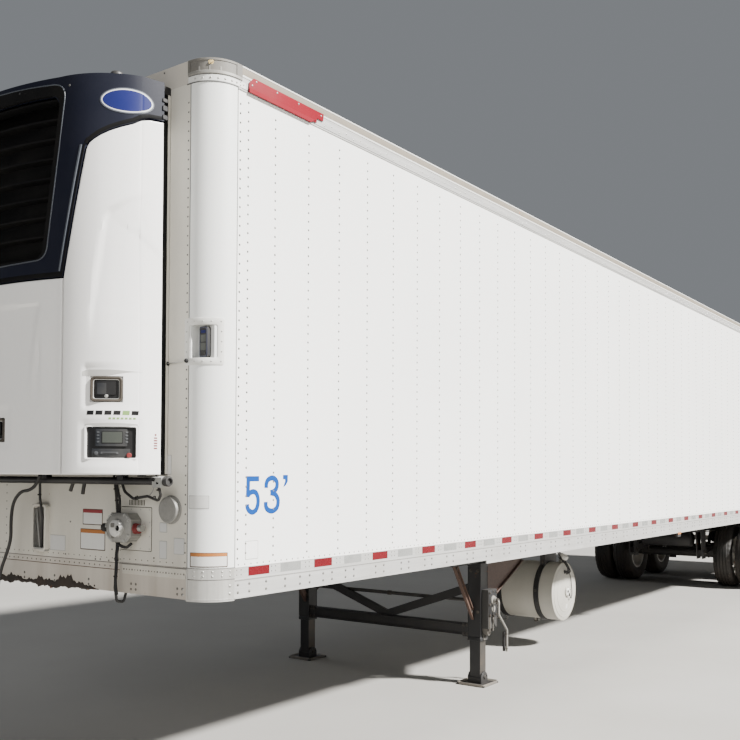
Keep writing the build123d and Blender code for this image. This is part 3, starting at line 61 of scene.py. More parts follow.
camera_data = bpy.data.cameras.new("camera")
camera_data.sensor_width = 36.0
camera_data.lens = 36.0 * FOCAL_PIXELS / PICTURE
camera_data.shift_x = (PICTURE / 2 - OPTICAL_AXIS[0]) / PICTURE
camera_data.shift_y = (OPTICAL_AXIS[1] - PICTURE / 2) / PICTURE
camera_data.clip_end = 400.0
camera = bpy.data.objects.new("camera", camera_data)
bpy.context.scene.collection.objects.link(camera)
axes = Matrix((RIGHT, UP, -LOOK)).transposed().to_4x4()
camera.matrix_world = Matrix.Translation(EYE) @ axes
bpy.context.scene.camera = camera
print("lens", round(camera_data.lens, 2), "mm, shift", round(camera_data.shift_y, 4))

# %% [markdown]
# ## Places along the trailer
# Trailer builders measure from the nose, so two small functions turn "so far
# behind the nose" and "so far ahead of it" into the frame's X.

# %% Places
NOSE = 7.8095
HALF_WIDTH = 1.2954
SIDES = (("left", 1), ("right", -1))


def behind(distance):
    return NOSE - distance


def ahead(distance):
    return NOSE + distance


print("nose at x =", NOSE, "m, half width", HALF_WIDTH, "m")

# %% [markdown]
# ## The drain hose
# Melted frost leaves the cooling unit through a black rubber hose that hangs
# from under it, drifts to the trailer's right and stops, cut off, below the
# nose. A hose is one smooth line under its own weight, so it is a NURBS curve
# with a few control points and a round section, and not a row of bent pipes.

# %% Drain hose
HOSE_RADIUS = 0.01
HOSE_ROUTE = [
    # ahead of the nose wall, y, z
    (0.15, 0.005, 1.78), (0.143, -0.038, 1.722), (0.134, -0.122, 1.688), (0.126, -0.226, 1.68),
    (0.121, -0.312, 1.61), (0.12, -0.332, 1.496), (0.118, -0.33, 1.382), (0.115, -0.384, 1.282),
    (0.112, -0.446, 1.184), (0.108, -0.478, 1.09),
]


def nurbs_cord(name, points, radius):
    curve = bpy.data.curves.new(name, "CURVE")
    curve.dimensions = "3D"
    curve.bevel_depth = radius
    curve.bevel_resolution = 5
    curve.use_fill_caps = True
    spline = curve.splines.new("NURBS")
    spline.points.add(len(points) - 1)
    for point, place in zip(spline.points, points):
        point.co = (*place, 1.0)
    spline.order_u = 3
    spline.use_endpoint_u = True
    spline.resolution_u = 8
    piece = bpy.data.objects.new(name, curve)
    bpy.context.scene.collection.objects.link(piece)
    return piece


hose_points = [(ahead(a), y, z) for a, y, z in HOSE_ROUTE]
drain_hose = nurbs_cord("drain_hose_rubber", hose_points, HOSE_RADIUS)

# %% [markdown]
# ## A small kit for finishes
# A painted sheet is never one flat colour: it fades, streaks and chips. Nodes
# can say that, but a long list of node calls hides the idea. `Value` wraps one
# node's output, so that masks are written as sums and products, and `Finish`
# holds one material with a single method that adds any node.

# %% Shader kit
class Value:
    """One output of a node, on which shader maths reads as plain Python."""

    def __init__(self, finish, socket):
        self.finish, self.socket = finish, socket

    def maths(self, operation, *inputs):
        return self.finish.node("ShaderNodeMath", {"operation": operation}, dict(enumerate(inputs)))

    def __add__(self, other):
        return self.maths("ADD", self, other)

    def __radd__(self, other):
        return self.maths("ADD", other, self)

    def __sub__(self, other):
        return self.maths("SUBTRACT", self, other)

    def __rsub__(self, other):
        return self.maths("SUBTRACT", other, self)

    def __mul__(self, other):
        return self.maths("MULTIPLY", self, other)

    def __rmul__(self, other):
        return self.maths("MULTIPLY", other, self)

    def __gt__(self, other):
        return self.maths("GREATER_THAN", self, other)

    def __lt__(self, other):
        return self.maths("LESS_THAN", self, other)

    def wave(self):
        return self.maths("SINE", self)

    def least(self, other):
        return self.maths("MINIMUM", self, other)

    def ramp(self, start, end):
        """0 at start, 1 at end, and straight between, whichever is the larger."""
        return self.finish.node("ShaderNodeMapRange", {"clamp": True},
                                {0: self, 1: start, 2: end, 3: 0.0, 4: 1.0})


# %% Material kit
class Finish:
    """One material while it is made: its nodes, and the shader that they feed."""

    def __init__(self, name, **constants):
        self.material = bpy.data.materials.new(name)
        self.material.use_nodes = True
        self.tree = self.material.node_tree
        self.tree.nodes.clear()
        self.shader = self.tree.nodes.new("ShaderNodeBsdfPrincipled")
        end = self.tree.nodes.new("ShaderNodeOutputMaterial")
        self.tree.links.new(self.shader.outputs[0], end.inputs[0])
        for key, value in constants.items():
            self.feed(key.replace("_", " ").title().replace("Ior", "IOR"), value)

    def put(self, socket, value):
        if isinstance(value, Value):
            self.tree.links.new(value.socket, socket)
        elif isinstance(value, (tuple, list)) and len(value) == 3 and socket.type == "RGBA":
            socket.default_value = (*value, 1.0)
        else:
            socket.default_value = value

    def feed(self, name, value):
        self.put(self.shader.inputs[name], value)

    def node(self, kind, settings=None, inputs=None, output=0):
        made = self.tree.nodes.new(kind)
        for key, value in (settings or {}).items():
            setattr(made, key, value)
        for key, value in (inputs or {}).items():
            self.put(made.inputs[key], value)
        return Value(self, made.outputs[output])

    def place(self, stretch=(1.0, 1.0, 1.0)):
        own = self.node("ShaderNodeTexCoord", output="Object")
        return self.node("ShaderNodeVectorMath", {"operation": "MULTIPLY"}, {0: own, 1: stretch})

    def axis(self, name):
        own = self.node("ShaderNodeTexCoord", output="Object")
        return self.node("ShaderNodeSeparateXYZ", None, {0: own}, output=name)

    def noise(self, scale, detail=3.0, stretch=(1.0, 1.0, 1.0), roughness=0.55):
        return self.node("ShaderNodeTexNoise", None,
                         {"Vector": self.place(stretch), "Scale": scale, "Detail": detail,
                          "Roughness": roughness})

    def cells(self, scale):
        return self.node("ShaderNodeTexVoronoi", None, {"Vector": self.place(), "Scale": scale}, "Distance")

    def mix(self, amount, one, other):
        return self.node("ShaderNodeMix", {"data_type": "RGBA"}, {0: amount, 6: one, 7: other}, output=2)

    def bump(self, height, distance=0.001, strength=1.0, normal=None):
        inputs = {"Height": height, "Distance": distance, "Strength": strength}
        if normal:
            inputs["Normal"] = normal
        self.feed("Normal", self.node("ShaderNodeBump", None, inputs))

    def eased_fold(self):
        """The surface direction, eased on both sides of the unit's side fold, for a soft run of light."""
        place, reach, half_turn = ahead(0.2), 0.125, 0.136
        true = self.node("ShaderNodeNewGeometry", output="Normal")
        nx, ny, nz = (self.node("ShaderNodeSeparateXYZ", None, {0: true}, output=name) for name in "XYZ")
        along, past = self.axis("X"), self.axis("X") > place
        turn = (along.ramp(place - reach, place) * (1.0 - past)
                - (1.0 - along.ramp(place, place + reach)) * past)
        turn = turn * half_turn * ((self.axis("Y") > 0.0) * 2.0 - 1.0)
        bent = self.node("ShaderNodeCombineXYZ", None, {"X": nx + turn * ny, "Y": ny - turn * nx, "Z": nz})
        return self.node("ShaderNodeVectorMath", {"operation": "NORMALIZE"}, {0: bent})


# %% [markdown]
# ## Weathered paint
# Road dirt is thrown up from below and washed down by rain. So its mask is
# strongest near the ground, and a noise stretched upwards gives the run marks.
# Rust and chips come where a fine noise passes a limit. One function makes all
# the painted finishes, and its numbers say how hard a life each one has had.

# %% Paint
def shade(colour, factor):
    return tuple(min(1.0, channel * factor) for channel in colour)


def paint(name, colour, roughness=0.4, dirt=0.2, dirt_colour=(0.33, 0.28, 0.21), levels=(2.2, 0.9),
          rust=0.0, rust_colour=(0.19, 0.07, 0.028), waves=0.0, coat=0.0, area=None, shine=0.5, fold=False):
    f = Finish(name, metallic=0.0, coat_weight=coat, specular_ior_level=shine)
    broad = f.noise(0.9, 4.0)
    fine = f.noise(45.0, 3.0)
    streaks = f.noise(7.0, 3.0, (1.0, 1.0, 0.1))
    low = f.axis("Z").ramp(*levels)
    soiled = (broad.ramp(0.42, 0.72) * 0.35 + low * 0.65) * (streaks.ramp(0.35, 0.75) * 0.7 + 0.3) * dirt
    body = f.mix(broad.ramp(0.3, 0.7), shade(colour, 0.955), shade(colour, 1.02))
    body = f.mix(fine.ramp(0.35, 0.75) * 0.25, body, shade(colour, 0.9))
    if area:
        mask, tone = area(f)
        body = f.mix(mask, body, f.mix(fine.ramp(0.3, 0.8), shade(tone, 0.8), shade(tone, 1.2)))
    body = f.mix(soiled.least(0.92), body, dirt_colour)
    height = fine * 0.15 + broad * waves
    rough = soiled * 0.4 + roughness
    if rust:
        limit = 0.74 - 0.22 * rust
        spots = (f.noise(16.0, 6.0, roughness=0.7) + f.noise(2.5, 2.0) * 0.35 - 0.17).ramp(limit, limit + 0.06)
        tone = f.mix(f.noise(70.0, 4.0), rust_colour, shade(rust_colour, 2.1))
        body = f.mix(spots * 0.9, body, tone)
        rough = rough + spots * 0.35
        height = height + spots * 0.5
    f.feed("Base Color", body)
    f.feed("Roughness", rough.least(0.95))
    f.bump(height, 0.0015, 0.35, f.eased_fold() if fold else None)
    return f.material


# %% Metal
def metal(name, colour, roughness=0.38, metallic=0.6, grain=(1.0, 1.0, 1.0), stain=0.25,
          stain_colour=(0.3, 0.27, 0.22), levels=(1.6, 0.9), pitted=0.2):
    f = Finish(name, metallic=metallic)
    brushed = f.noise(60.0, 2.0, grain)
    cloud = f.noise(3.0, 5.0, roughness=0.65)
    drip = f.noise(9.0, 3.0, (1.0, 1.0, 0.15))
    low = f.axis("Z").ramp(*levels)
    soiled = cloud.ramp(0.45, 0.7) * (drip.ramp(0.3, 0.7) * 0.6 + low * 0.4 + 0.2) * stain
    body = f.mix(brushed.ramp(0.3, 0.7), shade(colour, 0.9), shade(colour, 1.06))
    body = f.mix(soiled.least(0.9), body, stain_colour)
    f.feed("Base Color", body)
    f.feed("Roughness", (brushed * 0.16 + soiled * 0.4 + roughness - 0.08).least(0.95))
    f.bump(brushed * 0.2 + f.noise(120.0, 3.0) * pitted, 0.001, 0.3)
    return f.material


# %% Moulded plastic and rubber
def moulded(name, colour, roughness=0.45, dust=0.15, dust_colour=(0.42, 0.38, 0.31), grain=180.0, coat=0.0,
            shine=0.5, fold=False):
    f = Finish(name, coat_weight=coat, coat_roughness=0.12, specular_ior_level=shine)
    leather = f.cells(grain).ramp(0.0, 0.6)
    cloud = f.noise(2.2, 5.0, roughness=0.6)
    settled = cloud.ramp(0.4, 0.75) * dust
    body = f.mix(cloud, shade(colour, 0.88), shade(colour, 1.1))
    f.feed("Base Color", f.mix(settled, body, dust_colour))
    f.feed("Roughness", settled * 0.5 + (leather * 0.08 + roughness))
    f.bump(leather * 0.3 + f.noise(30.0, 2.0) * 0.3, 0.0006, 0.25, f.eased_fold() if fold else None)
    return f.material


# %% Finishes of the body
white_sheet = paint("white_prepainted_sheet", (0.85, 0.85, 0.83), 0.36, dirt=0.1, levels=(2.0, 1.1), waves=1.2)
corner_sheet = paint("white_corner_sheet", (0.8, 0.81, 0.79), 0.4, dirt=0.12, levels=(2.4, 1.2), waves=0.8)
nose_sheet = paint("soiled_nose_sheet", (0.66, 0.635, 0.565), 0.5, dirt=0.75, dirt_colour=(0.25, 0.2, 0.145),
                   levels=(1.7, 1.05), rust=0.16, waves=1.0)
sill_metal = paint("stained_sill", (0.56, 0.525, 0.465), 0.5, dirt=0.8, dirt_colour=(0.23, 0.17, 0.125),
                   levels=(1.5, 1.08), rust=0.32)
rail_metal = metal("mill_aluminium_rail", (0.555, 0.552, 0.54), 0.42, 0.45, (0.02, 1.0, 1.0), stain=0.45)
cast_metal = metal("cast_aluminium", (0.27, 0.265, 0.25), 0.55, 0.5, stain=0.6, pitted=0.7)
bright_metal = metal("brushed_corner_metal", (0.6, 0.595, 0.57), 0.34, 0.65, (1.0, 1.0, 0.03), stain=0.35)
zinc_metal = metal("zinc_plated_steel", (0.42, 0.42, 0.4), 0.4, 0.75, stain=0.3)
dull_steel = metal("dull_black_bolt", (0.06, 0.056, 0.05), 0.5, 0.5, stain=0.5,
                   stain_colour=(0.075, 0.045, 0.028), levels=(1.2, 0.2))
stainless_metal = metal("stainless_steel", (0.6, 0.6, 0.59), 0.3, 0.9, (1.0, 0.03, 1.0), stain=0.25)
bare_steel = metal("greasy_bare_steel", (0.2, 0.19, 0.175), 0.5, 0.6, stain=0.6,
                   stain_colour=(0.1, 0.055, 0.03))
# %% Finishes of the chassis and the unit
chassis_black = paint("dusty_chassis_black", (0.022, 0.022, 0.024), 0.55, dirt=0.3,
                      dirt_colour=(0.17, 0.145, 0.115), levels=(1.2, 0.1), rust=0.28)
leg_black = paint("worn_leg_black", (0.011, 0.011, 0.012), 0.5, dirt=0.24,
                  dirt_colour=(0.12, 0.1, 0.08), levels=(0.3, 0.0), rust=0.2, rust_colour=(0.06, 0.03, 0.018))


LEG_X, BRACE_TOP, OLD_PRIMER = behind(3.537), 1.034, (0.062, 0.034, 0.025)


def brown_braces(f):
    """The braces ahead of the legs and the gussets behind them, in old red primer."""
    along, level = f.axis("X"), f.axis("Z")
    ahead_of_leg = (along > LEG_X + 0.0635) * (level < BRACE_TOP)
    behind_leg = (along < LEG_X - 0.0635) * (level < BRACE_TOP)
    return (ahead_of_leg + behind_leg).least(1.0), OLD_PRIMER


frame_black = paint("worn_frame_black", (0.011, 0.011, 0.012), 0.6, dirt=0.2, dirt_colour=(0.12, 0.1, 0.08),
                    levels=(0.9, 0.2), rust=0.24, rust_colour=(0.085, 0.042, 0.024), area=brown_braces)
gear_grey = paint("worn_gear_grey", (0.13, 0.125, 0.115), 0.6, dirt=0.35, levels=(1.0, 0.2), rust=0.55)
drive_grey = paint("gearbox_and_crank_grey", (0.03, 0.029, 0.028), 0.55, dirt=0.3,
                   dirt_colour=(0.14, 0.12, 0.095), levels=(0.9, 0.2), rust=0.35,
                   rust_colour=(0.07, 0.036, 0.02), area=lambda f: (f.axis("Y") > 1.0705, (0.2, 0.19, 0.17)))
rust_brown = paint("rusted_brace_brown", (0.075, 0.04, 0.028), 0.8, dirt=0.35, dirt_colour=(0.16, 0.135, 0.11),
                   levels=(1.1, 0.4), rust=0.5, rust_colour=(0.09, 0.042, 0.022))
tank_paint = paint("beige_tank_enamel", (0.44, 0.425, 0.38), 0.45, dirt=0.45, dirt_colour=(0.2, 0.165, 0.125),
                   levels=(0.8, 0.25), rust=0.08)
wheel_paint = paint("white_wheel_enamel", (0.62, 0.61, 0.57), 0.45, dirt=0.75,
                    dirt_colour=(0.24, 0.19, 0.14), levels=(1.4, 0.1), rust=0.35)
door_skin_white = paint("moulded_white_skin", (0.84, 0.83, 0.815), 0.3, dirt=0.07, levels=(2.3, 1.7), waves=0.3,
                        coat=0.25, fold=True)
navy_skin = moulded("dark_navy_skin", (0.0022, 0.0035, 0.012), 0.46, dust=0.012, shine=0.22, fold=True)
# a lighter copy of the navy skin, which paints the highlight along the shroud's lips and round the badges
navy_edge_highlight = moulded("navy_edge_painted_highlight", (0.045, 0.052, 0.066), 0.4, dust=0.05)
black_plastic = moulded("black_plastic", (0.014, 0.014, 0.016), 0.42, dust=0.12)
# black for the louvres and grille, also used as painted shade in gaps and holes
black_louvre_and_shade = moulded("black_louvre_and_painted_shade", (0.002, 0.002, 0.0025), 0.7, dust=0.02, shine=0.15)
black_rubber = moulded("black_rubber", (0.011, 0.011, 0.012), 0.7, dust=0.12, dust_colour=(0.26, 0.23, 0.19),
                       grain=90.0, shine=0.3)
base_black = moulded("base_tube_black", (0.007, 0.007, 0.009), 0.36, dust=0.05, shine=0.4)
lead_rubber = moulded("black_lead_rubber", (0.009, 0.009, 0.01), 0.55, dust=0.07, grain=90.0)
seam_sealant = moulded("grey_sealant", (0.36, 0.36, 0.35), 0.6, dust=0.2, grain=60.0)
print("finishes so far:", len(bpy.data.materials))

# %% [markdown]
# ## Floor and light
# The object stands on a plain pale floor. A distant light, high on the
# trailer's left, brightens the long side as the sun did in the photograph: far
# away, it falls evenly on all sixteen metres. A weaker one ahead keeps the
# nose a shade darker than the side, and a third opens the shade at the right.

# %% Stage
FLOOR_REACH = 90.0
SKY_COLOUR, SKY_STRENGTH = (0.6, 0.635, 0.68, 1.0), 0.34


def stage_floor():
    f = Finish("pale_floor", roughness=0.9)
    f.feed("Base Color", f.mix(f.noise(0.6, 4.0).ramp(0.3, 0.7), (0.285, 0.275, 0.255), (0.315, 0.305, 0.285)))
    mesh = bpy.data.meshes.new("floor_sheet")
    corners = ((-1, -1), (1, -1), (1, 1), (-1, 1))
    mesh.from_pydata([(x * FLOOR_REACH, y * FLOOR_REACH, 0) for x, y in corners], [], [(0, 1, 2, 3)])
    sheet = bpy.data.objects.new("floor_sheet", mesh)
    bpy.context.scene.collection.objects.link(sheet)
    mesh.materials.append(f.material)


def soft_light(name, place, target, size, watts, colour=(1.0, 1.0, 1.0)):
    data = bpy.data.lights.new(name, "AREA")
    data.shape = "DISK"
    data.size = size
    data.energy = watts
    data.color = colour
    lamp = bpy.data.objects.new(name, data)
    bpy.context.scene.collection.objects.link(lamp)
    lamp.location = place
    lamp.rotation_euler = (Vector(target) - Vector(place)).to_track_quat("-Z", "Y").to_euler()


stage_floor()
world = bpy.data.worlds.new("studio")
world.use_nodes = True
sky = world.node_tree.nodes["Background"]
sky.inputs["Color"].default_value, sky.inputs["Strength"].default_value = SKY_COLOUR, SKY_STRENGTH
bpy.context.scene.world = world
soft_light("key", (-13.0, 77.0, 71.0), (0.0, 0.0, 1.5), 9.0, 590000.0, (1.0, 0.985, 0.955))
soft_light("nose_fill", (22.0, 9.0, 9.0), (7.5, 0.0, 2.0), 8.0, 820.0)
soft_light("right_fill", (2.0, -26.0, 14.0), (0.0, 0.0, 1.5), 16.0, 1300.0, (0.95, 0.97, 1.0))
print("lights:", [lamp.name for lamp in bpy.data.lights])

# %% [markdown]
# ## Finishes for the CAD solids
# Solids whose shape is right stay as they are, and only get a finish. A table
# of names and materials is easier to check than a call for each of them.

# %% Carried-over solids
def wear(node, *materials):
    slots = nodes[node].data.materials
    slots.clear()
    for material in materials:
        slots.append(material)


SOLID_FINISHES = {
    "side_walls": white_sheet, "corner_posts": corner_sheet, "nose_wall": nose_sheet, "roof": white_sheet,
    "side_rails": rail_metal, "top_rails": rail_metal, "front_rails": sill_metal,
    "corner_castings": bright_metal, "floor": rail_metal, "crossmembers": rail_metal,
    "rear_frame": stainless_metal, "door_left": white_sheet, "door_right": white_sheet,
    "door_hardware_left": zinc_metal, "door_hardware_right": zinc_metal, "coupler": bare_steel,
    "status_display": black_plastic, "landing_legs": leg_black, "landing_gear_frame": frame_black,
    "landing_gear_drive": drive_grey, "fuel_tank": tank_paint, "tank_hangers": chassis_black,
    "slider_rails": bare_steel, "bogie_frame": chassis_black, "suspension_hangers": chassis_black,
    "axles": chassis_black, "air_springs": black_rubber, "air_tank": chassis_black, "rear_guard": gear_grey,
    "mud_flaps": black_rubber, "dock_bumpers": black_rubber, "lamps": black_plastic,
    "nose_fittings": zinc_metal, "nose_leads": lead_rubber, "unit_condenser": black_louvre_and_shade,
    "unit_door_front": door_skin_white, "unit_door_left": door_skin_white, "unit_door_right": door_skin_white,
    "unit_engine": gear_grey, "unit_frame": base_black, "unit_grille": black_louvre_and_shade, "unit_shroud": navy_skin,
}
for end in ("front", "rear"):
    for side in ("left", "right"):
        SOLID_FINISHES[f"tyres_{end}_{side}"] = black_rubber
        SOLID_FINISHES[f"wheel_{end}_{side}"] = wheel_paint
for node, material in SOLID_FINISHES.items():
    wear(node, material)
bare = sorted(set(nodes) - set(SOLID_FINISHES) - {"drain_hose"})
print("solids finished:", len(SOLID_FINISHES), "without a finish:", bare)

drain_hose.data.materials.append(lead_rubber)
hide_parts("drain_hose")

# %% [markdown]
# ## A small kit for forms
# Trailer fittings are mostly bent sheet, turned parts and fasteners. Each is a
# row of rings of points joined by faces, so one class gathers such rings into
# a mesh. A piece with a thousand rivets is then still one object. `spot` turns
# a place on a surface, and the way that the surface faces, into local axes:
# to the right, upwards, and out of it.

# %% Axes and outlines
OPEN = (False, False)


def spot(place, normal, up=(0, 0, 1)):
    out = Vector(normal).normalized()
    right = Vector(up).cross(out).normalized()
    return Matrix.Translation(Vector(place)) @ Matrix((right, out.cross(right), out)).transposed().to_4x4()


def shifted(local, x, y, z=0.0, turn=0.0):
    """The same axes, turned about their own line and then moved along themselves."""
    return local @ Matrix.Rotation(turn, 4, "Z") @ Matrix.Translation((x, y, z))


def at_nose(y, z, out=0.0):
    return spot((NOSE + out, y, z), (1, 0, 0))


def rounded(width, height, radius, steps=4):
    """Outline of a rounded rectangle about the origin."""
    radius = max(min(radius, width / 2 - 1e-5, height / 2 - 1e-5), 1e-5)
    points = []
    for quarter, (sx, sy) in enumerate(((1, 1), (-1, 1), (-1, -1), (1, -1))):
        for step in range(steps + 1):
            angle = (quarter + step / steps) * math.pi / 2
            points.append((sx * (width / 2 - radius) + radius * math.cos(angle),
                           sy * (height / 2 - radius) + radius * math.sin(angle)))
    return points


def circle(radius, sides):
    return [(radius * math.cos(2 * math.pi * i / sides), radius * math.sin(2 * math.pi * i / sides))
            for i in range(sides)]


def corners_at(x, y):
    """The four places of a rectangle about the origin."""
    return [(a, b) for a in (-x, x) for b in (-y, y)]


# %% Forms kit
class Forms:
    """The points and faces of one piece, gathered from many small forms."""

    def __init__(self):
        self.points, self.faces, self.marks = [], [], []

    def add(self, points, faces, mark=0):
        first = len(self.points)
        self.points.extend(tuple(point) for point in points)
        self.faces.extend(tuple(first + index for index in face) for face in faces)
        self.marks.extend([mark] * len(faces))

    def rings(self, rings, mark=0, closed=True, caps=(True, True)):
        """Quads between neighbouring rings of equally many points."""
        count = len(rings[0])
        faces = []
        for row in range(len(rings) - 1):
            for i in range(count if closed else count - 1):
                j = (i + 1) % count
                faces.append((row * count + i, row * count + j, (row + 1) * count + j, (row + 1) * count + i))
        if caps[0]:
            faces.append(tuple(reversed(range(count))))
        if caps[1]:
            last = (len(rings) - 1) * count
            faces.append(tuple(last + i for i in range(count)))
        self.add([point for ring in rings for point in ring], faces, mark)

    def stack(self, local, layers, mark=0, caps=(True, True)):
        """Outlines in the plane of the spot, or on a bent surface, each at its height out of it."""
        place = local if callable(local) else lambda x, y, height: local @ Vector((x, y, height))
        self.rings([[place(x, y, height) for x, y in outline] for outline, height in layers], mark, True, caps)

    def patch(self, surface, columns, low, high, depth, edge=0.001, mark=0, base=0.0):
        """A thin plate laid on a bent surface, as high at each column as low and high say."""
        rings = []
        for x in columns:
            b, t = low(x), high(x)
            e = min(edge, (t - b) * 0.4)
            rings.append([surface(x, b, base), surface(x, b, base + depth - edge),
                          surface(x, b + e, base + depth), surface(x, t - e, base + depth),
                          surface(x, t, base + depth - edge), surface(x, t, base)])
        self.rings(rings, mark)

    def oval(self, surface, width, height, depth, mark=0):
        columns = [-width / 2 * math.cos(math.pi * i / 28) for i in range(29)]
        half = lambda x: max(height / 2 * math.sqrt(max(1 - (2 * x / width) ** 2, 0.0)), 0.0004)
        self.patch(surface, columns, lambda x: -half(x), half, depth, 0.0008, mark)

    def slab(self, surface, width, height, depth, radius=0.004, mark=0, base=0.0, edge=0.001, steps=8):
        """A rounded rectangle laid on a bent surface."""
        bend = [radius * (1 - math.cos(math.pi / 2 * i / 4)) for i in range(4)]
        inner = [-width / 2 + radius + (width - 2 * radius) * i / steps for i in range(steps + 1)]
        columns = [-width / 2 + b for b in bend] + inner + [width / 2 - b for b in reversed(bend)]

        def half(x):
            over = max(abs(x) - (width / 2 - radius), 0.0)
            return height / 2 - radius + math.sqrt(max(radius ** 2 - over ** 2, 1e-10))
        self.patch(surface, columns, lambda x: -half(x), half, depth, edge, mark, base)

    def ribbon(self, local, points, width, depth):
        """A flat band of even width along a line of (x, y) points, with mitred bends."""
        rings = []
        for i, (x, y) in enumerate(points):
            before, after = points[max(i - 1, 0)], points[min(i + 1, len(points) - 1)]
            a = Vector((x - before[0], y - before[1])) if i else None
            b = Vector((after[0] - x, after[1] - y)) if i < len(points) - 1 else None
            run = ((a or b).normalized() + (b or a).normalized()).normalized()
            reach = width / 2 / max(run.dot((b or a).normalized()), 0.35)
            nx, ny = -run.y * reach, run.x * reach
            corners = ((nx, ny, 0.0), (nx, ny, depth), (-nx, -ny, depth), (-nx, -ny, 0.0))
            rings.append([local @ Vector((x + a, y + b, height)) for a, b, height in corners])
        self.rings(rings)

    def plate(self, local, width, height, depth, radius=0.002, edge=0.0008, mark=0, base=0.0):
        edge = min(edge, depth * 0.9)
        whole = rounded(width, height, radius)
        inner = rounded(width - 2 * edge, height - 2 * edge, radius - edge)
        self.stack(local, [(whole, base), (whole, base + depth - edge), (inner, base + depth)], mark)

    def frame(self, local, width, height, hole_width, hole_height, depth, radius=0.006, mark=0, base=0.0,
              edge=0.001):
        whole, inner = rounded(width, height, radius), rounded(hole_width, hole_height, radius * 0.7)
        shrunk = rounded(width - 2 * edge, height - 2 * edge, radius)
        grown = rounded(hole_width + 2 * edge, hole_height + 2 * edge, radius * 0.7)
        self.stack(local, [(inner, base), (whole, base), (whole, base + depth - edge), (shrunk, base + depth),
                           (grown, base + depth), (inner, base + depth - edge), (inner, base)], mark, OPEN)

    def dome(self, local, radius, height, sides=6, mark=0):
        self.stack(local, [(circle(radius, sides), 0.0), (circle(radius * 0.68, sides), height * 0.75),
                           (circle(radius * 0.12, sides), height)], mark, (False, True))

    def bolt(self, local, across, height, mark=0, washer=True):
        if washer:
            self.stack(local, [(circle(across * 0.95, 14), 0.0), (circle(across * 0.95, 14), height * 0.22)],
                       mark, (False, True))
        head = across / math.sqrt(3)
        self.stack(local, [(circle(head, 6), height * 0.2), (circle(head, 6), height * 0.88),
                           (circle(head * 0.86, 6), height)], mark, (False, True))

    def turned(self, local, profile, sides=24, mark=0, caps=(True, True)):
        """A profile of (radius, height out of the spot) turned about the spot's own line."""
        self.stack(local, [(circle(max(radius, 1e-4), sides), height) for radius, height in profile], mark,
                   caps)

    def tube(self, line, radius, sides=10, mark=0):
        """A round section carried along a line of points, turning as little as it can."""
        line = [Vector(point) for point in line]
        side = None
        rings = []
        for i, point in enumerate(line):
            run = (line[min(i + 1, len(line) - 1)] - line[max(i - 1, 0)]).normalized()
            if side is None:
                side = run.orthogonal().normalized()
            side = (side - run * side.dot(run)).normalized()
            other = run.cross(side)
            size = radius(i / (len(line) - 1)) if callable(radius) else radius
            rings.append([point + side * x + other * y for x, y in circle(size, sides)])
        self.rings(rings, mark)

    def section(self, outline, line, mark=0):
        """A flat outline of (y, z) carried along X from one place to the next."""
        self.rings([[(x, y, z) for y, z in outline] for x in line], mark)

    def make(self, name, materials, body="trailer", smooth=40.0, slot=None):
        mesh = bpy.data.meshes.new(name)
        mesh.from_pydata(self.points, [], self.faces)
        for material in materials:
            mesh.materials.append(material)
        mesh.polygons.foreach_set("material_index", self.marks)
        tidy = bmesh.new()
        tidy.from_mesh(mesh)
        bmesh.ops.recalc_face_normals(tidy, faces=tidy.faces)
        tidy.to_mesh(mesh)
        tidy.free()
        if smooth:
            mesh.shade_smooth()
            mesh.set_sharp_from_angle(angle=math.radians(smooth))
        made = bpy.data.objects.new(name, mesh)
        bpy.context.scene.collection.objects.link(made)
        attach(made, body)
        print(f"{name}: {sum(len(face) - 2 for face in self.faces)} triangles")
        return made


# %% Smooth lines
def flowing(points, steps=6):
    """A smooth line through the given points."""
    points = [Vector(p) for p in points]
    padded = [points[0] * 2 - points[1], *points, points[-1] * 2 - points[-2]]
    line = []
    for i in range(1, len(padded) - 2):
        a, b, c, d = padded[i - 1:i + 3]
        for step in range(steps):
            t = step / steps
            line.append(0.5 * (2 * b + (c - a) * t + (2 * a - 5 * b + 4 * c - d) * t ** 2
                               + (3 * b - a - 3 * c + d) * t ** 3))
    return line + [points[-1]]


# %% [markdown]
# ## Riveted side sheets
# Each side is thin prepainted sheet, riveted to a post every foot with a head
# every two inches. The heads catch the light and give the long side its scale.
# Paint dots would vanish from the side, so each head is a small real dome, and
# all those of one side are one mesh.

# %% Side rivets
SHEET_Y = HALF_WIDTH - 0.0054
SHEET_LOW, SHEET_HIGH = 1.281, 3.927
FIRST_POST, POST_PITCH, RIVET_PITCH = 0.5, 0.3048, 0.0525
REAR_FRAME = 15.964
POST_HEAD, EDGE_HEAD, EDGE_PITCH = (0.007, 0.0036), (0.0054, 0.0022, 5), 0.0508
# rivet heads in dark grey, which paints the shade round each dome as well as their dirt
rivet_shade_grey = paint("rivet_head_grey_painted_shade", (0.105, 0.105, 0.1), 0.5, dirt=0.35, levels=(2.4, 1.1), shine=0.3)
# near-black rail rivets, whose colour paints the long shadow that each one casts
rail_rivet_shade = metal("rail_rivet_painted_shade", (0.115, 0.112, 0.105), 0.55, 0.3, stain=0.4)
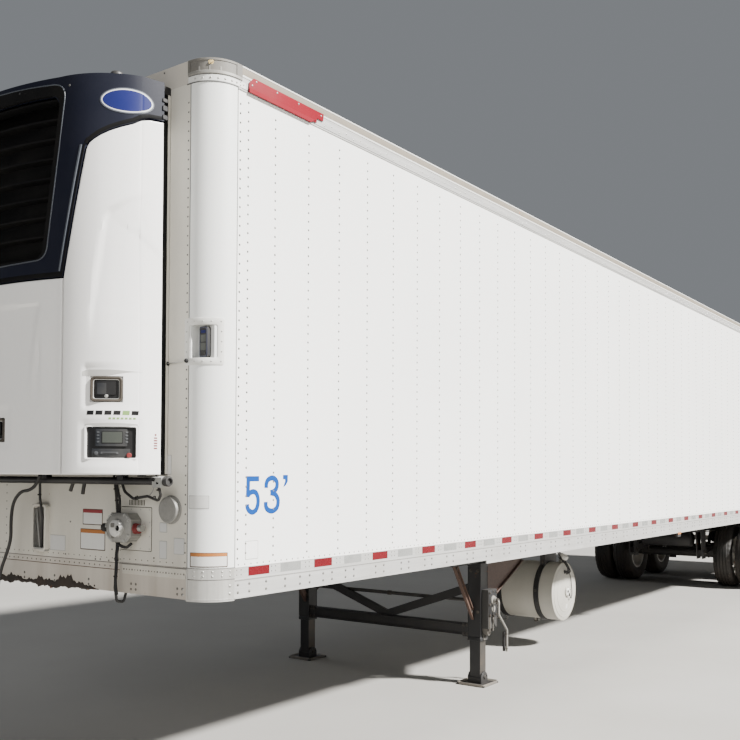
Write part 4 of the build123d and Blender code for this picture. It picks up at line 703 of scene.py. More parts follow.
# dark grey that paints the shadow under the rail's step
painted_step_shadow = paint("rail_step_painted_shadow", (0.17, 0.17, 0.165), 0.6, dirt=0.3)
posts = [0.207, 0.272]
while FIRST_POST + POST_PITCH * (len(posts) - 2) < REAR_FRAME - 0.05:
    posts.append(FIRST_POST + POST_PITCH * (len(posts) - 2))
rows = int((SHEET_HIGH - SHEET_LOW - 0.06) / RIVET_PITCH)
for side, sign in SIDES:
    heads = Forms()
    for index, post in enumerate(posts):
        for row in range(rows):
            level = SHEET_LOW + 0.048 + RIVET_PITCH * (row + (0.5 if index == 1 else 0.0))
            heads.dome(spot((behind(post), sign * SHEET_Y, level), (0, sign, 0)), *POST_HEAD)
    for step in range(int((REAR_FRAME - 0.25) / EDGE_PITCH)):
        place = (behind(0.215 + EDGE_PITCH * step), sign * SHEET_Y, SHEET_LOW + 0.013)
        heads.dome(spot(place, (0, sign, 0)), *EDGE_HEAD)
    heads.make(f"side_rivets_{side}", [rivet_shade_grey], slot="white_sheet")
print("posts a side:", len(posts), "rivets a post:", rows)

# %% [markdown]
# ## Bottom rail: step, rivets and bright tape
# The bottom rail is one aluminium section with a small step under the tape.
# The tape is cut in lengths, red and silver by turns, one to each bay, with
# four rivets at each post. Silver tape is a sheet of tiny prisms, which a cell
# pattern gives, both in its colour and in its bump.

# %% Tape finishes
def tape(name, colour, glow):
    f = Finish(name, metallic=0.1, specular_ior_level=0.25)
    prism = f.cells(420.0).ramp(0.0, 0.55)
    stripe = (f.axis("X") * 900.0).wave() * 0.5 + 0.5
    worn = f.noise(22.0, 5.0, roughness=0.7).ramp(0.5, 0.72)
    body = f.mix(prism * 0.5 + stripe * 0.2, colour, glow)
    f.feed("Base Color", f.mix(worn * 0.4, body, shade(colour, 0.55)))
    f.feed("Roughness", worn * 0.3 + 0.24)
    f.bump(prism, 0.0004, 0.5)
    return f.material


red_tape = tape("red_reflective_tape", (0.1, 0.002, 0.006), (0.15, 0.005, 0.01))
silver_tape = tape("silver_reflective_tape", (0.19, 0.198, 0.19), (0.33, 0.33, 0.32))
print("tapes:", red_tape.name, silver_tape.name)

# %% Bottom rails
TAPE_LEVEL, TAPE_HEIGHT = 1.252, 0.05
bays = [0.377] + [0.652 + POST_PITCH * k for k in range(int((REAR_FRAME - 0.8) / POST_PITCH))]
pairs = [0.207, 0.298, 0.437, 0.601, 0.736, 0.826, 0.957, 1.045, 1.184, 1.272]
pairs += [1.5625 + POST_PITCH * k + step for k in range(47) for step in (-0.047, 0.047)]
for side, sign in SIDES:
    trim, heads = Forms(), Forms()
    for index, bay in enumerate(bays):
        red = index % 2 == 0
        local = spot((behind(bay), sign * (HALF_WIDTH - 0.0002), TAPE_LEVEL), (0, sign, 0))
        trim.plate(local, 0.175 if red else 0.183, TAPE_HEIGHT, 0.0007, 0.001, 0.0002, 0 if red else 1)
    trim.make(f"rail_tape_{side}", [red_tape, silver_tape])
    lip = Forms()
    face = sign * (HALF_WIDTH - 0.001)
    # the third strip, just under the step, paints the step's shadow in dark grey
    for levels, proud, mark in (((1.2105, 1.212, 1.2175, 1.2205), 0.0016, 0),
                                ((1.2775, 1.2785, 1.2808, 1.2815), 0.0016, 0),
                                ((1.2048, 1.2052, 1.2104, 1.2108), 0.0013, 1)):
        profile = list(zip((face, face + sign * proud, face + sign * proud, face), levels))
        lip.section(profile, [behind(0.182), behind(REAR_FRAME)], mark)
    lip.make(f"rail_lips_{side}", [rail_metal, painted_step_shadow], slot="rail_aluminium")
    for post in posts[2:] + [0.215]:
        for step in (-0.017, 0.017):
            for level in (1.2395, 1.2655):
                heads.dome(spot((behind(post + step), sign * HALF_WIDTH, level), (0, sign, 0)), 0.0046, 0.002)
    for place in pairs:
        for level in (1.143, 1.185):
            if place < REAR_FRAME - 0.05:
                heads.dome(spot((behind(place), sign * HALF_WIDTH, level), (0, sign, 0)), 0.0088, 0.0046, 8)
    heads.make(f"rail_rivets_{side}", [rail_rivet_shade], slot="rail_aluminium")

# %% [markdown]
# ## The cooling unit's skin
# The unit's doors are moulded sheets, bent round the unit's plan in one sweep,
# with soft creases that stiffen them and hollows for the latch and the
# display. The plan is measured once as a line from the middle of the front
# round to the nose, and everything on the skin is placed by how far it lies
# along that line and how high.

# %% Plan of the unit
def arc_through(a, b, c, steps):
    (x1, y1), (x2, y2), (x3, y3) = a, b, c
    d = 2 * (x1 * (y2 - y3) + x2 * (y3 - y1) + x3 * (y1 - y2))
    squares = [x1 * x1 + y1 * y1, x2 * x2 + y2 * y2, x3 * x3 + y3 * y3]
    cx = (squares[0] * (y2 - y3) + squares[1] * (y3 - y1) + squares[2] * (y1 - y2)) / d
    cy = (squares[0] * (x3 - x2) + squares[1] * (x1 - x3) + squares[2] * (x2 - x1)) / d
    radius = math.hypot(x1 - cx, y1 - cy)
    first, last = math.atan2(y1 - cy, x1 - cx), math.atan2(y3 - cy, x3 - cx)
    return [(cx + radius * math.cos(first + (last - first) * i / steps),
             cy + radius * math.sin(first + (last - first) * i / steps)) for i in range(steps + 1)]


UNIT_LOW, UNIT_TOP = 1.786, 3.944
SKIN_LOW, SKIN_HIGH = 1.79, 3.9
half_front = arc_through((0.452, -0.576), (0.535, 0.0), (0.452, 0.576), 80)[40:]
corner_bend = arc_through((0.452, 0.576), (0.352, 0.812), (0.2, 0.95), 60)
plan = half_front + corner_bend[1:] + [(0.2 - 0.125 * i / 8, 0.95 + 0.035 * i / 8) for i in range(1, 9)]
along = [0.0]
for a, b in zip(plan, plan[1:]):
    along.append(along[-1] + math.dist(a, b))
print("half plan of the unit:", round(along[-1], 3), "m")


# %% Places on the unit's skin
def between(table, keys, key):
    """The value at key in a rising table, straight between its entries."""
    for i in range(len(keys) - 1):
        if key <= keys[i + 1] or i == len(keys) - 2:
            share = (key - keys[i]) / (keys[i + 1] - keys[i])
            low, high = table[i], table[i + 1]
            if isinstance(low, tuple):
                return tuple(p + (q - p) * share for p, q in zip(low, high))
            return low + (high - low) * share


def along_at_y(y):
    return between(along, [p[1] for p in plan], y)


def on_unit(distance, level, out=0.0):
    """Point and outward direction on the skin; a negative distance is on the right half."""
    mirrored = -1.0 if distance < 0 else 1.0
    distance = abs(distance)
    d, y = between(plan, along, distance)
    d1, y1 = between(plan, along, max(distance - 0.006, 0.0))
    d2, y2 = between(plan, along, min(distance + 0.006, along[-1]))
    run = Vector((d2 - d1, y2 - y1)).normalized()
    normal = Vector((run.y, -run.x))
    if distance < 1e-6:
        normal = Vector((1.0, 0.0))
    place = Vector((ahead(d) + normal.x * out, mirrored * (y + normal.y * out), level))
    return place, Vector((normal.x, mirrored * normal.y, 0.0))


# %% [markdown]
# ## Relief of the doors
# The skins aren't plain: a long crease stiffens each side door, another frames
# the front one, and shallow hollows hold the latch and the display. One
# function a door says how deep the skin lies at a place, as a smooth step from
# the crease's line, so that the same number shapes mesh and trim alike.

# %% Relief of the doors
def smooth(low, high, value):
    share = min(max((value - low) / (high - low), 0.0), 1.0)
    return share * share * (3 - 2 * share)


def distance_to(line, point):
    """Distance to a line of points, which side the point is on, and how far along."""
    best = (1e9, 1.0, 0.0)
    lengths = [math.dist(a, b) for a, b in zip(line, line[1:])]
    total, done = sum(lengths), 0.0
    for (ax, ay), (bx, by), length in zip(line, line[1:], lengths):
        ux, uy = (bx - ax) / length, (by - ay) / length
        t = min(max((point[0] - ax) * ux + (point[1] - ay) * uy, 0.0), length)
        gap = math.hypot(point[0] - ax - ux * t, point[1] - ay - uy * t)
        if gap < best[0]:
            side = (point[0] - ax) * uy - (point[1] - ay) * ux
            best = (gap, 1.0 if side > 0 else -1.0, (done + t) / total)
        done += length
    return best


# %% Side doors
SIDE_CREASE = [(along_at_y(y), z) for y, z in ((0.759, 2.44), (0.762, 2.671), (0.783, 2.86), (0.806, 3.041),
                                               (0.819, 3.15), (0.834, 3.205), (0.865, 3.232), (0.9, 3.262),
                                               (0.935, 3.29), (0.962, 3.312), (0.975, 3.325))]
LATCH = (along_at_y(0.838), 2.243, 0.176, 0.138)
DISPLAY = (along_at_y(0.858), 1.959, 0.272, 0.172)


def scoop(s, z, centre_s, centre_z, width, height, depth, taper):
    """A shallow hollow round a fitting, deepest at its front and fading rearwards."""
    dx = max(abs(s - centre_s) - width / 2, 0.0)
    dz = max(abs(z - centre_z) - height / 2, 0.0)
    inside = 1.0 - smooth(0.0, 0.02, math.hypot(dx, dz))
    return depth * inside * (1.0 - taper * smooth(-width / 2, width / 2, s - centre_s))


def side_relief(s, z):
    gap, side, share = distance_to(SIDE_CREASE, (s, z))
    fade = smooth(0.0, 0.45, share) * (1.0 - smooth(0.68, 1.0, share))
    crease = 0.0125 * fade * smooth(-0.003, 0.021, gap) * (1 - smooth(0.1, 0.42, gap)) if side > 0 else 0.0
    s1, z1, w1, h1 = LATCH
    s2, z2, w2, h2 = DISPLAY
    hollow = scoop(s, z, s1 + 0.02, z1 + 0.012, w1 + 0.085, h1 + 0.066, 0.009, 0.9)
    lower = scoop(s, z, s2, z2, w2 + 0.03, h2 + 0.034, 0.005, 0.25)
    return crease + hollow + lower


# %% Front door
FRONT_CREASE = [(0.625, 2.715), (0.5, 2.712), (0.47, 2.69), (0.455, 2.62), (0.43, 2.45), (0.415, 2.28),
                (0.41, 2.1)]


def front_relief(s, z):
    gap, side, share = distance_to([(-a, b) for a, b in FRONT_CREASE], (-abs(s), z))
    inside = abs(s) < 0.47 and z < 2.715
    fade = 1.0 - smooth(0.45, 1.0, share)
    crease = 0.01 * fade * smooth(0.0, 0.035, gap) * (1 - smooth(0.15, 0.5, gap)) if inside else 0.0
    return crease + scoop(s, z, 0.122, 2.046, 0.24, 0.2, 0.008, 0.5)


# %% [markdown]
# ## Skins of the unit's doors
# A door skin is a grid of points laid over its outline. The grid lines crowd
# at the edges, so that the edge can be rounded, and at each hollow, so that
# its wall stands straight. The same grid, sunk by the skin's thickness, closes
# the door at the back.

# %% Door skins
GRID_STEP, SKIN_THICKNESS, POCKET_DEPTH, EDGE_RADIUS, SHARP_ANGLE = 0.016, 0.03, 0.018, 0.008, 32.0


def grid_lines(low, high, extra):
    edge = [0.0, 0.002, 0.0045, 0.008, 0.013]
    lines = [low + e for e in edge] + [high - e for e in edge]
    for a, b in extra:
        lines += [a - 0.0035, a - 0.0012, a, b, b + 0.0012, b + 0.0035]
    lines = sorted(lines)
    filled = []
    for a, b in zip(lines, lines[1:]):
        parts = max(1, round((b - a) / GRID_STEP))
        filled += [a + (b - a) * i / parts for i in range(parts)]
    return filled + [lines[-1]]


def door_skin(name, body, node, start, end, top, relief, pockets, straight=2.45, mirrored=1.0):
    """start(level) and end are places along the plan; top(place) is the door's upper edge."""
    low, nominal = UNIT_LOW, max(top(start(9.0)), top(end))
    columns = grid_lines(start(low), end, [(s - w / 2, s + w / 2) for s, z, w, h in pockets])
    levels = grid_lines(low, nominal, [(z - h / 2, z + h / 2) for s, z, w, h in pockets])
    outer, inner = [], []
    for level in levels:
        row_out, row_in = [], []
        for column in columns:
            share = (column - columns[0]) / (columns[-1] - columns[0])
            real = level
            if level > straight:
                edge = straight + (level - straight) * (top(start(9.0)) - straight) / (nominal - straight)
                first = start(edge)
            else:
                first = start(level)
            s = first + share * (columns[-1] - first)
            if level > straight:
                real = straight + (level - straight) * (top(s) - straight) / (nominal - straight)
            gap = min(s - first, columns[-1] - s, real - low, top(s) - real)
            curl = EDGE_RADIUS - math.sqrt(max(EDGE_RADIUS ** 2 - max(EDGE_RADIUS - gap, 0.0) ** 2, 0.0))
            sunk = relief(s, real) + curl
            for ps, pz, w, h in pockets:
                if abs(s - ps) < w / 2 + 1e-6 and abs(real - pz) < h / 2 + 1e-6:
                    sunk = max(POCKET_DEPTH, sunk)
            row_out.append(on_unit(s * mirrored, real, -sunk)[0])
            row_in.append(on_unit(s * mirrored, real, -SKIN_THICKNESS)[0])
        outer.append(row_out)
        inner.append(row_in)
    skin = Forms()
    skin.rings(outer, 0, False, OPEN)
    skin.rings(inner, 0, False, OPEN)
    for a, b in ((outer[0], inner[0]), (outer[-1], inner[-1]), ([r[0] for r in outer], [r[0] for r in inner]),
                 ([r[-1] for r in outer], [r[-1] for r in inner])):
        skin.rings([a, b], 0, False, OPEN)
    made = skin.make(name, [door_skin_white], body, SHARP_ANGLE, "white_plastic")
    weld = bmesh.new()
    weld.from_mesh(made.data)
    bmesh.ops.remove_doubles(weld, verts=weld.verts, dist=5e-05)
    bmesh.ops.recalc_face_normals(weld, faces=weld.faces)
    weld.to_mesh(made.data)
    weld.free()
    made.data.set_sharp_from_angle(angle=math.radians(SHARP_ANGLE))
    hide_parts(node)
    return made


# %% Edges of the doors
FRONT_TOP = 2.846
SIDE_TOP = [(0.74, 3.536), (0.745, 3.556), (0.756, 3.572), (0.771, 3.5855), (0.8, 3.6075), (0.842, 3.6335),
            (0.885, 3.6565), (0.925, 3.6785), (0.946, 3.7), (0.962, 3.716), (0.985, 3.722)]
top_places = [along_at_y(y) for y, z in SIDE_TOP]
top_levels = [z for y, z in SIDE_TOP]


def side_top(place):
    return between(top_levels, top_places, max(place, top_places[0]))


def side_start(level):
    if level < FRONT_TOP:
        return along_at_y(0.614)
    return along_at_y(0.614 + (0.74 - 0.614) * min((level - FRONT_TOP) / (3.556 - FRONT_TOP), 1.0))


# %% The three skins
rear_edge = along[-1]
door_skin("unit_door_skin_left", "unit_side_door_left", "unit_door_left", side_start, rear_edge, side_top,
          side_relief, [LATCH, DISPLAY])
door_skin("unit_door_skin_right", "unit_side_door_right", "unit_door_right", side_start, rear_edge, side_top,
          lambda s, z: side_relief(s, z) if z > 2.4 else scoop(s, z, LATCH[0], LATCH[1], 0.26, 0.2, 0.009, 0.9),
          [], mirrored=-1.0)
front_edge = along_at_y(0.606)
door_skin("unit_door_skin_front", "unit_front_door", "unit_door_front", lambda level: -front_edge, front_edge,
          lambda place: FRONT_TOP, front_relief, [(along_at_y(0.12), 2.0325, 0.18, 0.135)], straight=9.0)

# %% [markdown]
# ## Lips, badges and caps of the shroud
# A moulded shroud ends in small turned-up lips, and a lighter navy on them paints
# the thin line of light that they catch. Bevelled edges would give them one width
# everywhere, so they are ridges swept along the grille opening and the side doors.
# Each upper corner carries a plain blue oval with a light rim, bent with the skin.

# %% Skin and ridges
def skin(s, z):
    """A surface for the forms kit: x along the unit, y up and h out of its skin."""
    return lambda x, y, h: on_unit(s + x, z + y, h)[0]


def ridge(form, line, width, height, closed=False):
    """A low ridge along places (distance, level) on the unit."""
    rings = []
    count_points = len(line)
    for i, (s, z) in enumerate(line):
        before = line[(i - 1) % count_points] if closed or i else line[0]
        after = line[(i + 1) % count_points] if closed or i < count_points - 1 else line[-1]
        run = Vector((after[0] - before[0], after[1] - before[1])).normalized()
        nx, ny = -run.y * width / 2, run.x * width / 2
        rings.append([on_unit(s + nx * k, z + ny * k, up)[0]
                      for k, up in ((1, 0), (0.55, height), (-0.55, height), (-1, 0))])
    if closed:
        rings.append(rings[0])
    form.rings(rings, 0, True, (not closed, not closed))


# %% Shroud lips and seals
badge_rim = moulded("badge_rim_silver", (0.62, 0.63, 0.66), 0.3)
badge_blue = moulded("badge_blue", (0.005, 0.009, 0.095), 0.45, dust=0.02, shine=0.2, fold=True)
paddle_black = moulded("paddle_black", (0.004, 0.004, 0.005), 0.34, dust=0.04, coat=0.05, shine=0.3)


def bowed_loop(top_half, bottom_half, top, bottom, bow_top, bow_bottom, radius):
    """The grille's outline with rounded corners; its top and bottom edges bow outwards."""
    corners = [(-top_half, top), (top_half, top), (bottom_half, bottom), (-bottom_half, bottom)]
    line = []
    for i, corner in enumerate(corners):
        here = Vector(corner)
        a, b = ((Vector(corners[(i + step) % 4]) - here).normalized() for step in (-1, 1))
        cut = radius / math.tan(a.angle(b) / 2)
        start, end = here + a * cut, here + b * cut
        line += [start * (1 - k / 7) ** 2 + here * 2 * k / 7 * (1 - k / 7) + end * (k / 7) ** 2
                 for k in range(8)]
        follower = Vector(corners[(i + 1) % 4]) - b * cut
        line += [end.lerp(follower, k / 14) for k in range(1, 14)]
    middle = (top + bottom) / 2

    def bow(p):
        reach = bow_top if p.y > middle else -bow_bottom
        return reach * max(1 - (p.x / 0.6) ** 2, 0.0) * abs(p.y - middle) / (top - middle)
    return [(p.x, p.y + bow(p)) for p in line]


def placed(line, out=0.0):
    return [on_unit(math.copysign(along_at_y(abs(y)), y), z, out)[0] for y, z in line]


rim = bowed_loop(0.622, 0.497, 3.902, 2.962, 0.018, 0.018, 0.078)
opening = bowed_loop(0.5835, 0.4685, 3.8485, 2.9615, 0.0, 0.0, 0.068)
surround = Forms()
surround.rings([placed(opening, -0.018), placed(opening, 0.0008), placed(rim, 0.0015), placed(rim, -0.001)], 0,
               True, OPEN)
surround.make("grille_surround", [black_louvre_and_shade], slot="navy_plastic")
lips = Forms()
ridge(lips, [(math.copysign(along_at_y(abs(y)), y), z) for y, z in rim], 0.008, 0.003, closed=True)
for sign in (1, -1):
    edge = [(0.603 + (0.726 - 0.603) * i / 12, 2.884 + (3.56 - 2.884) * i / 12) for i in range(13)]
    ridge(lips, [(sign * (along_at_y(y) - 0.018), z) for y, z in edge], 0.014, 0.0035)
lips.make("shroud_lips", [navy_edge_highlight], slot="navy_plastic")
# %% Painted gap shadows
# black strips along the doors' edges and beside the nose paint the shadow in the gap between the doors and the
# shroud;
# a strip in the nose sheet's finish lies beside them
gap_shadows = Forms()
for sign in (1, -1):
    slant = [(0.606 + (0.732 - 0.606) * i / 12, 2.858 + (3.56 - 2.858) * i / 12) for i in range(13)]
    ridge(gap_shadows, [(sign * (along_at_y(y) - 0.005), z) for y, z in slant], 0.011, 0.0008)
    upper = [(y, z + 0.0215) for y, z in SIDE_TOP[2:]]
    upper = [(0.734, 3.566), (0.742, 3.584)] + upper
    fine_line = [(a[0] + (b[0] - a[0]) * t / 6, a[1] + (b[1] - a[1]) * t / 6) for a, b in zip(upper, upper[1:])
                 for t in range(6)]
    ridge(gap_shadows, [(sign * along_at_y(y), z) for y, z in fine_line], 0.021, 0.0016)
ridge(gap_shadows, [(-along_at_y(0.603) + 2 * along_at_y(0.603) * i / 40, 2.868) for i in range(41)], 0.026, 0.0008)
for sign in (1, -1):
    for place, wide, mark in ((0.0335, 0.022, 0), (0.0115, 0.018, 1)):
        local = spot((ahead(place), sign * 0.955, (SKIN_LOW + SKIN_HIGH) / 2), (0, sign, 0))
        gap_shadows.plate(local, wide, SKIN_HIGH - SKIN_LOW, 0.0016, 0.001, 0.0006, mark)
gap_shadows.make("shroud_gap_shadow_strips", [black_louvre_and_shade, nose_sheet], slot="black_rubber")

# %% Badges, caps and clips
badge = Forms()
for sign in (1, -1):
    centre = sign * along_at_y(0.906)
    badge.oval(skin(centre, 3.8), 0.292, 0.142, 0.0018, 2)
    badge.oval(skin(centre, 3.8), 0.276, 0.128, 0.0028, 0)
    badge.oval(skin(centre, 3.8), 0.262, 0.114, 0.0036, 1)
badge.make("unit_badges", [badge_rim, badge_blue, navy_edge_highlight], slot="white_plastic")

cap = Forms()
for sign in (1, -1):
    place = on_unit(sign * along_at_y(0.864), UNIT_TOP - 0.002, -0.035)[0]
    cap.turned(spot(place, (0, 0, 1), (1, 0, 0)),
               [(0.036, 0.0), (0.036, 0.01), (0.031, 0.019), (0.018, 0.024), (0.002, 0.025)], 20)
    for level, height in ((3.846, 0.022), (3.802, 0.03), (3.752, 0.026)):
        local = spot((ahead(0.07), sign * 0.982, level), (0, sign, 0))
        cap.plate(local, 0.034, height, 0.008, 0.006, 0.002)
for y, z in ((0.64, 3.888), (-0.64, 3.888), (0.0, 3.898), (0.3, 3.898), (-0.3, 3.898)):
    place, normal = on_unit(math.copysign(along_at_y(abs(y)), y or 1.0), z, 0.0)
    cap.dome(spot(place, normal), 0.007, 0.004, 10)
cap.make("shroud_caps_and_clips", [black_plastic], slot="black_plastic")

# %% [markdown]
# ## Latches and display on the unit's doors
# A paddle latch is a bezel set in the hollow, with a paddle that tips in at
# its foot. The display is a black face in a moulded surround, with a grey
# housing, a glass window, keys at both sides and a row of controls below. All
# of it turns with its door, so each piece rides on that door.

# %% Finishes of latches and display
bezel_grey = moulded("bezel_brown_grey", (0.048, 0.039, 0.031), 0.42, shine=0.3)
screen_grey = moulded("display_housing_grey", (0.012, 0.014, 0.018), 0.45, shine=0.25)
lcd_glass = moulded("display_window", (0.048, 0.053, 0.046), 0.25, dust=0.02, coat=0.1, shine=0.3)
key_grey = moulded("key_grey", (0.052, 0.056, 0.062), 0.45, shine=0.3)
signal_red = moulded("signal_red", (0.15, 0.005, 0.008), 0.42, shine=0.3)
label_white = moulded("label_white", (0.7, 0.7, 0.68), 0.5)
mark_green = moulded("mark_green", (0.17, 0.3, 0.075), 0.5)
# grey that paints the shade in the door's hollows
painted_hollow_shade = moulded("painted_hollow_shade_grey", (0.4, 0.395, 0.375), 0.5)
print("finishes so far:", len(bpy.data.materials))


# %% Paddle latches
def paddle_latch(name, body, s, z, width, height):
    latch = Forms()
    surface = skin(s, z)
    whole, hole = (width - 0.005, height - 0.005), (width - 0.04, height - 0.036)
    layers = [(rounded(*whole, 0.02, 5), -0.018), (rounded(*whole, 0.02, 5), -0.003),
              (rounded(whole[0] - 0.008, whole[1] - 0.008, 0.017, 5), 0.001),
              (rounded(hole[0] + 0.012, hole[1] + 0.012, 0.016, 5), -0.001), (rounded(*hole, 0.011, 5), -0.007),
              (rounded(*hole, 0.011, 5), -0.018)]
    latch.stack(surface, layers, 0, OPEN)
    latch.stack(surface, [(rounded(hole[0] + 0.005, hole[1] + 0.005, 0.013, 5), -0.0075),
                          (rounded(hole[0] + 0.003, hole[1] + 0.003, 0.012, 5), -0.0045),
                          (rounded(hole[0] - 0.002, hole[1] - 0.002, 0.01, 5), -0.0062)], 3, OPEN)
    latch.slab(surface, hole[0] + 0.004, hole[1] + 0.004, 0.003, 0.01, 1, -0.0178)
    middle = lambda x, y, h: surface(x - 0.004, y + 0.006,
                                     h + 0.1 * min(y + hole[1] / 2, 0.0) - 0.03 * max(y, 0.0))
    latch.slab(middle, hole[0] * 0.8, hole[1] * 0.74, 0.0075, 0.008, 1, -0.0148, 0.002)
    latch.slab(lambda x, y, h: surface(x - hole[0] * 0.18, y + 0.002, h), hole[0] * 0.36, hole[1] * 0.6, 0.0016,
               0.006, 2, -0.0074)
    latch.turned(spot(*on_unit(s, z - hole[1] * 0.36, -0.0125)),
                 [(0.01, 0.0), (0.01, 0.005), (0.007, 0.0065), (0.001, 0.0065)], 16, 4)
    latch.make(name, [bezel_grey, paddle_black, screen_grey, bright_metal, zinc_metal], body,
               slot="black_plastic")


paddle_latch("side_door_latch_left", "unit_side_door_left", *LATCH)
paddle_latch("front_door_latch", "unit_front_door", along_at_y(0.12), 2.0325, 0.18, 0.135)

# %% Display
face = Forms()
s0, z0, w0, h0 = DISPLAY
surface = skin(s0, z0)
face.stack(surface, [(rounded(w0 + 0.01, h0 + 0.01, 0.012), -0.003),
                     (rounded(w0 + 0.008, h0 + 0.008, 0.012), 0.0012),
                     (rounded(w0 - 0.006, h0 - 0.006, 0.008), 0.0),
                     (rounded(w0 - 0.006, h0 - 0.006, 0.008), -0.017)], 0, OPEN)
face.slab(surface, w0 - 0.004, h0 - 0.004, 0.002, 0.008, 1, -0.0178)


def at_y(y, z):
    return skin(along_at_y(y), z)


face.slab(at_y(0.86, 1.984), 0.168, 0.092, 0.01, 0.006, 2, -0.016)
face.slab(at_y(0.8635, 1.986), 0.112, 0.066, 0.0015, 0.004, 1, -0.0062)
face.slab(at_y(0.8635, 1.986), 0.104, 0.058, 0.0012, 0.003, 3, -0.005)
for y in (0.806, 0.9145):
    for row in range(4):
        face.slab(at_y(y, 1.962 + 0.017 * row), 0.013, 0.009, 0.0022, 0.002, 4, -0.0062, 0.0006, 2)
face.slab(at_y(0.858, 1.903), 0.205, 0.044, 0.006, 0.004, 2, -0.016)
face.slab(at_y(0.853, 1.902), 0.092, 0.012, 0.004, 0.003, 4, -0.0102)
face.slab(at_y(0.853, 1.902), 0.072, 0.004, 0.002, 0.001, 1, -0.0065)
face.turned(spot(*on_unit(along_at_y(0.797), 1.902, -0.01)),
            [(0.01, 0.0), (0.01, 0.004), (0.006, 0.005), (0.001, 0.005)], 16, 4)
face.turned(spot(*on_unit(along_at_y(0.922), 1.89, -0.012)),
            [(0.014, 0.0), (0.014, 0.009), (0.011, 0.012), (0.001, 0.012)], 20, 5)
face.slab(at_y(0.949, 1.909), 0.012, 0.046, 0.0008, 0.001, 6, -0.0158, 0.0003, 2)
face.make("unit_display", [door_skin_white, paddle_black, screen_grey, lcd_glass, key_grey, signal_red,
                           label_white], "unit_side_door_left", slot="black_plastic")

# %% Marks on the side door
marks = Forms()
side_sunk = lambda y, z: (lambda x, dy, h: on_unit(along_at_y(y) + x + 0.12 * dy, z + dy,
                                                    h - side_relief(along_at_y(y) + x, z + dy))[0])
for bar in range(6):
    start = -0.133 + 0.047 * bar
    marks.patch(side_sunk(0.862, 2.117), [start + 0.0365 * i / 3 for i in range(4)], lambda x: -0.0115,
                lambda x: 0.0115, 0.0006, 0.0002, 1 if bar == 4 else 0, 0.0002)
for bar in range(7):
    start = -0.07 + 0.0212 * bar
    marks.patch(side_sunk(0.898, 2.087), [start, start + 0.0135], lambda x: -0.005, lambda x: 0.005, 0.0006,
                0.0002, 1, 0.0002)
# grey patches paint the shade under the moulded lips over the latch and round the display
latch_s, latch_z, _, latch_tall = LATCH
over = lambda x, dy, h: on_unit(latch_s + x, latch_z + latch_tall / 2 + dy,
                                h - side_relief(latch_s + x, latch_z + latch_tall / 2 + dy))[0]
brow = lambda x: 0.036 - 0.01 * smooth(0.0, 0.2, x) - 0.01 * (1 - smooth(-0.128, -0.105, x))
marks.patch(over, [-0.128 + 0.016 * i for i in range(21)],
            lambda x: 0.001 + (brow(x) - 0.0015) * smooth(-0.03, 0.19, x), brow, 0.0006, 0.0002, 3, 0.0002)
around = lambda x, dy, h: on_unit(s0 + x, z0 + dy, h - side_relief(s0 + x, z0 + dy))[0]
marks.patch(around, [-0.14 + 0.02 * i for i in range(15)], lambda x: h0 / 2 + 0.004,
            lambda x: h0 / 2 + 0.019 - 0.35 * x * x, 0.0006, 0.0002, 3, 0.0002)
marks.patch(around, [0.134, 0.144], lambda x: -h0 / 2 + 0.01, lambda x: h0 / 2 + 0.004, 0.0006, 0.0002, 3,
            0.0002)
for row in range(5):
    marks.plate(spot(*on_unit(along_at_y(0.976), 1.93 + 0.014 * row, 0.0002)), 0.02 - 0.002 * (row == 4),
                0.0075, 0.0006, 0.001, 0.0002, 2)
marks.plate(spot(*on_unit(along_at_y(0.976), 2.003, 0.0002)), 0.01, 0.01, 0.0006, 0.001, 0.0002, 2)
marks.make("side_door_marks", [paddle_black, mark_green, signal_red, painted_hollow_shade], "unit_side_door_left",
           slot="black_plastic")

# %% Chip on the front door
chip = Forms()
chipped = [(0.0, 0.0), (0.004, 0.014), (0.001, 0.02), (0.009, 0.034), (0.004, 0.046), (0.013, 0.06),
           (0.008, 0.078), (0.012, 0.094), (0.005, 0.112), (0.0015, 0.132)]
edge_s = front_edge - 0.0008
rings = []
for wide, level in chipped:
    broken = on_unit(edge_s - wide, 1.787 + level, -0.0074 + min(wide, 0.006))[0]
    whole = on_unit(edge_s, 1.787 + level, -0.0078)[0]
    rings.append([broken + Vector((0.0006, 0.0003, 0.0)), whole + Vector((0.0006, 0.0006, 0.0))])
chip.rings(rings, 0, False, OPEN)
chip.make("front_door_chip", [black_louvre_and_shade], "unit_front_door", slot="black_plastic")

# %% [markdown]
# ## Base tube of the unit
# The tube that carries the unit ends in a clamp and a ring at each side, and
# two short stubs of rubber hose stick out below it. The rings are profiles
# turned about the tube's own line, and a stub needs only three points.

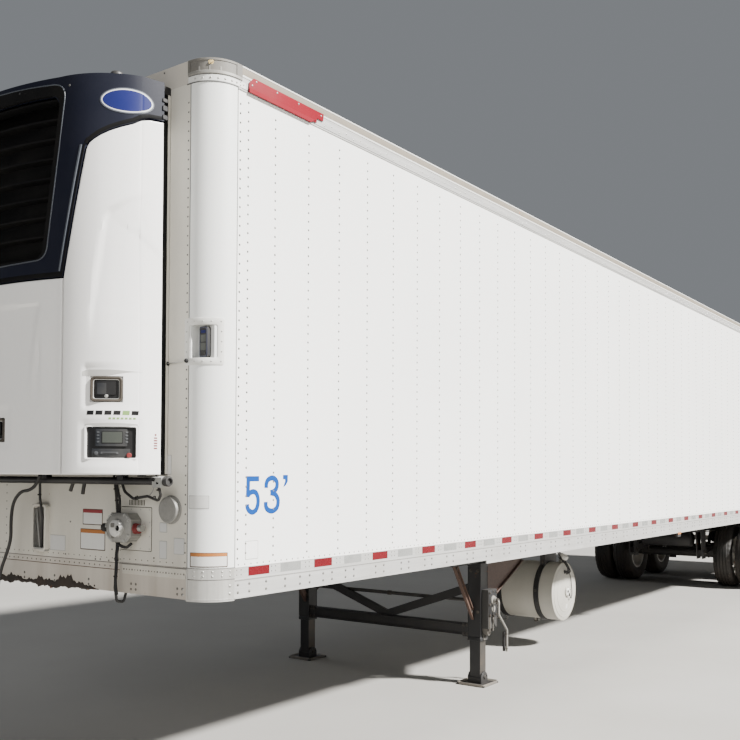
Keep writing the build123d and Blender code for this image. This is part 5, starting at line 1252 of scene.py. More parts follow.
# %% Base clamps
base = Forms()
for sign in (1, -1):
    tube_end = sign * 1.01
    clamp = spot((ahead(0.128), sign * 1.015, 1.746), (1, 0, 0))
    base.frame(clamp, 0.07, 0.056, 0.02, 0.02, 0.005, 0.006, 0, -0.004)
    # a black square in the clamp's hole paints the shade inside it
    base.plate(clamp, 0.022, 0.022, 0.003, 0.004, 0.0008, 2, -0.004)
    base.plate(spot((ahead(0.1), sign * 0.978, 1.746), (0, sign, 0)), 0.062, 0.058, 0.005, 0.006, 0.001, 0)
    local = spot((ahead(0.1), tube_end, 1.752), (0, sign, 0))
    base.turned(local, [(0.0215, -0.01), (0.027, -0.008), (0.0278, 0.004), (0.0278, 0.034), (0.0262, 0.038),
                        (0.02, 0.038)], 24, 0)
    base.turned(local, [(0.0205, 0.036), (0.0272, 0.04), (0.0285, 0.05), (0.0285, 0.066), (0.0262, 0.072),
                        (0.018, 0.073), (0.0165, 0.06)], 24, 1)
    base.bolt(spot((ahead(0.133), sign * 0.99, 1.762), (1, 0, 0)), 0.012, 0.007, 2)
for place, end in (((0.246, 1.742), (0.212, 1.69)), ((0.349, 1.742), (0.327, 1.673))):
    base.tube([(ahead(0.09), place[0], place[1]),
               (ahead(0.088), (place[0] + end[0]) / 2, (place[1] + end[1]) / 2),
               (ahead(0.085), end[0], end[1])], 0.011, 12, 1)
base.make("unit_base_clamps", [zinc_metal, lead_rubber, black_louvre_and_shade], slot="steel")

# %% [markdown]
# ## Corners, castings and top rail
# The nose corners are bent sheet between two castings, the upper one cast in
# the rough and the lower one brushed. Everything on them is placed by how far
# it lies round the corner from the nose seam, so that rivets, plates and
# bands follow the bend.

# %% Corner surface
CORNER_RADIUS = 0.18
SEAM_Y = HALF_WIDTH - CORNER_RADIUS
BEND = CORNER_RADIUS * math.pi / 2
print("round the corner:", round(BEND, 4), "m")


def on_body(u, z, out=0.0, sign=1):
    """Place and outward direction at u round the corner from the nose seam, and on along the side."""
    if u <= 0:
        place, normal = (NOSE + out, SEAM_Y + u), (1.0, 0.0)
    elif u < BEND:
        a = u / CORNER_RADIUS
        reach = CORNER_RADIUS + out
        place = (NOSE - CORNER_RADIUS + reach * math.cos(a), SEAM_Y + reach * math.sin(a))
        normal = (math.cos(a), math.sin(a))
    else:
        place, normal = (NOSE - CORNER_RADIUS - (u - BEND), HALF_WIDTH + out), (0.0, 1.0)
    return Vector((place[0], sign * place[1], z)), Vector((normal[0], sign * normal[1], 0.0))


def shell(u, z, sign=1):
    return lambda x, y, h: on_body(u + x, z + y, h, sign)[0]


def band(form, u0, u1, z0, z1, depth, mark, sign, edge=0.001, steps=12):
    columns = [u0 + (u1 - u0) * i / steps for i in range(steps + 1)]
    form.patch(shell(0.0, 0.0, sign), columns, lambda x: z0, lambda x: z1, depth, edge, mark)


def rivet_at(form, u, z, radius, height, mark=0, sign=1, base=0.0, sides=8):
    place, normal = on_body(u, z, base, sign)
    form.dome(spot(place, normal), radius, height, sides, mark)


# %% Corner pieces
# dark grey for the seam lines, also used as painted shade in grooves and under the top rail
seam_and_shade_dark = paint("dark_seam_and_painted_shade_line", (0.1, 0.1, 0.1), 0.6, dirt=0.3)
band_white = paint("weathered_white_band", (0.7, 0.7, 0.68), 0.45, dirt=0.2, levels=(5.0, 3.5), rust=0.08)
# tan that paints the reflection in the top rail's metal strip
tan_reflection_band = paint("tan_painted_reflection_band", (0.165, 0.142, 0.112), 0.7, dirt=0.35, levels=(5.0, 3.5), rust=0.15)
dark_cast = metal("weathered_upper_casting", (0.15, 0.145, 0.135), 0.65, 0.35, stain=0.7,
                  stain_colour=(0.3, 0.27, 0.22), pitted=0.9)
TOP_PITCH = 0.0762
brass = metal("aged_brass", (0.62, 0.47, 0.22), 0.35, 0.8)
for side, sign in SIDES:
    seams, heads, cast = Forms(), Forms(), Forms()
    band(seams, -0.0025, 0.0025, 1.283, 3.934, 0.0009, 0, sign, steps=1)
    band(seams, BEND - 0.001, BEND + 0.0035, 1.283, 3.934, 0.0012, 0, sign, steps=1)
    # the dark band at the sheet's top paints the top rail's shadow round the corner
    band(seams, -0.03, BEND + 0.004, 3.9305, 3.9375, 0.003, 0, sign)
    band(seams, -0.03, BEND + 0.004, 1.28, 1.2845, 0.0014, 0, sign)
    seams.make(f"corner_seams_{side}", [seam_and_shade_dark], slot="white_sheet")
    for row in range(rows):
        rivet_at(heads, -0.017, SHEET_LOW + 0.03 + RIVET_PITCH * row, 0.0055, 0.0028, 0, sign)
    heads.make(f"nose_seam_rivets_{side}", [rivet_shade_grey], slot="white_sheet")
    # upper casting: dark face, rim, pocket, foot band, riveted skirt
    band(cast, -0.019, BEND + 0.03, 3.985, 4.062, 0.0022, 5, sign)
    band(cast, -0.02, BEND + 0.03, 4.05, 4.063, 0.005, 5, sign)
    band(cast, -0.022, -0.004, 3.985, 4.0635, 0.005, 5, sign, steps=2)
    band(cast, BEND - 0.012, BEND + 0.03, 3.978, 4.0635, 0.0055, 5, sign, steps=2)
    band(cast, -0.02, BEND + 0.03, 3.976, 3.996, 0.006, 0, sign, edge=0.003)
    for u in (0.055, 0.115, 0.175):
        band(cast, u - 0.004, u + 0.004, 3.994, 4.018, 0.0035, 0, sign, steps=1)
    band(cast, -0.02, BEND + 0.03, 3.9715, 3.9765, 0.002, 2, sign)
    band(cast, -0.02, BEND + 0.06, 3.9375, 3.972, 0.0018, 1, sign)
    for u in (0.03, 0.075, 0.12, 0.162, 0.2, 0.24, 0.272):
        rivet_at(cast, u, 3.954, 0.0062, 0.0035, 3, sign, 0.0017)
    for u, z in ((0.3, 3.948), (0.3, 3.968), (0.325, 3.958)):
        rivet_at(cast, u, z, 0.0058, 0.003, 3, sign, 0.0017)
    place, normal = on_body(0.122, 4.04, 0.0, sign)
    cast.bolt(spot(place, normal), 0.016, 0.009, 4)
    cast.make(f"upper_casting_details_{side}",
              [cast_metal, band_white, seam_and_shade_dark, zinc_metal, brass, dark_cast], slot="cast")
    # lower casting: a dark band that paints the shade in its groove, two rows of five rivets, two large ones at
    # the side
    foot = Forms()
    band(foot, 0.004, BEND + 0.002, 1.2185, 1.2235, 0.0016, 1, sign)
    band(foot, 0.0, 0.0035, 1.112, 1.281, 0.0024, 0, sign, steps=1)
    band(foot, 0.004, BEND + 0.002, 1.1115, 1.1165, 0.0022, 0, sign)
    for u in (0.045, 0.098, 0.15, 0.203, 0.252):
        for z in (1.24, 1.264):
            rivet_at(foot, u, z, 0.0062, 0.003, 2, sign)
    for z in (1.143, 1.185):
        rivet_at(foot, BEND - 0.032, z, 0.009, 0.0045, 2, sign, sides=10)
    for z in (1.135, 1.165):
        rivet_at(foot, -0.03, z, 0.008, 0.004, 2, sign, sides=10)
    foot.make(f"lower_casting_details_{side}", [bright_metal, seam_and_shade_dark, zinc_metal], slot="cast")
    # top rail: white edge, a tan band that paints the reflection in its metal strip, white bead,
    # riveted band, and a dark line that paints the rail's shadow
    rail = Forms()
    start, end = behind(0.213), behind(REAR_FRAME)
    skin_y = lambda out: sign * (HALF_WIDTH + out)
    for low, high, out, slope, mark in ((4.055, 4.0635, 0.004, 0.002, 0), (4.0125, 4.055, 0.001, 0.0003, 1),
                                        (4.001, 4.0125, 0.0045, 0.003, 0), (3.936, 3.9385, 0.002, 0.001, 3)):
        rail.section([(skin_y(-0.0005), low), (skin_y(out - slope * 0.5), low + slope * 0.3),
                      (skin_y(out), high - slope), (skin_y(out - slope * 0.6), high), (skin_y(-0.0005), high)],
                     [start, end], mark)
    rail.make(f"top_rail_trim_{side}", [band_white, tan_reflection_band, zinc_metal, seam_and_shade_dark], slot="rail_aluminium")
    # a dark strip on the sheet under the top rail paints the rail's shadow
    rail = Forms()
    rail.section([(sign * (SHEET_Y - 0.001), 3.9285), (sign * (SHEET_Y + 0.0035), 3.9285),
                  (sign * (SHEET_Y + 0.0035), 3.9355), (sign * (SHEET_Y - 0.001), 3.9355)], [start, end])
    rail.make(f"top_rail_shadow_line_{side}", [seam_and_shade_dark], slot="black_rubber")
    heads = Forms()
    for step in range(int((REAR_FRAME - 0.35) / TOP_PITCH)):
        x = behind(0.335 + TOP_PITCH * step)
        heads.dome(spot((x, sign * HALF_WIDTH, 3.9535 + 0.017 * (step % 2)), (0, sign, 0)), 0.006, 0.003, 6)
    heads.make(f"top_rail_rivets_{side}", [zinc_metal], slot="rail_aluminium")

# %% [markdown]
# ## Plates and numbers
# The long red plate is bare, with its fold, its stepped end and its five
# screws. The length of the trailer, 53 feet, is a generic number, so the two
# digits and the foot mark are kept, cut from blue film. A font's digits would
# not match strokes of even width, so they are ribbons along a few points. Each
# sticker is a blank plate with its frame and its coloured band.

# %% Side plate
plate_red = paint("plain_red_plate", (0.185, 0.004, 0.014), 0.6, dirt=0.12, levels=(5.0, 3.0), shine=0.1)
digit_blue = paint("digit_blue_film", (0.0, 0.047, 0.225), 0.5, dirt=0.04, shine=0.12)
plate_white = paint("blank_plate_white", (0.66, 0.66, 0.64), 0.4, dirt=0.3)
frame_brown = paint("plate_frame_brown", (0.055, 0.032, 0.022), 0.5)
band_orange = paint("plate_band_orange", (0.36, 0.115, 0.01), 0.45, dirt=0.3)
band_red = paint("plate_band_red", (0.23, 0.006, 0.014), 0.45, dirt=0.2)
nose_plate_grey = paint("soiled_frame_white", (0.66, 0.655, 0.62), 0.45, dirt=0.3)
digit_navy = moulded("status_navy", (0.012, 0.018, 0.05), 0.35)
sticker_grey = paint("faded_sticker_grey", (0.58, 0.58, 0.57), 0.5, dirt=0.3)


sign_plate = Forms()
local = spot((behind(0.0), HALF_WIDTH, 0.0), (0, 1, 0))  # x towards the rear, y up
outline = [(0.3, 4.02), (0.262, 3.985), (0.258, 3.931), (0.8, 3.928), (0.802, 3.944), (0.862, 3.944),
           (0.864, 3.972), (0.926, 3.972), (0.932, 4.018)]
inner = [(x + (0.0015 if x < 0.5 else -0.0015), z - (0.001 if z > 3.98 else -0.001)) for x, z in outline]
sign_plate.stack(local, [(outline, 0.0045), (outline, 0.0075), (inner, 0.0085)])
# the plate's lower edge is folded outwards
fold = ((0.259, 0.862, 3.957, 0.008), (0.258, 0.84, 3.953, 0.0125), (0.258, 0.802, 3.929, 0.015),
        (0.258, 0.8, 3.928, 0.011))
sign_plate.rings([[local @ Vector((x, level, out)) for x in (front, rear)] for front, rear, level, out in fold],
                 0, False, OPEN)
for x, z in ((0.32, 4.006), (0.286, 3.975), (0.497, 4.004), (0.69, 4.004), (0.905, 4.0)):
    sign_plate.dome(spot((behind(x), HALF_WIDTH + 0.0085, z), (0, 1, 0)), 0.0065, 0.004, 10, 1)
sign_plate.make("red_side_plate", [plate_red, zinc_metal], slot="white_sheet")


def glyph(points, box, low, left, scale_x, scale_y):
    return [(left + (x - box[0]) * scale_x, low + (box[1] - y) * scale_y) for x, y in points]


def flowing_outline(points):
    return [(p.x, p.y) for p in flowing([(x, y, 0.0) for x, y in points], 5)]


# %% Digits
digits = Forms()
local = spot((behind(0.0), SHEET_Y, 0.0), (0, 1, 0))
five = flowing_outline([(712, 262), (735, 235), (770, 220), (805, 232), (827, 275), (832, 325), (825, 375),
                        (803, 418), (765, 436), (728, 418), (708, 385), (705, 350)])
three_up = flowing_outline([(908, 178), (910, 130), (930, 92), (970, 74), (1004, 92), (1021, 130), (1015, 180),
                            (990, 214), (952, 228)])
three_down = flowing_outline([(952, 228), (1000, 244), (1028, 290), (1032, 335), (1020, 385), (990, 412),
                              (960, 418), (925, 402), (906, 368), (904, 322)])
foot_mark = [(1088, 45), (1132, 45), (1131, 118), (1114, 158), (1091, 182), (1098, 152), (1106, 118),
             (1106, 94), (1088, 94)]
five_box = ((685, 455), 1.569, 0.268, 0.119 / 170, 0.208 / 390)
three_box = ((885, 435), 1.572, 0.419, 0.136 / 165, 0.213 / 385)
strokes = ((five, *five_box), ([(842, 84), (716, 84), (711, 276)], *five_box), (three_up, *three_box),
           (three_down, *three_box))
for layer, (line, box, low, left, sx, sy) in enumerate(strokes, 1):
    digits.ribbon(local, glyph(line, box, low, left, sx, sy), 0.0295, 0.0006 + 0.00035 * layer)
mark_outline = glyph(foot_mark, (1090, 180), 1.717, 0.585, 0.00101, 0.00053)
digits.stack(local, [(mark_outline, 0.0), (mark_outline, 0.0006)])
digits.make("side_digits", [digit_blue])

# %% Blank plates
labels = Forms()
LABEL_DEPTH = 0.0009


def blank(surface, width, height, marks, top_band=0.0):
    """A framed blank plate, with a coloured band along its top when it has one."""
    frame_mark, plate_mark, band_mark = marks
    labels.slab(surface, width, height, LABEL_DEPTH, 0.004, frame_mark, 0.0, 0.0003)
    rim = 0.012 if frame_mark == 0 else 0.007
    labels.slab(surface, width - rim, height - rim, LABEL_DEPTH, 0.003, plate_mark, 0.0004, 0.0003)
    if top_band:
        level = height / 2 - 0.0035 - top_band / 2
        over = lambda x, y, h: surface(x, y + level, h)
        labels.slab(over, width - 0.008, top_band, LABEL_DEPTH, 0.002, band_mark, 0.0008, 0.0003)


blank(shell(0.128, 1.3285), 0.214, 0.08, (0, 1, 2), 0.018)
blank(shell(0.07, 1.64), 0.12, 0.072, (4, 1, 1))
blank(lambda x, y, h: Vector((behind(0.321 + x), SHEET_Y + h, 1.369 + y)), 0.104, 0.104, (4, 5, 5))


def on_nose(y, z):
    return lambda x, dy, h: Vector((NOSE + h, y + x, z + dy))


blank(on_nose(0.311, 1.5345), 0.184, 0.095, (0, 1, 3), 0.02)
blank(on_nose(0.313, 1.4015), 0.23, 0.125, (0, 1, 2), 0.022)
blank(on_nose(-0.026, 1.3675), 0.158, 0.095, (4, 6, 6))
blank(on_nose(0.925, 1.495), 0.06, 0.055, (4, 6, 6))
blank(on_nose(0.925, 1.371), 0.06, 0.1, (4, 6, 6))
blank(on_nose(1.052, 1.397), 0.082, 0.09, (4, 6, 6))
blank(on_nose(0.96, 1.8425), 0.052, 0.11, (4, 6, 6))
labels.make("blank_plates", [frame_brown, plate_white, band_orange, band_red, seam_sealant, white_sheet,
                             sticker_grey], slot="white_sheet")

# %% [markdown]
# ## Status display
# A framed window in the corner shows the unit's state to the driver's mirror.
# The frame is riveted over the opening in the corner sheet. Its outlines are
# laid straight on the bent sheet, which a flat frame bent later by a modifier
# would only come near to.

# %% Status frame
def denser(outline, spacing=0.02):
    full = []
    for i, point in enumerate(outline):
        follower = outline[(i + 1) % len(outline)]
        parts = max(1, round(math.dist(point, follower) / spacing))
        full += [(point[0] + (follower[0] - point[0]) * k / parts,
                  point[1] + (follower[1] - point[1]) * k / parts) for k in range(parts)]
    return full


status = Forms()
mid_u, mid_z = 0.0875, 2.512
around = shell(mid_u, mid_z)
whole = denser(rounded(1.0, 1.0, 0.05, 3), 0.08)
status.stack(around, [([(x * w, y * h) for x, y in whole], out)
                      for w, h, out in ((0.236, 0.257, 0.0), (0.236, 0.257, 0.0026), (0.23, 0.251, 0.0036),
                                        (0.166, 0.184, 0.0036), (0.161, 0.179, 0.0022),
                                        (0.161, 0.179, -0.012))], 0, OPEN)
studs = [(x, y) for x in (-0.096, -0.048, 0.0, 0.048, 0.1) for y in (-0.109, 0.109)]
studs += [(x, y) for x in (-0.103, 0.103) for y in (-0.055, 0.0, 0.055)]
for x, y in studs:
    place, normal = on_body(mid_u + x, mid_z + y, 0.0034)
    status.dome(spot(place, normal), 0.0048, 0.0026, 8, 1)
status.make("status_frame", [nose_plate_grey, zinc_metal], slot="white_plastic")

# %% Face of the status display
panel = Forms()
centre_y = 1.1917
front = spot((behind(0.0338), centre_y, 2.51), (1, 0, 0))
panel.frame(front, 0.06, 0.166, 0.046, 0.15, 0.0022, 0.014)
panel.plate(front, 0.048, 0.152, 0.0008, 0.01, 0.0003, 3)
panel.plate(spot((behind(0.033), centre_y, 2.566), (1, 0, 0)), 0.034, 0.016, 0.0012, 0.003, 0.0004, 2)
for level in (2.53, 2.484):
    panel.plate(spot((behind(0.033), centre_y, level), (1, 0, 0)), 0.042, 0.038, 0.0014, 0.004, 0.0004, 1)
panel.bolt(spot((behind(0.033), centre_y + 0.016, 2.446), (1, 0, 0)), 0.009, 0.004, 3)
panel.plate(spot((behind(0.047), centre_y + 0.0308, 2.51), (0, 1, 0)), 0.02, 0.15, 0.001, 0.008, 0.0004, 4)
panel.make("status_display_face", [digit_navy, lcd_glass, badge_blue, paddle_black, screen_grey],
           slot="black_plastic")

# %% Link across the gap
link = Forms()
ends = [Vector((ahead(0.012), 0.953, 2.402)), Vector((ahead(0.012), 1.104, 2.409))]
link.tube([ends[0], ends[0].lerp(ends[1], 0.5) + Vector((0, 0, -0.002)), ends[1]], 0.0034, 8, 1)
for end in ends:
    link.turned(spot(end - Vector((0.012, 0, 0)), (1, 0, 0)),
                [(0.011, 0.0), (0.012, 0.004), (0.012, 0.012), (0.009, 0.017), (0.002, 0.019)], 14)
    link.turned(spot(end + Vector((0, 0, -0.016)), (0, 0, 1)), [(0.006, 0.0), (0.007, 0.006), (0.007, 0.016)],
                10)
link.make("nose_link", [black_rubber, zinc_metal], slot="black_rubber")

# %% [markdown]
# ## Nose sheet and its fittings
# The nose is two sheets lapped and riveted, over a sill that road dirt has
# stained. Below the unit sit a connection box on a riveted plate, a louvre,
# a round vent cap, the leads with their ties, and a document holder. A black
# strip with ragged edges runs along the foot of the sill.

# %% Nose seams and rivets
nose_seams = Forms()
nose_heads = Forms()


def strip(form, y0, y1, z0, z1, depth, mark=0):
    local = at_nose((y0 + y1) / 2, (z0 + z1) / 2)
    form.plate(local, abs(y1 - y0), abs(z1 - z0), depth, 0.0008, depth * 0.5, mark)


strip(nose_seams, -SEAM_Y + 0.002, SEAM_Y - 0.002, 1.2745, 1.2785, 0.0012, 0)
strip(nose_seams, 0.548, 0.5515, 1.279, 1.786, 0.0012, 0)
strip(nose_seams, 0.5515, SEAM_Y - 0.006, 1.281, 1.2835, 0.0006, 0)
strip(nose_seams, 0.584, 1.106, 1.2205, 1.274, 0.003, 1)
strip(nose_seams, -1.106, -0.584, 1.2205, 1.274, 0.003, 1)
strip(nose_seams, -0.58, 0.56, 1.236, 1.24, 0.0012, 2)
strip(nose_seams, -0.96, 0.96, 3.934, 3.9375, 0.0015, 0)
strip(nose_seams, -0.956, -0.9, 1.787, 3.93, 0.0015, 1)
nose_seams.make("nose_seams", [seam_and_shade_dark, nose_sheet, rust_brown], slot="white_sheet")
for step in range(22):
    for sign in (1, -1):
        place = at_nose(sign * (0.6 + 0.0235 * step), 1.246, 0.003)
        nose_heads.dome(place, 0.0042 if step % 3 else 0.006, 0.0026, 7)
# places across, levels, and the head: radius, height and sides
HEAD_ROWS = (
    ([-1.03 + 0.0508 * k for k in range(41)], (1.3035,), (0.004, 0.0022, 6)),
    ([-0.57 + 0.0475 * k for k in range(24)], (1.256,), (0.0052, 0.003, 7)),
    ((0.562, -0.562), [1.3 + 0.052 * k for k in range(9)], (0.0046, 0.0026, 7)),
    ((-1.08, -0.98, -0.7, -0.36, -0.05, 0.28, 0.66, 0.7, 1.04, 1.08), (1.135, 1.165), (0.008, 0.0042, 10)),
    ([-0.9 + 0.2 * k for k in range(10)], (3.958, 4.045), (0.0065, 0.0034, 8)),
)
for across, levels, head in HEAD_ROWS:
    for y in across:
        for z in levels:
            nose_heads.dome(at_nose(y, z), *head)
for y, z in ((0.49, 1.352), (0.34, 1.288), (0.385, 1.289), (0.462, 1.286), (0.055, 1.302), (0.512, 1.3),
             (0.85, 1.322), (0.1, 1.5)):
    nose_heads.dome(at_nose(y, z), 0.006, 0.0034, 8, 1)
nose_heads.make("nose_rivets", [rivet_shade_grey, seam_and_shade_dark], slot="white_sheet")

# %% [markdown]
# ## The ragged strip under the sill
# A black strip with uneven edges runs along the foot of the sill, tall over
# most of its width and dying away towards the trailer's left. Sines of odd
# lengths give an uneven height that is the same in each run, which a random
# number would not be.

# %% Ragged sill strip
def ragged(value):
    """Uneven height between 0 and 1, the same in each run."""
    a = (math.sin(value * 7.3 + 0.8) * 0.35 + math.sin(value * 23.9) * 0.3
         + math.sin(value * 61.3 + 1.3) * 0.2 + math.sin(value * 173.0 + 0.6) * 0.15)
    return 0.5 + 0.5 * a


sill_strip = Forms()
columns = [-1.105 + 0.0105 * k for k in range(142)]
rings = []
for y in columns:
    fade = smooth(0.385, 0.16, y) * (0.75 + 0.25 * smooth(-1.1, -0.6, y))
    top = 1.112 + fade * (0.008 + 0.078 * ragged(y) ** 2) + 0.001
    bottom = 1.1085 - fade * 0.034 * ragged(y * 1.7 + 2.0) ** 2
    lean = 0.004 + 0.005 * ragged(y * 2.3) * fade
    rings.append([(NOSE - 0.02, y, bottom + 0.004), (NOSE + 0.0006 + lean * 0.3, y, bottom),
                  (NOSE + lean, y, (top + bottom) / 2), (NOSE + 0.0012, y, top - 0.001),
                  (NOSE + 0.0002, y, top)])
sill_strip.rings(rings, 0, False, OPEN)
for k in range(30):
    y = -1.02 + 0.046 * k + 0.034 * ragged(k * 0.7)
    size = 0.003 + 0.01 * ragged(k * 1.9) ** 2
    sill_strip.turned(at_nose(y, 1.117 + 0.03 * ragged(k * 0.31)),
                [(size, 0.0), (size * 0.8, 0.0025), (size * 0.3, 0.004)], 7)
sill_strip_black = paint("ragged_sill_strip_black", (0.016, 0.013, 0.011), 0.8, dirt=0.7, dirt_colour=(0.085, 0.055, 0.038),
               levels=(1.3, 1.0), rust=0.55)
sill_strip.make("ragged_sill_strip", [sill_strip_black], smooth=30.0, slot="black_rubber")

# %% [markdown]
# ## Connection box
# The unit's mains lead plugs in here, so the box is a heavy casting on its own
# riveted plate, with a round lid, two side sockets and glands for the leads.
# Turned profiles and eight-sided outlines stacked outwards give all of it.

# %% Riveted plate and louvre
NOSE_CAP = (0.99, 1.595)
box = Forms()
plate_local = at_nose(0.7, 1.4795)
box.plate(plate_local, 0.263, 0.25, 0.0012, 0.008, 0.0004, 3)
box.plate(plate_local, 0.256, 0.243, 0.0034, 0.006, 0.001, 1)
for x, y in corners_at(0.116, 0.11) + corners_at(0.04, 0.11) + corners_at(0.116, 0.04):
    box.dome(shifted(plate_local, x, y, 0.003), 0.0045, 0.0026, 8, 2)
louvre = at_nose(0.7065, 1.6285)
box.plate(louvre, 0.15, 0.042, 0.0022, 0.004, 0.0008, 1)
for k in range(11):
    box.plate(shifted(louvre, -0.0625 + 0.0125 * k, 0, 0.0), 0.0058, 0.032, 0.0036, 0.0025, 0.0012, 3)
print("plate and louvre:", len(box.faces), "faces")

# %% Connection box
# the box: eight-sided cast housing, cover with bolts, round lid, side connectors
housing = at_nose(0.6455, 1.488)
eight = [(-0.098, -0.046), (-0.056, -0.08), (0.062, -0.08), (0.1, -0.046), (0.1, 0.046), (0.066, 0.08),
         (-0.06, 0.08), (-0.098, 0.04)]
shrink = lambda k: [(x * k, y * k) for x, y in eight]
box.stack(housing, [(eight, 0.002), (eight, 0.068), (shrink(1.045), 0.07), (shrink(1.045), 0.082),
                    (shrink(0.99), 0.0885), (shrink(0.7), 0.0945)], 0)
for x, y in eight:
    box.bolt(shifted(housing, x * 0.9, y * 0.88, 0.0885), 0.011, 0.006, 2)
lid = shifted(housing, 0.004, -0.003, 0.0)
box.turned(lid, [(0.05, 0.088), (0.05, 0.104), (0.047, 0.1135), (0.04, 0.1165), (0.034, 0.115), (0.03, 0.1165),
                 (0.012, 0.1185), (0.002, 0.1185)], 32, 4)
box.turned(shifted(housing, 0.04, 0.0, 0.0),
           [(0.0235, 0.09), (0.0235, 0.1225), (0.0205, 0.125), (0.0165, 0.125), (0.0155, 0.1195)], 24, 4)
box.turned(shifted(housing, 0.04, 0.0, 0.0),
           [(0.0155, 0.119), (0.0155, 0.12), (0.006, 0.1202), (0.005, 0.1225), (0.001, 0.1228)], 24, 3)
box.plate(shifted(housing, -0.008, 0.014, 0.0), 0.03, 0.024, 0.1215, 0.006, 0.002, 5)
box.plate(shifted(housing, -0.034, -0.052, 0.0), 0.022, 0.018, 0.097, 0.005, 0.002, 5)
local = spot((ahead(0.045), 0.735, 1.484), (0, 1, 0))
box.turned(local, [(0.022, -0.004), (0.022, 0.006), (0.03, 0.008), (0.03, 0.016), (0.024, 0.02), (0.024, 0.03),
                   (0.028, 0.033), (0.028, 0.041), (0.014, 0.046)], 20, 6)
local = spot((ahead(0.045), 0.556, 1.482), (0, -1, 0))
box.turned(local, [(0.021, -0.01), (0.021, 0.014), (0.027, 0.016), (0.027, 0.03), (0.02, 0.034), (0.02, 0.05),
                   (0.025, 0.054), (0.025, 0.082), (0.019, 0.088), (0.004, 0.09)], 20, 7)
for level, reach in ((1.566, 1), (1.41, -1)):
    local = spot((ahead(0.05), 0.602, level), (0, 0, reach))
    box.turned(local, [(0.02, -0.014), (0.02, 0.01), (0.024, 0.012), (0.024, 0.026), (0.015, 0.034),
                       (0.012, 0.052)], 18, 7)
box.make("connection_box", [cast_metal, nose_sheet, zinc_metal, black_louvre_and_shade, bright_metal, rivet_shade_grey,
                            signal_red, black_rubber], slot="cast")

# %% Vent cap
vent = Forms()
local = at_nose(NOSE_CAP[0], NOSE_CAP[1])
vent.turned(local, [(0.079, 0.0), (0.0795, 0.004), (0.077, 0.007), (0.0735, 0.008), (0.0725, 0.024),
                    (0.069, 0.0325), (0.062, 0.035), (0.056, 0.0335), (0.05, 0.034), (0.02, 0.0362),
                    (0.004, 0.0366)], 40)
for k in range(3):
    vent.bolt(shifted(local, 0.0765, 0, 0.004, turn=2.1 * k + 0.5), 0.006, 0.003, 1, False)
vent.make("nose_vent_cap", [cast_metal, zinc_metal], slot="white_plastic")

# %% Document holder
holder = Forms()
local = at_nose(-0.17, 1.4555)
holder.frame(local, 0.136, 0.293, 0.112, 0.262, 0.0365, 0.026, 0, 0.0, 0.003)
holder.plate(local, 0.112, 0.265, 0.006, 0.01, 0.001, 2, 0.001)
holder.frame(local, 0.15, 0.306, 0.134, 0.29, 0.003, 0.028, 0)
for x, y in corners_at(0.07, 0.13):
    holder.dome(shifted(local, x, y, 0.003), 0.005, 0.003, 8, 1)
holder.tube([local @ Vector((-0.05, 0.11, 0.012)), local @ Vector((-0.02, -0.02, 0.02)),
             local @ Vector((-0.012, -0.118, 0.014))], 0.005, 8, 1)
holder.make("holder_rim", [nose_sheet, zinc_metal, seam_and_shade_dark], slot="white_plastic")

# %% Leads and ties
LEAD_RADIUS = 0.0105
ties = Forms()


def tie(place, run):
    """A strap round a lead, with its lock."""
    local, radius = spot(place, run, (0.3, 0.5, 0.8)), LEAD_RADIUS
    ties.turned(local, [(radius, -0.004), (radius + 0.0016, -0.003), (radius + 0.0016, 0.003), (radius, 0.004)],
                14, 0, OPEN)
    ties.plate(shifted(local, radius, 0, -0.002, turn=0.7), 0.008, 0.006, 0.005, 0.001, 0.0006)


for place, run in (((ahead(0.05), 0.76, 1.656), (0, 1, 0.15)), ((ahead(0.052), 0.905, 1.658), (0, 1, -0.2)),
                   ((ahead(0.098), 0.994, 1.705), (0.1, 0, 1)), ((ahead(0.05), 0.592, 1.3), (0, 0.1, 1)),
                   ((ahead(0.044), 0.577, 1.205), (0, 0.1, 1)), ((ahead(0.057), 0.586, 1.705), (0, -0.1, 1)),
                   ((ahead(0.052), 0.592, 1.64), (0, -0.1, 1)), ((ahead(0.052), -0.138, 1.66), (0, 0.1, 1))):
    tie(place, run)
second = flowing([(ahead(0.062), 0.608, 1.782), (ahead(0.066), 0.612, 1.72), (ahead(0.062), 0.628, 1.65),
                  (ahead(0.056), 0.622, 1.6), (ahead(0.052), 0.616, 1.565)], 6)
ties.tube(second, 0.0078, 10)
thin = flowing([(ahead(0.102), 0.968, 1.733), (ahead(0.088), 0.94, 1.705), (ahead(0.07), 0.9, 1.682),
                (ahead(0.056), 0.869, 1.672)], 6)
ties.tube(thin, 0.0028, 8, 1)
loom = flowing([(ahead(0.058), 0.6, 1.405), (ahead(0.064), 0.64, 1.386), (ahead(0.062), 0.69, 1.378),
                (ahead(0.05), 0.72, 1.4)], 6)
ties.tube(loom, 0.0085, 10)
below = flowing([(ahead(0.052), 0.612, 1.405), (ahead(0.06), 0.604, 1.34), (ahead(0.057), 0.6, 1.26),
                 (ahead(0.048), 0.583, 1.17), (ahead(0.034), 0.577, 1.1)], 6)
ties.tube(below, 0.009, 10)
ties.make("lead_ties", [black_rubber, cast_metal], slot="black_rubber")

# %% [markdown]
# ## Landing gear
# Two legs carry the nose when no tractor does. Each is a square tube that
# slides in another one, on a shoe that rocks on a pin. A crank turns a gearbox
# on the near leg, and a shaft takes the motion across. The shoes' pressed rims
# keep them from sinking into soft ground, and are worn bright at the edges. A
# rim is a stack of rounded squares, since a bevel can't rise and fall again.

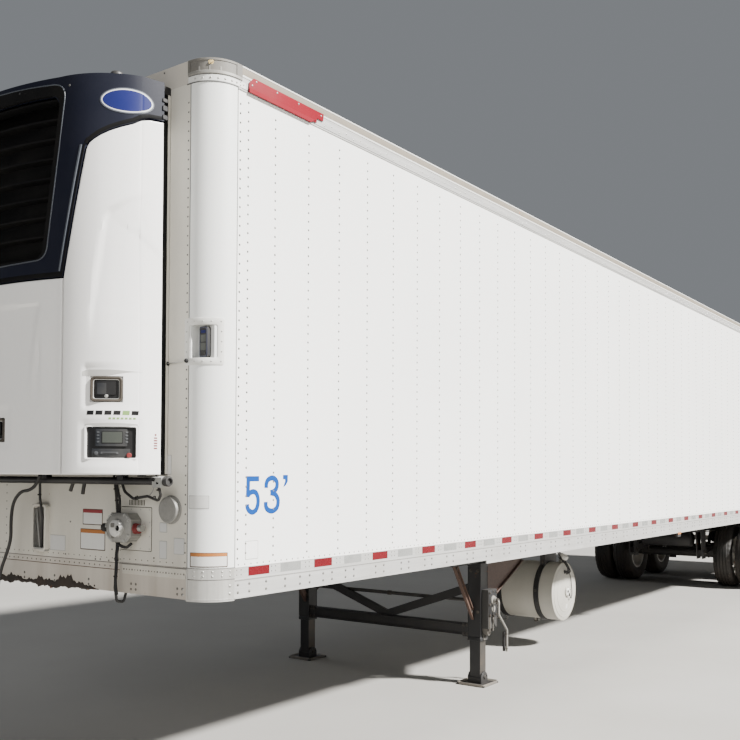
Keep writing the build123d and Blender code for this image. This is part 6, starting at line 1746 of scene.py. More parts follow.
# %% Leg fittings
LEG_Y, LEG_HALF = 0.944, 0.06
worn_edge = metal("worn_shoe_edge", (0.22, 0.2, 0.175), 0.5, 0.55, stain=0.5, levels=(0.2, 0.0), pitted=0.6)
worn_leg = metal("rubbed_inner_leg", (0.062, 0.057, 0.051), 0.45, 0.5, (1.0, 1.0, 0.04), stain=0.6,
                 stain_colour=(0.2, 0.15, 0.105), levels=(0.3, 0.0), pitted=0.5)
casting_grey = metal("gearbox_casting_grey", (0.115, 0.11, 0.1), 0.55, 0.35, stain=0.6,
                     stain_colour=(0.13, 0.1, 0.075), levels=(0.8, 0.3), pitted=0.8)
for side, sign in SIDES:
    leg = Forms()
    centre = Vector((LEG_X, sign * LEG_Y, 0.0))
    upright = spot(centre, (0, 0, 1), (1, 0, 0))
    # collar at the mouth of the outer tube, and the band above it
    square = lambda size, radius=0.008: rounded(size, size, radius, 3)
    leg.stack(upright, [(square(0.119), 0.372), (square(0.131), 0.374), (square(0.131), 0.4),
                        (square(0.127), 0.404), (square(0.119), 0.405)], 0)
    leg.stack(upright, [(square(0.119), 1.006), (square(0.134), 1.007), (square(0.134), 1.033),
                        (square(0.119), 1.034)], 0)
    # rubbed faces of the inner tube
    for normal in ((0, sign, 0), (0, -sign, 0)):
        face = spot(centre + Vector((0, 0.05 * normal[1], 0.212)), normal)
        leg.plate(face, 0.094, 0.326, 0.0006, 0.006, 0.0003, 1)
    # shoe: rocking block with cheeks, pin, and a rim pressed up round the plate
    for normal in ((0, sign, 0), (0, -sign, 0)):
        face = spot(centre + Vector((0, 0.06 * normal[1], 0.012)), normal)
        cheek = [(0.058, 0.0), (0.058, 0.052), (0.04, 0.082), (0.014, 0.094)]
        cheek = [(-0.058, 0.0)] + cheek + [(-x, y) for x, y in reversed(cheek[1:])]
        leg.stack(face, [(cheek, -0.01), (cheek, 0.005), ([(x * 0.97, y * 0.98) for x, y in cheek], 0.0065)], 0)
        pin = shifted(face, 0.0, 0.052, 0.0)
        leg.turned(pin, [(0.0175, 0.006), (0.0175, 0.013), (0.015, 0.016), (0.006, 0.0165)], 18, 2)
        leg.turned(shifted(pin, 0.034, 0.004, 0), [(0.006, 0.0062), (0.006, 0.007), (0.001, 0.0071)], 12, 3)
    leg.stack(upright, [(square(0.228, 0.02), 0.012), (square(0.236, 0.022), 0.0132),
                        (square(0.25, 0.024), 0.0205), (square(0.2585, 0.026), 0.0235),
                        (square(0.264, 0.028), 0.0215), (square(0.264, 0.028), 0.004),
                        (square(0.256, 0.028), 0.0005)], 4, OPEN)
    for x, y in corners_at(0.096, 0.096):
        leg.turned(shifted(upright, x, y, 0.012), [(0.008, 0.0), (0.008, 0.0012), (0.001, 0.0013)], 12, 3)
    # rounded stop tab at the mouth, with its bolt
    face = spot(centre + Vector((0, sign * 0.0655, 0.392)), (0, sign, 0))
    tab = [(-0.024, -0.014), (0.024, -0.014), (0.024, 0.03), (0.017, 0.044), (0.0, 0.05), (-0.017, 0.044),
           (-0.024, 0.03)]
    leg.stack(face, [(tab, -0.006), (tab, 0.006), ([(x * 0.93, y * 0.96) for x, y in tab], 0.008)], 5)
    leg.bolt(shifted(face, 0, 0.022, 0.008), 0.022, 0.012, 2)
    # weld beads down the corners and bolts that hold the mount
    for x, y in corners_at(0.0605, 0.0605):
        leg.tube([upright @ Vector((x, y, z)) for z in (0.408, 0.7, 1.0)], 0.0032, 6, 0)
    for x in (-0.36, -0.24, -0.12, 0.16, 0.34, 0.52, 0.7):
        leg.bolt(spot((LEG_X - x, sign * (LEG_Y + 0.045), 1.074), (0, sign, 0)), 0.019, 0.011, 2)
    for x in (-0.085, 0.085):
        for z in (0.62, 0.97):
            leg.bolt(spot((LEG_X + 0.06, sign * LEG_Y + x * 0.4, z), (1, 0, 0)), 0.018, 0.01, 2)
    leg.make(f"leg_fittings_{side}", [leg_black, worn_leg, dull_steel, black_louvre_and_shade, worn_edge, casting_grey],
             slot="dark_steel")

# %% [markdown]
# ## Gearbox, crank and frame
# A cover with its bolts, a second casting down to the leg's face, and a crank
# that folds against it. The frame adds pressed edges, bolts and shaft collars.

# %% Gearbox and crank handle
drive = Forms()
box_x, box_face = behind(3.572), LEG_Y + LEG_HALF + 0.064
cover = spot((box_x, box_face, 0.665), (0, 1, 0))
shape = [(0.046, -0.09), (0.066, -0.07), (0.068, 0.122), (0.052, 0.138)]
shape = [(-0.066, -0.07), (-0.046, -0.09)] + shape + [(-0.052, 0.138), (-0.068, 0.122)]
drive.stack(cover, [(shape, -0.002), (shape, 0.005), ([(x * 0.96, y * 0.97) for x, y in shape], 0.0075)], 4)
for x, y in ((-0.055, -0.072), (0.055, -0.072), (-0.058, 0.02), (0.058, 0.02), (-0.055, 0.118), (0.055, 0.118),
             (0.0, 0.128), (0.0, -0.08)):
    drive.bolt(shifted(cover, x, y, 0.007), 0.013, 0.008, 2)
drive.turned(shifted(cover, 0, 0.055, 0),
             [(0.04, 0.006), (0.038, 0.014), (0.024, 0.018), (0.022, 0.036), (0.016, 0.038)], 24, 0)
drive.turned(shifted(cover, 0, -0.02, 0), [(0.03, 0.006), (0.029, 0.012), (0.012, 0.015), (0.002, 0.015)], 24,
             0)
# lower casting: two ribs that close to a rounded foot on the leg's outer face
lower = spot((LEG_X - 0.01, LEG_Y + LEG_HALF, 0.5), (0, 1, 0))
toe = [(0.05, 0.085), (0.046, -0.01), (0.03, -0.066), (0.012, -0.084)]
toe += [(-x, y) for x, y in reversed(toe)]
drive.stack(lower, [(toe, 0.0), (toe, 0.04), ([(x * 0.92, y * 0.96) for x, y in toe], 0.046)], 1)
for x in (-0.03, 0.03):
    rib = spot((LEG_X - 0.01 - x, LEG_Y + LEG_HALF + 0.046, 0.52), (0, 1, 0))
    drive.plate(rib, 0.012, 0.128, 0.026, 0.004, 0.003, 1)
drive.plate(spot((LEG_X - 0.01, LEG_Y + LEG_HALF + 0.046, 0.53), (0, 1, 0)), 0.034, 0.096, 0.016, 0.006, 0.003,
            1)
drive.bolt(shifted(lower, 0, -0.06, 0.044), 0.016, 0.01, 2)
# %% Crank
# crank: knuckle, folded handle with its grip, and the hook that parks it
knuckle = Vector((box_x, box_face + 0.06, 0.72))
drive.turned(spot(knuckle - Vector((0, 0.044, 0)), (0, 1, 0)),
             [(0.014, 0.0), (0.019, 0.003), (0.019, 0.04), (0.016, 0.044)], 18, 2)
drive.turned(spot(knuckle + Vector((0, 0, -0.028)), (0, 0, 1)),
             [(0.013, 0.0), (0.0165, 0.004), (0.0165, 0.044), (0.013, 0.048)], 18, 2)
grip_x, grip_y = box_x - 0.15 + 0.011, box_face + 0.06 - 0.022
drive.tube([(grip_x, grip_y, z) for z in (0.268, 0.272, 0.3, 0.4, 0.432, 0.436)],
           lambda t: 0.0125 if 0.05 < t < 0.95 else 0.009, 16, 3)
for z in (0.29, 0.415):
    drive.plate(spot((box_x - 0.15 + 0.005, box_face + 0.049, z), (0, 0, 1), (0, 1, 0)), 0.03, 0.046, 0.004,
                0.01, 0.001, 2)
hook = flowing([(box_x - 0.06, LEG_Y + 0.03, 0.56), (box_x - 0.095, LEG_Y + 0.075, 0.556),
                (box_x - 0.112, box_face + 0.055, 0.548), (box_x - 0.118, box_face + 0.078, 0.556),
                (box_x - 0.108, box_face + 0.082, 0.572)], 5)
drive.tube(hook, 0.0055, 10, 2)
drive.make("landing_gear_drive_fittings", [drive_grey, casting_grey, dull_steel, black_rubber, leg_black],
           slot="grey_steel")

# %% Frame details
bracing = Forms()
for z in (0.4125, 0.4965):
    bracing.plate(spot((LEG_X + 0.035, 0.0, z + 0.001), (1, 0, 0)), 1.764, 0.01, 0.012, 0.002, 0.002)
for sign in (1, -1):
    bracing.plate(spot((LEG_X + 0.035, sign * 0.85, 0.457), (1, 0, 0)), 0.066, 0.12, 0.009, 0.006, 0.0015)
    for y in (0.832, 0.868):
        for z in (0.418, 0.496):
            bracing.bolt(spot((LEG_X + 0.044, sign * y, z), (1, 0, 0)), 0.017, 0.01, 1)
    # pressed web of the braces ahead of the legs: a raised edge along each
    low, high = (Vector((LEG_X + x, sign * 0.928, z)) for x, z in ((0.062, 0.594), (0.357, 1.03)))
    for start, end in (((0.062, 0.553), (0.384, 1.032)), ((0.062, 0.634), (0.334, 1.032))):
        edge_low, edge_high = (Vector((LEG_X + x, sign * 0.926, z)) for x, z in (start, end))
        run = (edge_high - edge_low).normalized()
        local = spot(edge_low.lerp(edge_high, 0.5), (0, sign, 0), run)
        bracing.plate(local, 0.01, (edge_high - edge_low).length, 0.016, 0.002, 0.002, 2)
    for along in (0.06, 0.94):
        bracing.bolt(spot(low.lerp(high, along), (0, sign, 0)), 0.02, 0.011, 1)
    # flanged lower edge of the gusset behind the leg
    flange_low, flange_high = (Vector((LEG_X - x, sign * LEG_Y, z)) for x, z in ((0.06, 0.629), (0.832, 0.996)))
    run = (flange_high - flange_low).normalized()
    local = spot(flange_low.lerp(flange_high, 0.5), Vector((0, 1, 0)).cross(run), run)
    bracing.plate(local, 0.052, (flange_high - flange_low).length, 0.01, 0.002, 0.002, 0, -0.005)
for y in (-0.55, 0.0, 0.55):
    bracing.turned(spot((LEG_X - 0.036, y - 0.02, 0.7), (0, 1, 0)),
                   [(0.0165, 0.0), (0.021, 0.002), (0.021, 0.038), (0.0165, 0.04)], 16, 1)
bracing.make("gear_frame_details", [frame_black, dull_steel, rust_brown], slot="dark_steel")

# %% [markdown]
# ## Fuel tank
# The unit's engine drinks from its own small tank, a rolled steel drum with
# pressed ends, held up by two straps. Welds run round both ends. A level
# sender sits in the middle of the near end, and the filler cap on top. Most of
# it is round, so profiles turned about the tank's own line give it, and what
# lies on the dished end is placed by the same circle that shapes that end.

# %% Tank bands and straps
TANK = Vector((behind(5.575), 0.0, 0.575))
TANK_ENDS, END_RADIUS, END_RISE = (0.2, 0.84), 1.3032, 0.035
strap_black = moulded("strap_black", (0.008, 0.008, 0.009), 0.5, dust=0.1)
cap_white = paint("filler_cap_white", (0.66, 0.65, 0.61), 0.4, dirt=0.25, levels=(0.6, 0.3))
tank = Forms()


def around_tank(y, profile, mark=0):
    """A ring round the tank, from (radius, y from its place) pairs."""
    tank.turned(spot(TANK + Vector((0, y, 0)), (0, 1, 0)), profile, 64, mark, OPEN)


def dome_at(x, z, out=0.0, sign=1):
    """A place on the dished end of the tank, x and z from its middle."""
    reach = math.sqrt(END_RADIUS ** 2 - x * x - z * z) - END_RADIUS + END_RISE
    y = TANK_ENDS[1] + reach + out if sign > 0 else TANK_ENDS[0] - reach - out
    return TANK + Vector((-x, y, z))


for y in (0.836, 0.204):
    around_tank(y, [(0.2985, -0.008), (0.303, -0.005), (0.3042, 0.0), (0.303, 0.005), (0.2985, 0.008)])
    side = 1 if y > 0.5 else -1
    for radius, height in ((0.262, 0.0022), (0.205, 0.0016)):
        base = dome_at(radius, 0.0, 0.0, side).y - TANK.y
        around_tank(base, [(radius - 0.01, -0.004 * side), (radius - 0.004, height * side),
                           (radius + 0.004, height * side), (radius + 0.01, -0.006 * side)])
for y in (0.662, 0.236):
    half = [(0.3055, -0.0275), (0.3105, -0.0275), (0.3115, -0.0255), (0.3115, -0.019), (0.3085, -0.017),
            (0.3085, -0.0045), (0.311, -0.003)]
    around_tank(y, half + [(radius, -out) for radius, out in reversed(half)], 1)
    for x in (-0.14, 0.14):
        for z in (0.885, 1.02):
            tank.bolt(spot((TANK.x + x, y, z), (1 if x > 0 else -1, 0, 0)), 0.02, 0.012, 2)
    lug = spot((TANK.x + 0.315, y, 0.6), (1, 0, 0))
    tank.plate(lug, 0.04, 0.06, 0.012, 0.005, 0.002, 1, -0.01)
    tank.bolt(shifted(lug, 0, 0, 0.002), 0.018, 0.01, 2)
print("tank bands and straps:", len(tank.faces), "faces")

# %% Level sender and lines
centre = spot(dome_at(0.0, 0.0, 0.012), (0, 1, 0))
tank.turned(centre, [(0.056, -0.012), (0.056, -0.004), (0.053, -0.0015), (0.042, -0.001)], 32, 0)
tank.turned(centre, [(0.0385, -0.004), (0.0385, 0.0008), (0.036, 0.002), (0.001, 0.0022)], 28, 3)
for k in range(5):
    tank.bolt(shifted(centre, 0.0475, 0, -0.002, turn=k * 1.2566 + 0.4), 0.008, 0.005, 2, False)
tank.turned(shifted(centre, -0.012, 0.004, 0), [(0.014, 0.0), (0.014, 0.007), (0.01, 0.0095), (0.002, 0.01)],
            16, 4)
tank.plate(shifted(centre, 0.018, -0.03, 0), 0.016, 0.03, 0.01, 0.004, 0.002, 4)
lead = flowing([dome_at(0.018, -0.03, 0.02), dome_at(0.06, -0.075, 0.02), dome_at(0.105, -0.02, 0.012),
                dome_at(0.09, 0.12, 0.012), dome_at(0.052, 0.205, 0.014), dome_at(0.04, 0.27, 0.02),
                TANK + Vector((-0.036, 0.8, 0.34)), TANK + Vector((-0.03, 0.72, 0.48))], 6)
tank.tube(lead, 0.0042, 8, 4)
tank.plate(spot(dome_at(0.006, -0.155, -0.0015), (0, 1, -0.12)), 0.04, 0.048, 0.0022, 0.003, 0.0005, 5)
# supply and return fittings at the top of the near end
for x, z in ((0.02, 0.19), (-0.028, 0.205)):
    place = spot(dome_at(x, z, -0.004), (0, 1, 0.14))
    tank.turned(place, [(0.02, 0.0), (0.02, 0.008), (0.014, 0.01), (0.014, 0.024), (0.009, 0.027)], 16, 4)
    line = flowing([dome_at(x, z, 0.02), dome_at(x + 0.002, z + 0.022, 0.042), dome_at(x, z + 0.075, 0.03),
                    TANK + Vector((-x, 0.83, 0.33)), TANK + Vector((-x + 0.02, 0.77, 0.43)),
                    TANK + Vector((-x + 0.04, 0.64, 0.52))], 6)
    tank.tube(line, 0.0075, 10, 4)
print("with its sender and lines:", len(tank.faces), "faces")

# %% Filler and drain
# filler neck ring, white cap with its grip, and chain
neck = Vector((TANK.x - 0.03, 0.81, 0.91))
axis = Vector((0.0, 22.0, 40.0)).normalized()
tank.turned(spot(neck - axis * 0.006, axis, (1, 0, 0)),
            [(0.04, 0.0), (0.046, 0.003), (0.046, 0.01), (0.04, 0.012)], 28, 4)
grip = [(0.0435, 0.012), (0.047, 0.015), (0.047, 0.046), (0.043, 0.052), (0.026, 0.0545), (0.001, 0.055)]
tank.turned(spot(neck - axis * 0.006, axis, (1, 0, 0)), grip, 32, 3)
for k in range(14):
    rib = shifted(spot(neck, axis, (1, 0, 0)), 0.0465, 0, 0.012, turn=k * math.tau / 14)
    tank.plate(rib, 0.006, 0.005, 0.028, 0.001, 0.0015, 3)
# drain plug and small tap underneath
drain = spot((TANK.x, 0.52, 0.247), (0, 0, -1), (1, 0, 0))
tank.bolt(drain, 0.026, 0.016, 2)
tap = spot((TANK.x + 0.05, 0.56, 0.279), (0, 0, -1), (1, 0, 0))
tank.turned(tap, [(0.012, -0.006), (0.012, 0.006), (0.008, 0.008), (0.008, 0.026), (0.011, 0.028),
                  (0.011, 0.034), (0.003, 0.036)], 14, 2)
tank.plate(shifted(tap, 0.014, 0, 0.018), 0.03, 0.007, 0.004, 0.002, 0.001, 3)
tank.make("tank_fittings", [tank_paint, strap_black, dull_steel, cap_white, black_plastic, sticker_grey],
          slot="white_plastic")

# %% [markdown]
# ## Rear end
# Two full-height doors swing right round to the sides, on four hinges each.
# A rubber gasket runs round every leaf. Each lock rod turns in bearings bolted
# to the door, and hooks its two cams into keepers on the frame. The lamps sit
# in the sill and the header, and striped tape outlines doors and guard. One
# loop makes both leaves, and each leaf's pieces ride with it when it opens.

# %% Doors
REAR_FACE = behind(16.084)
DOOR_Z = (1.3836, 3.919)
HANDLE_Z = 1.7056
lens_red = moulded("lamp_lens_red", (0.19, 0.004, 0.006), 0.16, dust=0.06, grain=240.0, coat=0.5)
lens_amber = moulded("lamp_lens_amber", (0.42, 0.13, 0.006), 0.16, dust=0.06, grain=240.0, coat=0.5)


def rear_local(y, z, out=0.0):
    return spot((REAR_FACE - out, y, z), (-1, 0, 0))


for side, sign in SIDES:
    body = f"rear_door_{side}"
    door = Forms()
    middle_y, middle_z = sign * 0.619, (DOOR_Z[0] + DOOR_Z[1]) / 2
    wide, high = 1.222, DOOR_Z[1] - DOOR_Z[0]
    door.frame(rear_local(middle_y, middle_z), wide - 0.002, high - 0.002, wide - 0.04, high - 0.04, 0.0045,
               0.012, 0, 0.0, 0.002)
    for level in (0.36, 0.66, 1.88, 2.18):
        door.plate(rear_local(middle_y, DOOR_Z[0] + level), wide - 0.07, 0.006, 0.0012, 0.001, 0.0005, 1)
    for edge in (-1, 1):
        for step in range(34):
            z = DOOR_Z[0] + 0.06 + (high - 0.12) * step / 33
            door.dome(rear_local(middle_y + edge * (wide / 2 - 0.03), z), 0.0058, 0.003, 6, 2)
    for level in (DOOR_Z[0] + 0.035, DOOR_Z[1] - 0.035):
        for step in range(16):
            door.dome(rear_local(middle_y - 0.52 + 1.04 * step / 15, level), 0.0058, 0.003, 6, 2)
    for step in range(4):
        red = step % 2 == (0 if sign > 0 else 1)
        door.plate(rear_local(sign * (0.16 + 0.3 * step), DOOR_Z[0] + 0.085), 0.285, 0.05, 0.0008, 0.001,
                   0.0002, 3 if red else 4)
    door.make(f"door_gasket_and_tape_{side}", [black_rubber, seam_sealant, rivet_shade_grey, red_tape, silver_tape],
              body, slot="black_rubber")
    fittings = Forms()
    rod_face = REAR_FACE - 0.024
    for y in (0.16, 0.62):
        for share in (0.03, 0.27, 0.5, 0.73, 0.97):
            z = DOOR_Z[0] + high * share
            for x, up in corners_at(0.022, 0.02):
                fittings.bolt(rear_local(sign * y + x, z + up, 0.0375), 0.009, 0.004, 0, False)
            fittings.turned(spot((rod_face, sign * y, z - 0.034), (0, 0, 1)),
                            [(0.014, 0.0), (0.0175, 0.002), (0.0175, 0.066), (0.014, 0.068)], 18, 0)
        fittings.turned(spot((rod_face, sign * y, HANDLE_Z - 0.03), (0, 0, 1)),
                        [(0.0142, 0.0), (0.019, 0.003), (0.019, 0.057), (0.0142, 0.06)], 18, 0)
        grip = [Vector((rod_face - 0.002, sign * (y + d), HANDLE_Z)) for d in (0.215, 0.222, 0.3, 0.327, 0.333)]
        fittings.tube(grip, lambda t: 0.0155 if 0.02 < t < 0.98 else 0.012, 14, 1)
        hasp = rear_local(sign * (y + 0.25), HANDLE_Z)
        fittings.plate(hasp, 0.06, 0.078, 0.004, 0.008, 0.001, 0)
        for up in (-0.031, 0.031):
            fittings.bolt(shifted(hasp, 0, up, 0.004), 0.012, 0.006, 0)
        fittings.plate(shifted(hasp, 0, -0.022, 0), 0.03, 0.01, 0.04, 0.002, 0.001, 0)
        for z in (DOOR_Z[0] + 0.03, DOOR_Z[1] - 0.03):
            cam = spot((rod_face, sign * y, z), (0, 0, 1), (0, 1, 0))
            fittings.turned(cam, [(0.0142, -0.018), (0.018, -0.016), (0.018, 0.016), (0.0142, 0.018)], 18, 0)
            fittings.plate(shifted(cam, 0, 0, -0.008), 0.032, 0.05, 0.016, 0.008, 0.002, 0)
    hinge_levels = [DOOR_Z[0] + high * (k + 0.5) / 4 for k in range(4)]
    for level in hinge_levels:
        for y in (1.005, 1.06, 1.115, 1.17):
            for up in (-0.018, 0.018):
                fittings.bolt(rear_local(sign * y, level + up, 0.0098), 0.012, 0.006, 0)
    fittings.make(f"lock_rod_fittings_{side}", [zinc_metal, black_rubber], body, slot="steel")

# %% Rear frame
rear = Forms()
for sign in (1, -1):
    for y in (0.16, 0.62):
        for z in (1.352, 3.955):
            keeper = rear_local(sign * y, z)
            rear.frame(keeper, 0.086, 0.046, 0.048, 0.022, 0.028, 0.006, 0)
            for x in (-0.034, 0.034):
                rear.bolt(shifted(keeper, x, 0, 0.028), 0.011, 0.005, 0, False)
    for level in hinge_levels:
        for up in (-0.044, 0.044):
            rear.bolt(spot((REAR_FACE + 0.03, sign * (HALF_WIDTH - 0.0002), level + up), (0, sign, 0)), 0.012,
                      0.0045, 0, False)
    # door holdback chain hooks at the sides, near the rear
    hook = spot((REAR_FACE + 0.95, sign * (HALF_WIDTH - 0.001), 1.335), (0, sign, 0))
    rear.plate(hook, 0.05, 0.026, 0.003, 0.004, 0.0008, 0)
    rear.tube(flowing([hook @ Vector(p) for p in ((0, 0, 0.001), (0, 0.003, 0.014), (0, 0.016, 0.017),
                                                  (0, 0.022, 0.011))], 4), 0.0035, 8, 0)
rear.make("rear_frame_fittings", [zinc_metal], slot="steel")

# %% Lamps
lamps = Forms()
bezels = Forms()
for sign in (1, -1):
    for y in (0.56, 0.7, 0.84):
        local = rear_local(sign * y, 1.185, 0.018)
        lamps.turned(local, [(0.0505, -0.008), (0.0505, 0.0), (0.046, 0.006), (0.034, 0.0095), (0.018, 0.0112),
                             (0.002, 0.0118)], 36, 0)
        bezels.turned(local, [(0.0525, -0.016), (0.06, -0.014), (0.06, -0.004), (0.056, 0.0), (0.0515, -0.001)],
                      36, 0)
    for x, mark in ((behind(8.0), 1), (REAR_FACE + 0.42, 0)):
        local = spot((x, sign * (HALF_WIDTH - 0.004), 1.081), (0, sign, 0))
        for shift in (-0.03, 0.03):
            lamps.plate(shifted(local, shift, 0, 0), 0.054, 0.04, 0.0085, 0.01, 0.004, mark, -0.004)
        bezels.frame(local, 0.124, 0.05, 0.118, 0.044, 0.003, 0.006, 0)
for y in (-0.15, 0.0, 0.15, -1.13, 1.13):
    local = rear_local(y, 4.0, 0.016)
    lamps.plate(local, 0.1, 0.026, 0.01, 0.008, 0.004, 0, -0.004)
    bezels.frame(local, 0.114, 0.036, 0.102, 0.028, 0.002, 0.006, 0)
lamps.make("lamp_lenses", [lens_red, lens_amber], slot="lamp_plastic")
bezels.make("lamp_bezels", [black_rubber], slot="black_rubber")

# %% Guard and bumpers
guard = Forms()
x_back = behind(16.154)
for k in range(8):
    y = -1.05 + 0.3 * k
    guard.plate(spot((x_back, y, 0.505), (-1, 0, 0)), 0.298, 0.05, 0.0008, 0.001, 0.0002, k % 2)
for sign in (1, -1):
    for z in (0.585, 0.64, 1.01, 1.07):
        for y in (-0.028, 0.028):
            guard.bolt(spot((x_back, sign * 0.48 + y, z), (-1, 0, 0)), 0.02, 0.011, 2)
    bumper = spot((behind(16.164), sign * 1.09, 1.2406), (-1, 0, 0))
    for x in (-0.095, 0.0, 0.095):
        guard.turned(shifted(bumper, x, 0, 0),
                     [(0.024, -0.006), (0.024, -0.002), (0.018, -0.0015), (0.016, 0.0005), (0.001, 0.001)], 20,
                     2)
    for z in (-0.052, 0.052):
        guard.plate(shifted(bumper, 0, z, 0), 0.27, 0.01, 0.0012, 0.002, 0.0005, 3)
guard.make("guard_tape_and_bolts", [red_tape, silver_tape, dull_steel, black_louvre_and_shade], slot="dark_steel")

# %% Number plate
number = Forms()
local = rear_local(-0.33, 1.245)
number.plate(local, 0.31, 0.16, 0.0016, 0.01, 0.0005, 0, 0.002)
number.frame(local, 0.324, 0.174, 0.3, 0.15, 0.006, 0.012, 1)
for x in (-0.125, 0.125):
    number.bolt(shifted(local, x, 0.06, 0.0036), 0.01, 0.004, 2)
number.make("blank_number_plate", [plate_white, black_plastic, zinc_metal], slot="white_sheet")

# %% [markdown]
# ## Tyres
# A trailer tyre has straight ribs with narrow grooves between them, because it
# only rolls, and never pulls or steers. Notches along the shoulder let heat
# out. The tyre is turned from one outline; where a notch lies, the outline's
# points sit a little lower, so notches and grooves are one closed skin.

# %% Tyre finish
def tyre_finish():
    """Black rubber, with road dust that is worn off the tread and lies thick on the walls."""
    f = Finish("dusty_trailer_tyre")
    cloud = f.noise(4.0, 5.0, roughness=0.65)
    fine = f.noise(70.0, 4.0)
    low = f.axis("Z").ramp(0.55, 0.02)
    dust = cloud.ramp(0.38, 0.68) * 0.3 + low * 0.3 + fine.ramp(0.5, 0.8) * 0.12
    body = f.mix(fine, (0.005, 0.005, 0.0047), (0.0105, 0.0105, 0.0098))
    f.feed("Base Color", f.mix(dust.least(0.7), body, (0.06, 0.044, 0.031)))
    f.feed("Roughness", dust * 0.35 + 0.62)
    f.bump(fine * 0.5 + cloud * 0.3, 0.0012, 0.4)
    return f.material


tyre_rubber = tyre_finish()
# %% Outline of a tyre
TYRE_RADIUS, TWIN_Y, TWIN_HALF = 0.508, 0.984, 0.1685
# (distance from the middle, radius, how deep a shoulder notch cuts here)
WALL = [(0.105, 0.286, 0), (0.105, 0.302, 0), (0.117, 0.304, 0), (0.122, 0.312, 0), (0.121, 0.322, 0),
        (0.128, 0.331, 0), (0.1335, 0.345, 0), (0.1375, 0.366, 0), (0.1392, 0.384, 0), (0.1412, 0.387, 0),
        (0.1412, 0.391, 0), (0.1398, 0.394, 0), (0.14, 0.412, 0), (0.1392, 0.426, 0), (0.141, 0.429, 0),
        (0.1408, 0.433, 0), (0.139, 0.436, 0), (0.1375, 0.45, 0), (0.1352, 0.464, 0), (0.1335, 0.47, 0.003),
        (0.129, 0.482, 0.009), (0.119, 0.4915, 0.011), (0.101, 0.4962, 0.01), (0.086, 0.499, 0.006),
        (0.078, 0.501, 0)]
GROOVES = ((0.07, 0.0045), (0.0245, 0.0042))
DEPTH = 0.013


def crown(y):
    return TYRE_RADIUS - max(abs(y) - 0.0588, 0.0) * 0.3


half = list(WALL)
for middle, wide in GROOVES:
    half += [(middle + wide + 0.0012, crown(middle), 0), (middle + wide, crown(middle) - 0.0015, 0),
             (middle + wide * 0.7, crown(middle) - DEPTH, 0), (middle - wide * 0.7, crown(middle) - DEPTH, 0),
             (middle - wide, crown(middle) - 0.0015, 0), (middle - wide - 0.0012, crown(middle), 0)]
half += [(0.006, TYRE_RADIUS, 0)]
TYRE_OUTLINE = half + [(-y, r, cut) for y, r, cut in reversed(half)]
TYRE_STEPS = 120
print("tyre outline:", len(TYRE_OUTLINE), "points,", TYRE_STEPS, "steps round")


# %% Turned tyre
def turned_tyre(form, x, y, z):
    rings = []
    for offset, radius, cut in TYRE_OUTLINE:
        ring = []
        for k in range(TYRE_STEPS):
            angle = math.tau * k / TYRE_STEPS
            r = radius - (cut if k % 3 == 0 else 0.0)
            ring.append((x + r * math.sin(angle), y + offset, z + r * math.cos(angle)))
        rings.append(ring)
    rings.append(rings[0])
    form.rings(rings, 0, True, OPEN)


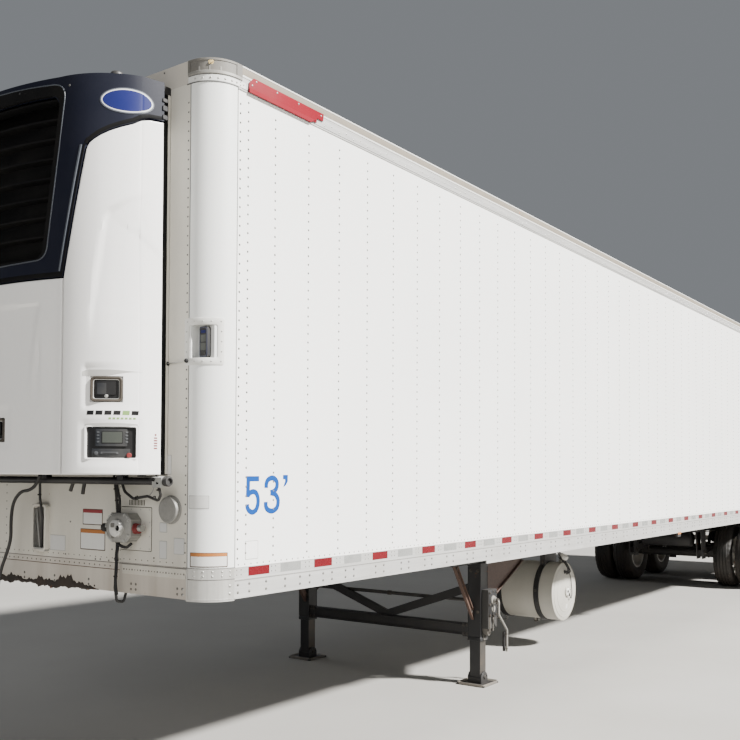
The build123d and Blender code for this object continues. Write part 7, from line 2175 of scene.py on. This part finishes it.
# %% Tyres and wheels
AXLES = {"front": 12.15, "rear": 13.395}
wheel_grime = paint("hub_grease_black", (0.035, 0.031, 0.027), 0.6, dirt=0.5, dirt_colour=(0.13, 0.1, 0.07),
                    levels=(1.2, 0.2), rust=0.3)
for end, axle in AXLES.items():
    x = behind(axle)
    for side, sign in SIDES:
        body = f"wheels_{end}_{side}"
        rubber = Forms()
        for offset in (TWIN_HALF, -TWIN_HALF):
            turned_tyre(rubber, x, sign * (TWIN_Y + offset), TYRE_RADIUS)
        made = rubber.make(f"ribbed_tyres_{end}_{side}", [tyre_rubber], body, 32.0, "tyre_rubber")
        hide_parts(f"tyres_{end}_{side}")
        hub = Forms()
        out = lambda y: spot((x, sign * y, TYRE_RADIUS), (0, sign, 0))
        for k in range(10):
            nut = shifted(out(0.996), 0.1675, 0, 0, turn=math.tau * (k + 0.5) / 10)
            hub.turned(nut, [(0.0225, 0.0), (0.0225, 0.004), (0.019, 0.0055)], 18, 0)
            hub.bolt(shifted(nut, 0, 0, 0.004), 0.033, 0.026, 0, False)
            hub.turned(nut, [(0.011, 0.026), (0.011, 0.04), (0.009, 0.043), (0.001, 0.043)], 12, 0)
        hub.turned(out(1.154), [(0.11, -0.022), (0.1135, -0.018), (0.1135, -0.004), (0.1085, 0.0),
                                (0.1, 0.0012), (0.079, 0.0012)], 40, 1)
        for k in range(8):
            hub.bolt(shifted(out(1.154), 0.094, 0, 0.0008, turn=math.tau * k / 8), 0.015, 0.01, 0)
        hub.turned(out(1.184), [(0.064, -0.008), (0.0655, -0.003), (0.062, 0.0018), (0.05, 0.0026)], 32, 0)
        hub.turned(out(1.184), [(0.05, 0.0006), (0.049, 0.0016), (0.001, 0.0016)], 28, 2)
        hub.turned(out(1.184), [(0.012, 0.001), (0.012, 0.007), (0.009, 0.0085), (0.001, 0.0085)], 16, 3)
        # rolled rim edges, and the valve that bends out through a hand hole
        for direction in (1, -1):
            rim_y = TWIN_Y + direction * (TWIN_HALF + 0.117)
            hub.turned(spot((x, sign * rim_y, TYRE_RADIUS), (0, sign * direction, 0)),
                       [(0.274, -0.004), (0.276, 0.0008), (0.285, 0.0022), (0.296, 0.0014), (0.3015, -0.003)],
                       72, 1, OPEN)
        bends = ((0.232, 1.02), (0.236, 1.06), (0.226, 1.11), (0.214, 1.135))
        stem = flowing([(x + d, sign * y, TYRE_RADIUS) for d, y in bends], 5)
        hub.tube(stem, 0.0042, 8, 0)
        hub.turned(spot((x + 0.214, sign * 1.132, TYRE_RADIUS), (-0.45, sign * 0.89, 0)),
                   [(0.0052, 0.0), (0.0058, 0.002), (0.0058, 0.014), (0.004, 0.017)], 12, 3)
        hub.make(f"hub_fittings_{end}_{side}", [zinc_metal, wheel_paint, wheel_grime, black_plastic], body,
                 slot="wheel_paint")

# %% [markdown]
# ## Underneath and on top
# The wheels hang in a bogie that slides along two rails and is pinned through
# one of many holes, so that the load can be shared between tractor and
# trailer. Each trailing arm turns on a large pivot bolt. The roof is one
# aluminium sheet, glued to bows whose lines show through it.

# %% Slider
HOLE_PITCH, SLIDER_Y = 0.1524, 0.545
slide = Forms()
for sign in (1, -1):
    for face in (1, -1):
        y = sign * SLIDER_Y + face * 0.05
        for k in range(36):
            x = 10.15 + HOLE_PITCH * k
            local = spot((behind(x), y, 1.041), (0, face, 0))
            slide.turned(local, [(0.0165, 0.0), (0.0215, 0.0006), (0.0215, 0.0014), (0.0165, 0.0018)], 16, 0,
                         OPEN)
            # a black disc just inside each ring paints the shade in the hole
            slide.turned(local, [(0.0165, 0.0004), (0.016, 0.0006), (0.0002, 0.0007)], 16, 1, (False, True))
    for x in (11.35, 14.05):
        local = spot((behind(x), sign * 0.595, 1.041), (0, sign, 0))
        slide.turned(local, [(0.0155, 0.0), (0.0155, 0.02), (0.013, 0.024), (0.001, 0.0245)], 18, 0)
    for step in range(9):
        slide.bolt(spot((behind(11.25 + 0.36 * step), sign * 0.59, 0.935), (0, sign, 0)), 0.018, 0.01, 2)
pull = [Vector((behind(11.3), 0.66, 0.905)), Vector((behind(12.4), 0.665, 0.912)),
        Vector((behind(14.08), 0.66, 0.905))]
slide.tube(pull, 0.008, 10, 2)
slide.make("slider_holes_and_pins", [bare_steel, black_louvre_and_shade, dull_steel], slot="dark_steel")

# %% Suspension fittings
ride = Forms()
for axle in AXLES.values():
    for sign in (1, -1):
        pivot = Vector((behind(axle - 0.62), sign * SLIDER_Y, 0.56))
        for face in (1, -1):
            local = spot(pivot + Vector((0, face * 0.047, 0)), (0, face, 0))
            ride.turned(local, [(0.052, -0.001), (0.052, 0.006), (0.046, 0.008), (0.03, 0.008)], 24, 0)
            ride.bolt(shifted(local, 0, 0, 0.008), 0.046, 0.028, 1)
            for x, z in ((-0.06, 0.2), (0.06, 0.2), (0.12, 0.28), (-0.06, 0.3)):
                ride.bolt(spot(pivot + Vector((x, face * 0.047, z)), (0, face, 0)), 0.018, 0.01, 1)
        # straps that clamp the axle to its arm
        for shift in (-0.055, 0.055):
            angles = [math.pi + math.pi * k / 12 for k in range(13)]
            loop = [Vector((behind(axle) + 0.0665 * math.cos(a), sign * SLIDER_Y + shift,
                            0.508 + 0.0665 * math.sin(a))) for a in angles]
            loop = [Vector((loop[0].x, loop[0].y, 0.672))] + loop + [Vector((loop[-1].x, loop[-1].y, 0.672))]
            ride.tube(loop, 0.009, 10, 1)
            for end in (loop[0], loop[-1]):
                ride.bolt(spot(end, (0, 0, 1), (1, 0, 0)), 0.026, 0.018, 1)
        # air spring: piston, bead rings, and top plate with its studs
        spring = spot((behind(axle + 0.34), sign * SLIDER_Y, 0.0), (0, 0, 1), (1, 0, 0))
        for level in (0.745, 0.8):
            ride.turned(spring, [(0.13, level - 0.008), (0.1335, level - 0.004), (0.1335, level + 0.004),
                                 (0.13, level + 0.008)], 40, 2, OPEN)
        # damper between the hanger side and the axle arm
        low, high = (Vector((behind(axle + x), sign * 0.45, z)) for x, z in ((0.1, 0.59), (0.3, 0.872)))
        ride.tube([low, low.lerp(high, 0.5)], 0.028, 18, 0)
        ride.tube([low.lerp(high, 0.46), high], 0.034, 18, 0)
        # brake chamber clamps and hoses
        chamber = Vector((behind(axle) - 0.215, sign * 0.38, 0.6))
        hose = flowing([chamber + Vector((0.02, 0, 0.08)), chamber + Vector((0.04, -sign * 0.02, 0.16)),
                        chamber + Vector((0.1, -sign * 0.08, 0.24)),
                        chamber + Vector((0.22, -sign * 0.12, 0.27))], 5)
        ride.tube(hose, 0.0085, 10, 3)
ride.make("suspension_fittings", [chassis_black, dull_steel, black_rubber, lead_rubber], slot="dark_steel")

# %% Air and wire lines
lines = Forms()
for sign, y in ((1, 0.34), (-1, -0.34)):
    run = flowing([(behind(0.2), y * 0.4, 1.106), (behind(1.6), y, 1.102), (behind(4.5), y, 1.105),
                   (behind(9.0), y, 1.102), (behind(10.8), y, 1.096), (behind(11.4), y * 0.8, 1.02)], 6)
    lines.tube(run, 0.008, 10, 0)
loom = flowing([(behind(0.12), 0.66, 1.107), (behind(0.9), 0.78, 1.107), (behind(3.0), 0.8, 1.107),
                (behind(9.5), 0.8, 1.107), (behind(15.9), 0.8, 1.107)], 5)
lines.tube(loom, 0.006, 8, 1)
lines.make("air_and_wire_lines", [lead_rubber, dull_steel], slot="black_rubber")

# %% Roof
ROOF_EDGE, ROOF_MID = 4.0461, 4.0581
roof_lines = Forms()
for k in range(25):
    x = behind(0.7 + 0.62 * k)
    for sign in (1, -1):
        roof_lines.rings([[(x + along, y, z + up) for along, up in ((-0.004, 0), (0, 0.001), (0.004, 0))]
                          for y, z in ((sign * 1.2, ROOF_EDGE), (0, ROOF_MID))], 0, False, OPEN)
roof_lines.make("roof_bow_lines", [seam_sealant], slot="white_sheet")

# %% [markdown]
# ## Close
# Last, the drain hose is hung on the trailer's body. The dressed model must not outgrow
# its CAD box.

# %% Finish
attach(drain_hose, "trailer")
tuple(hose_points[0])
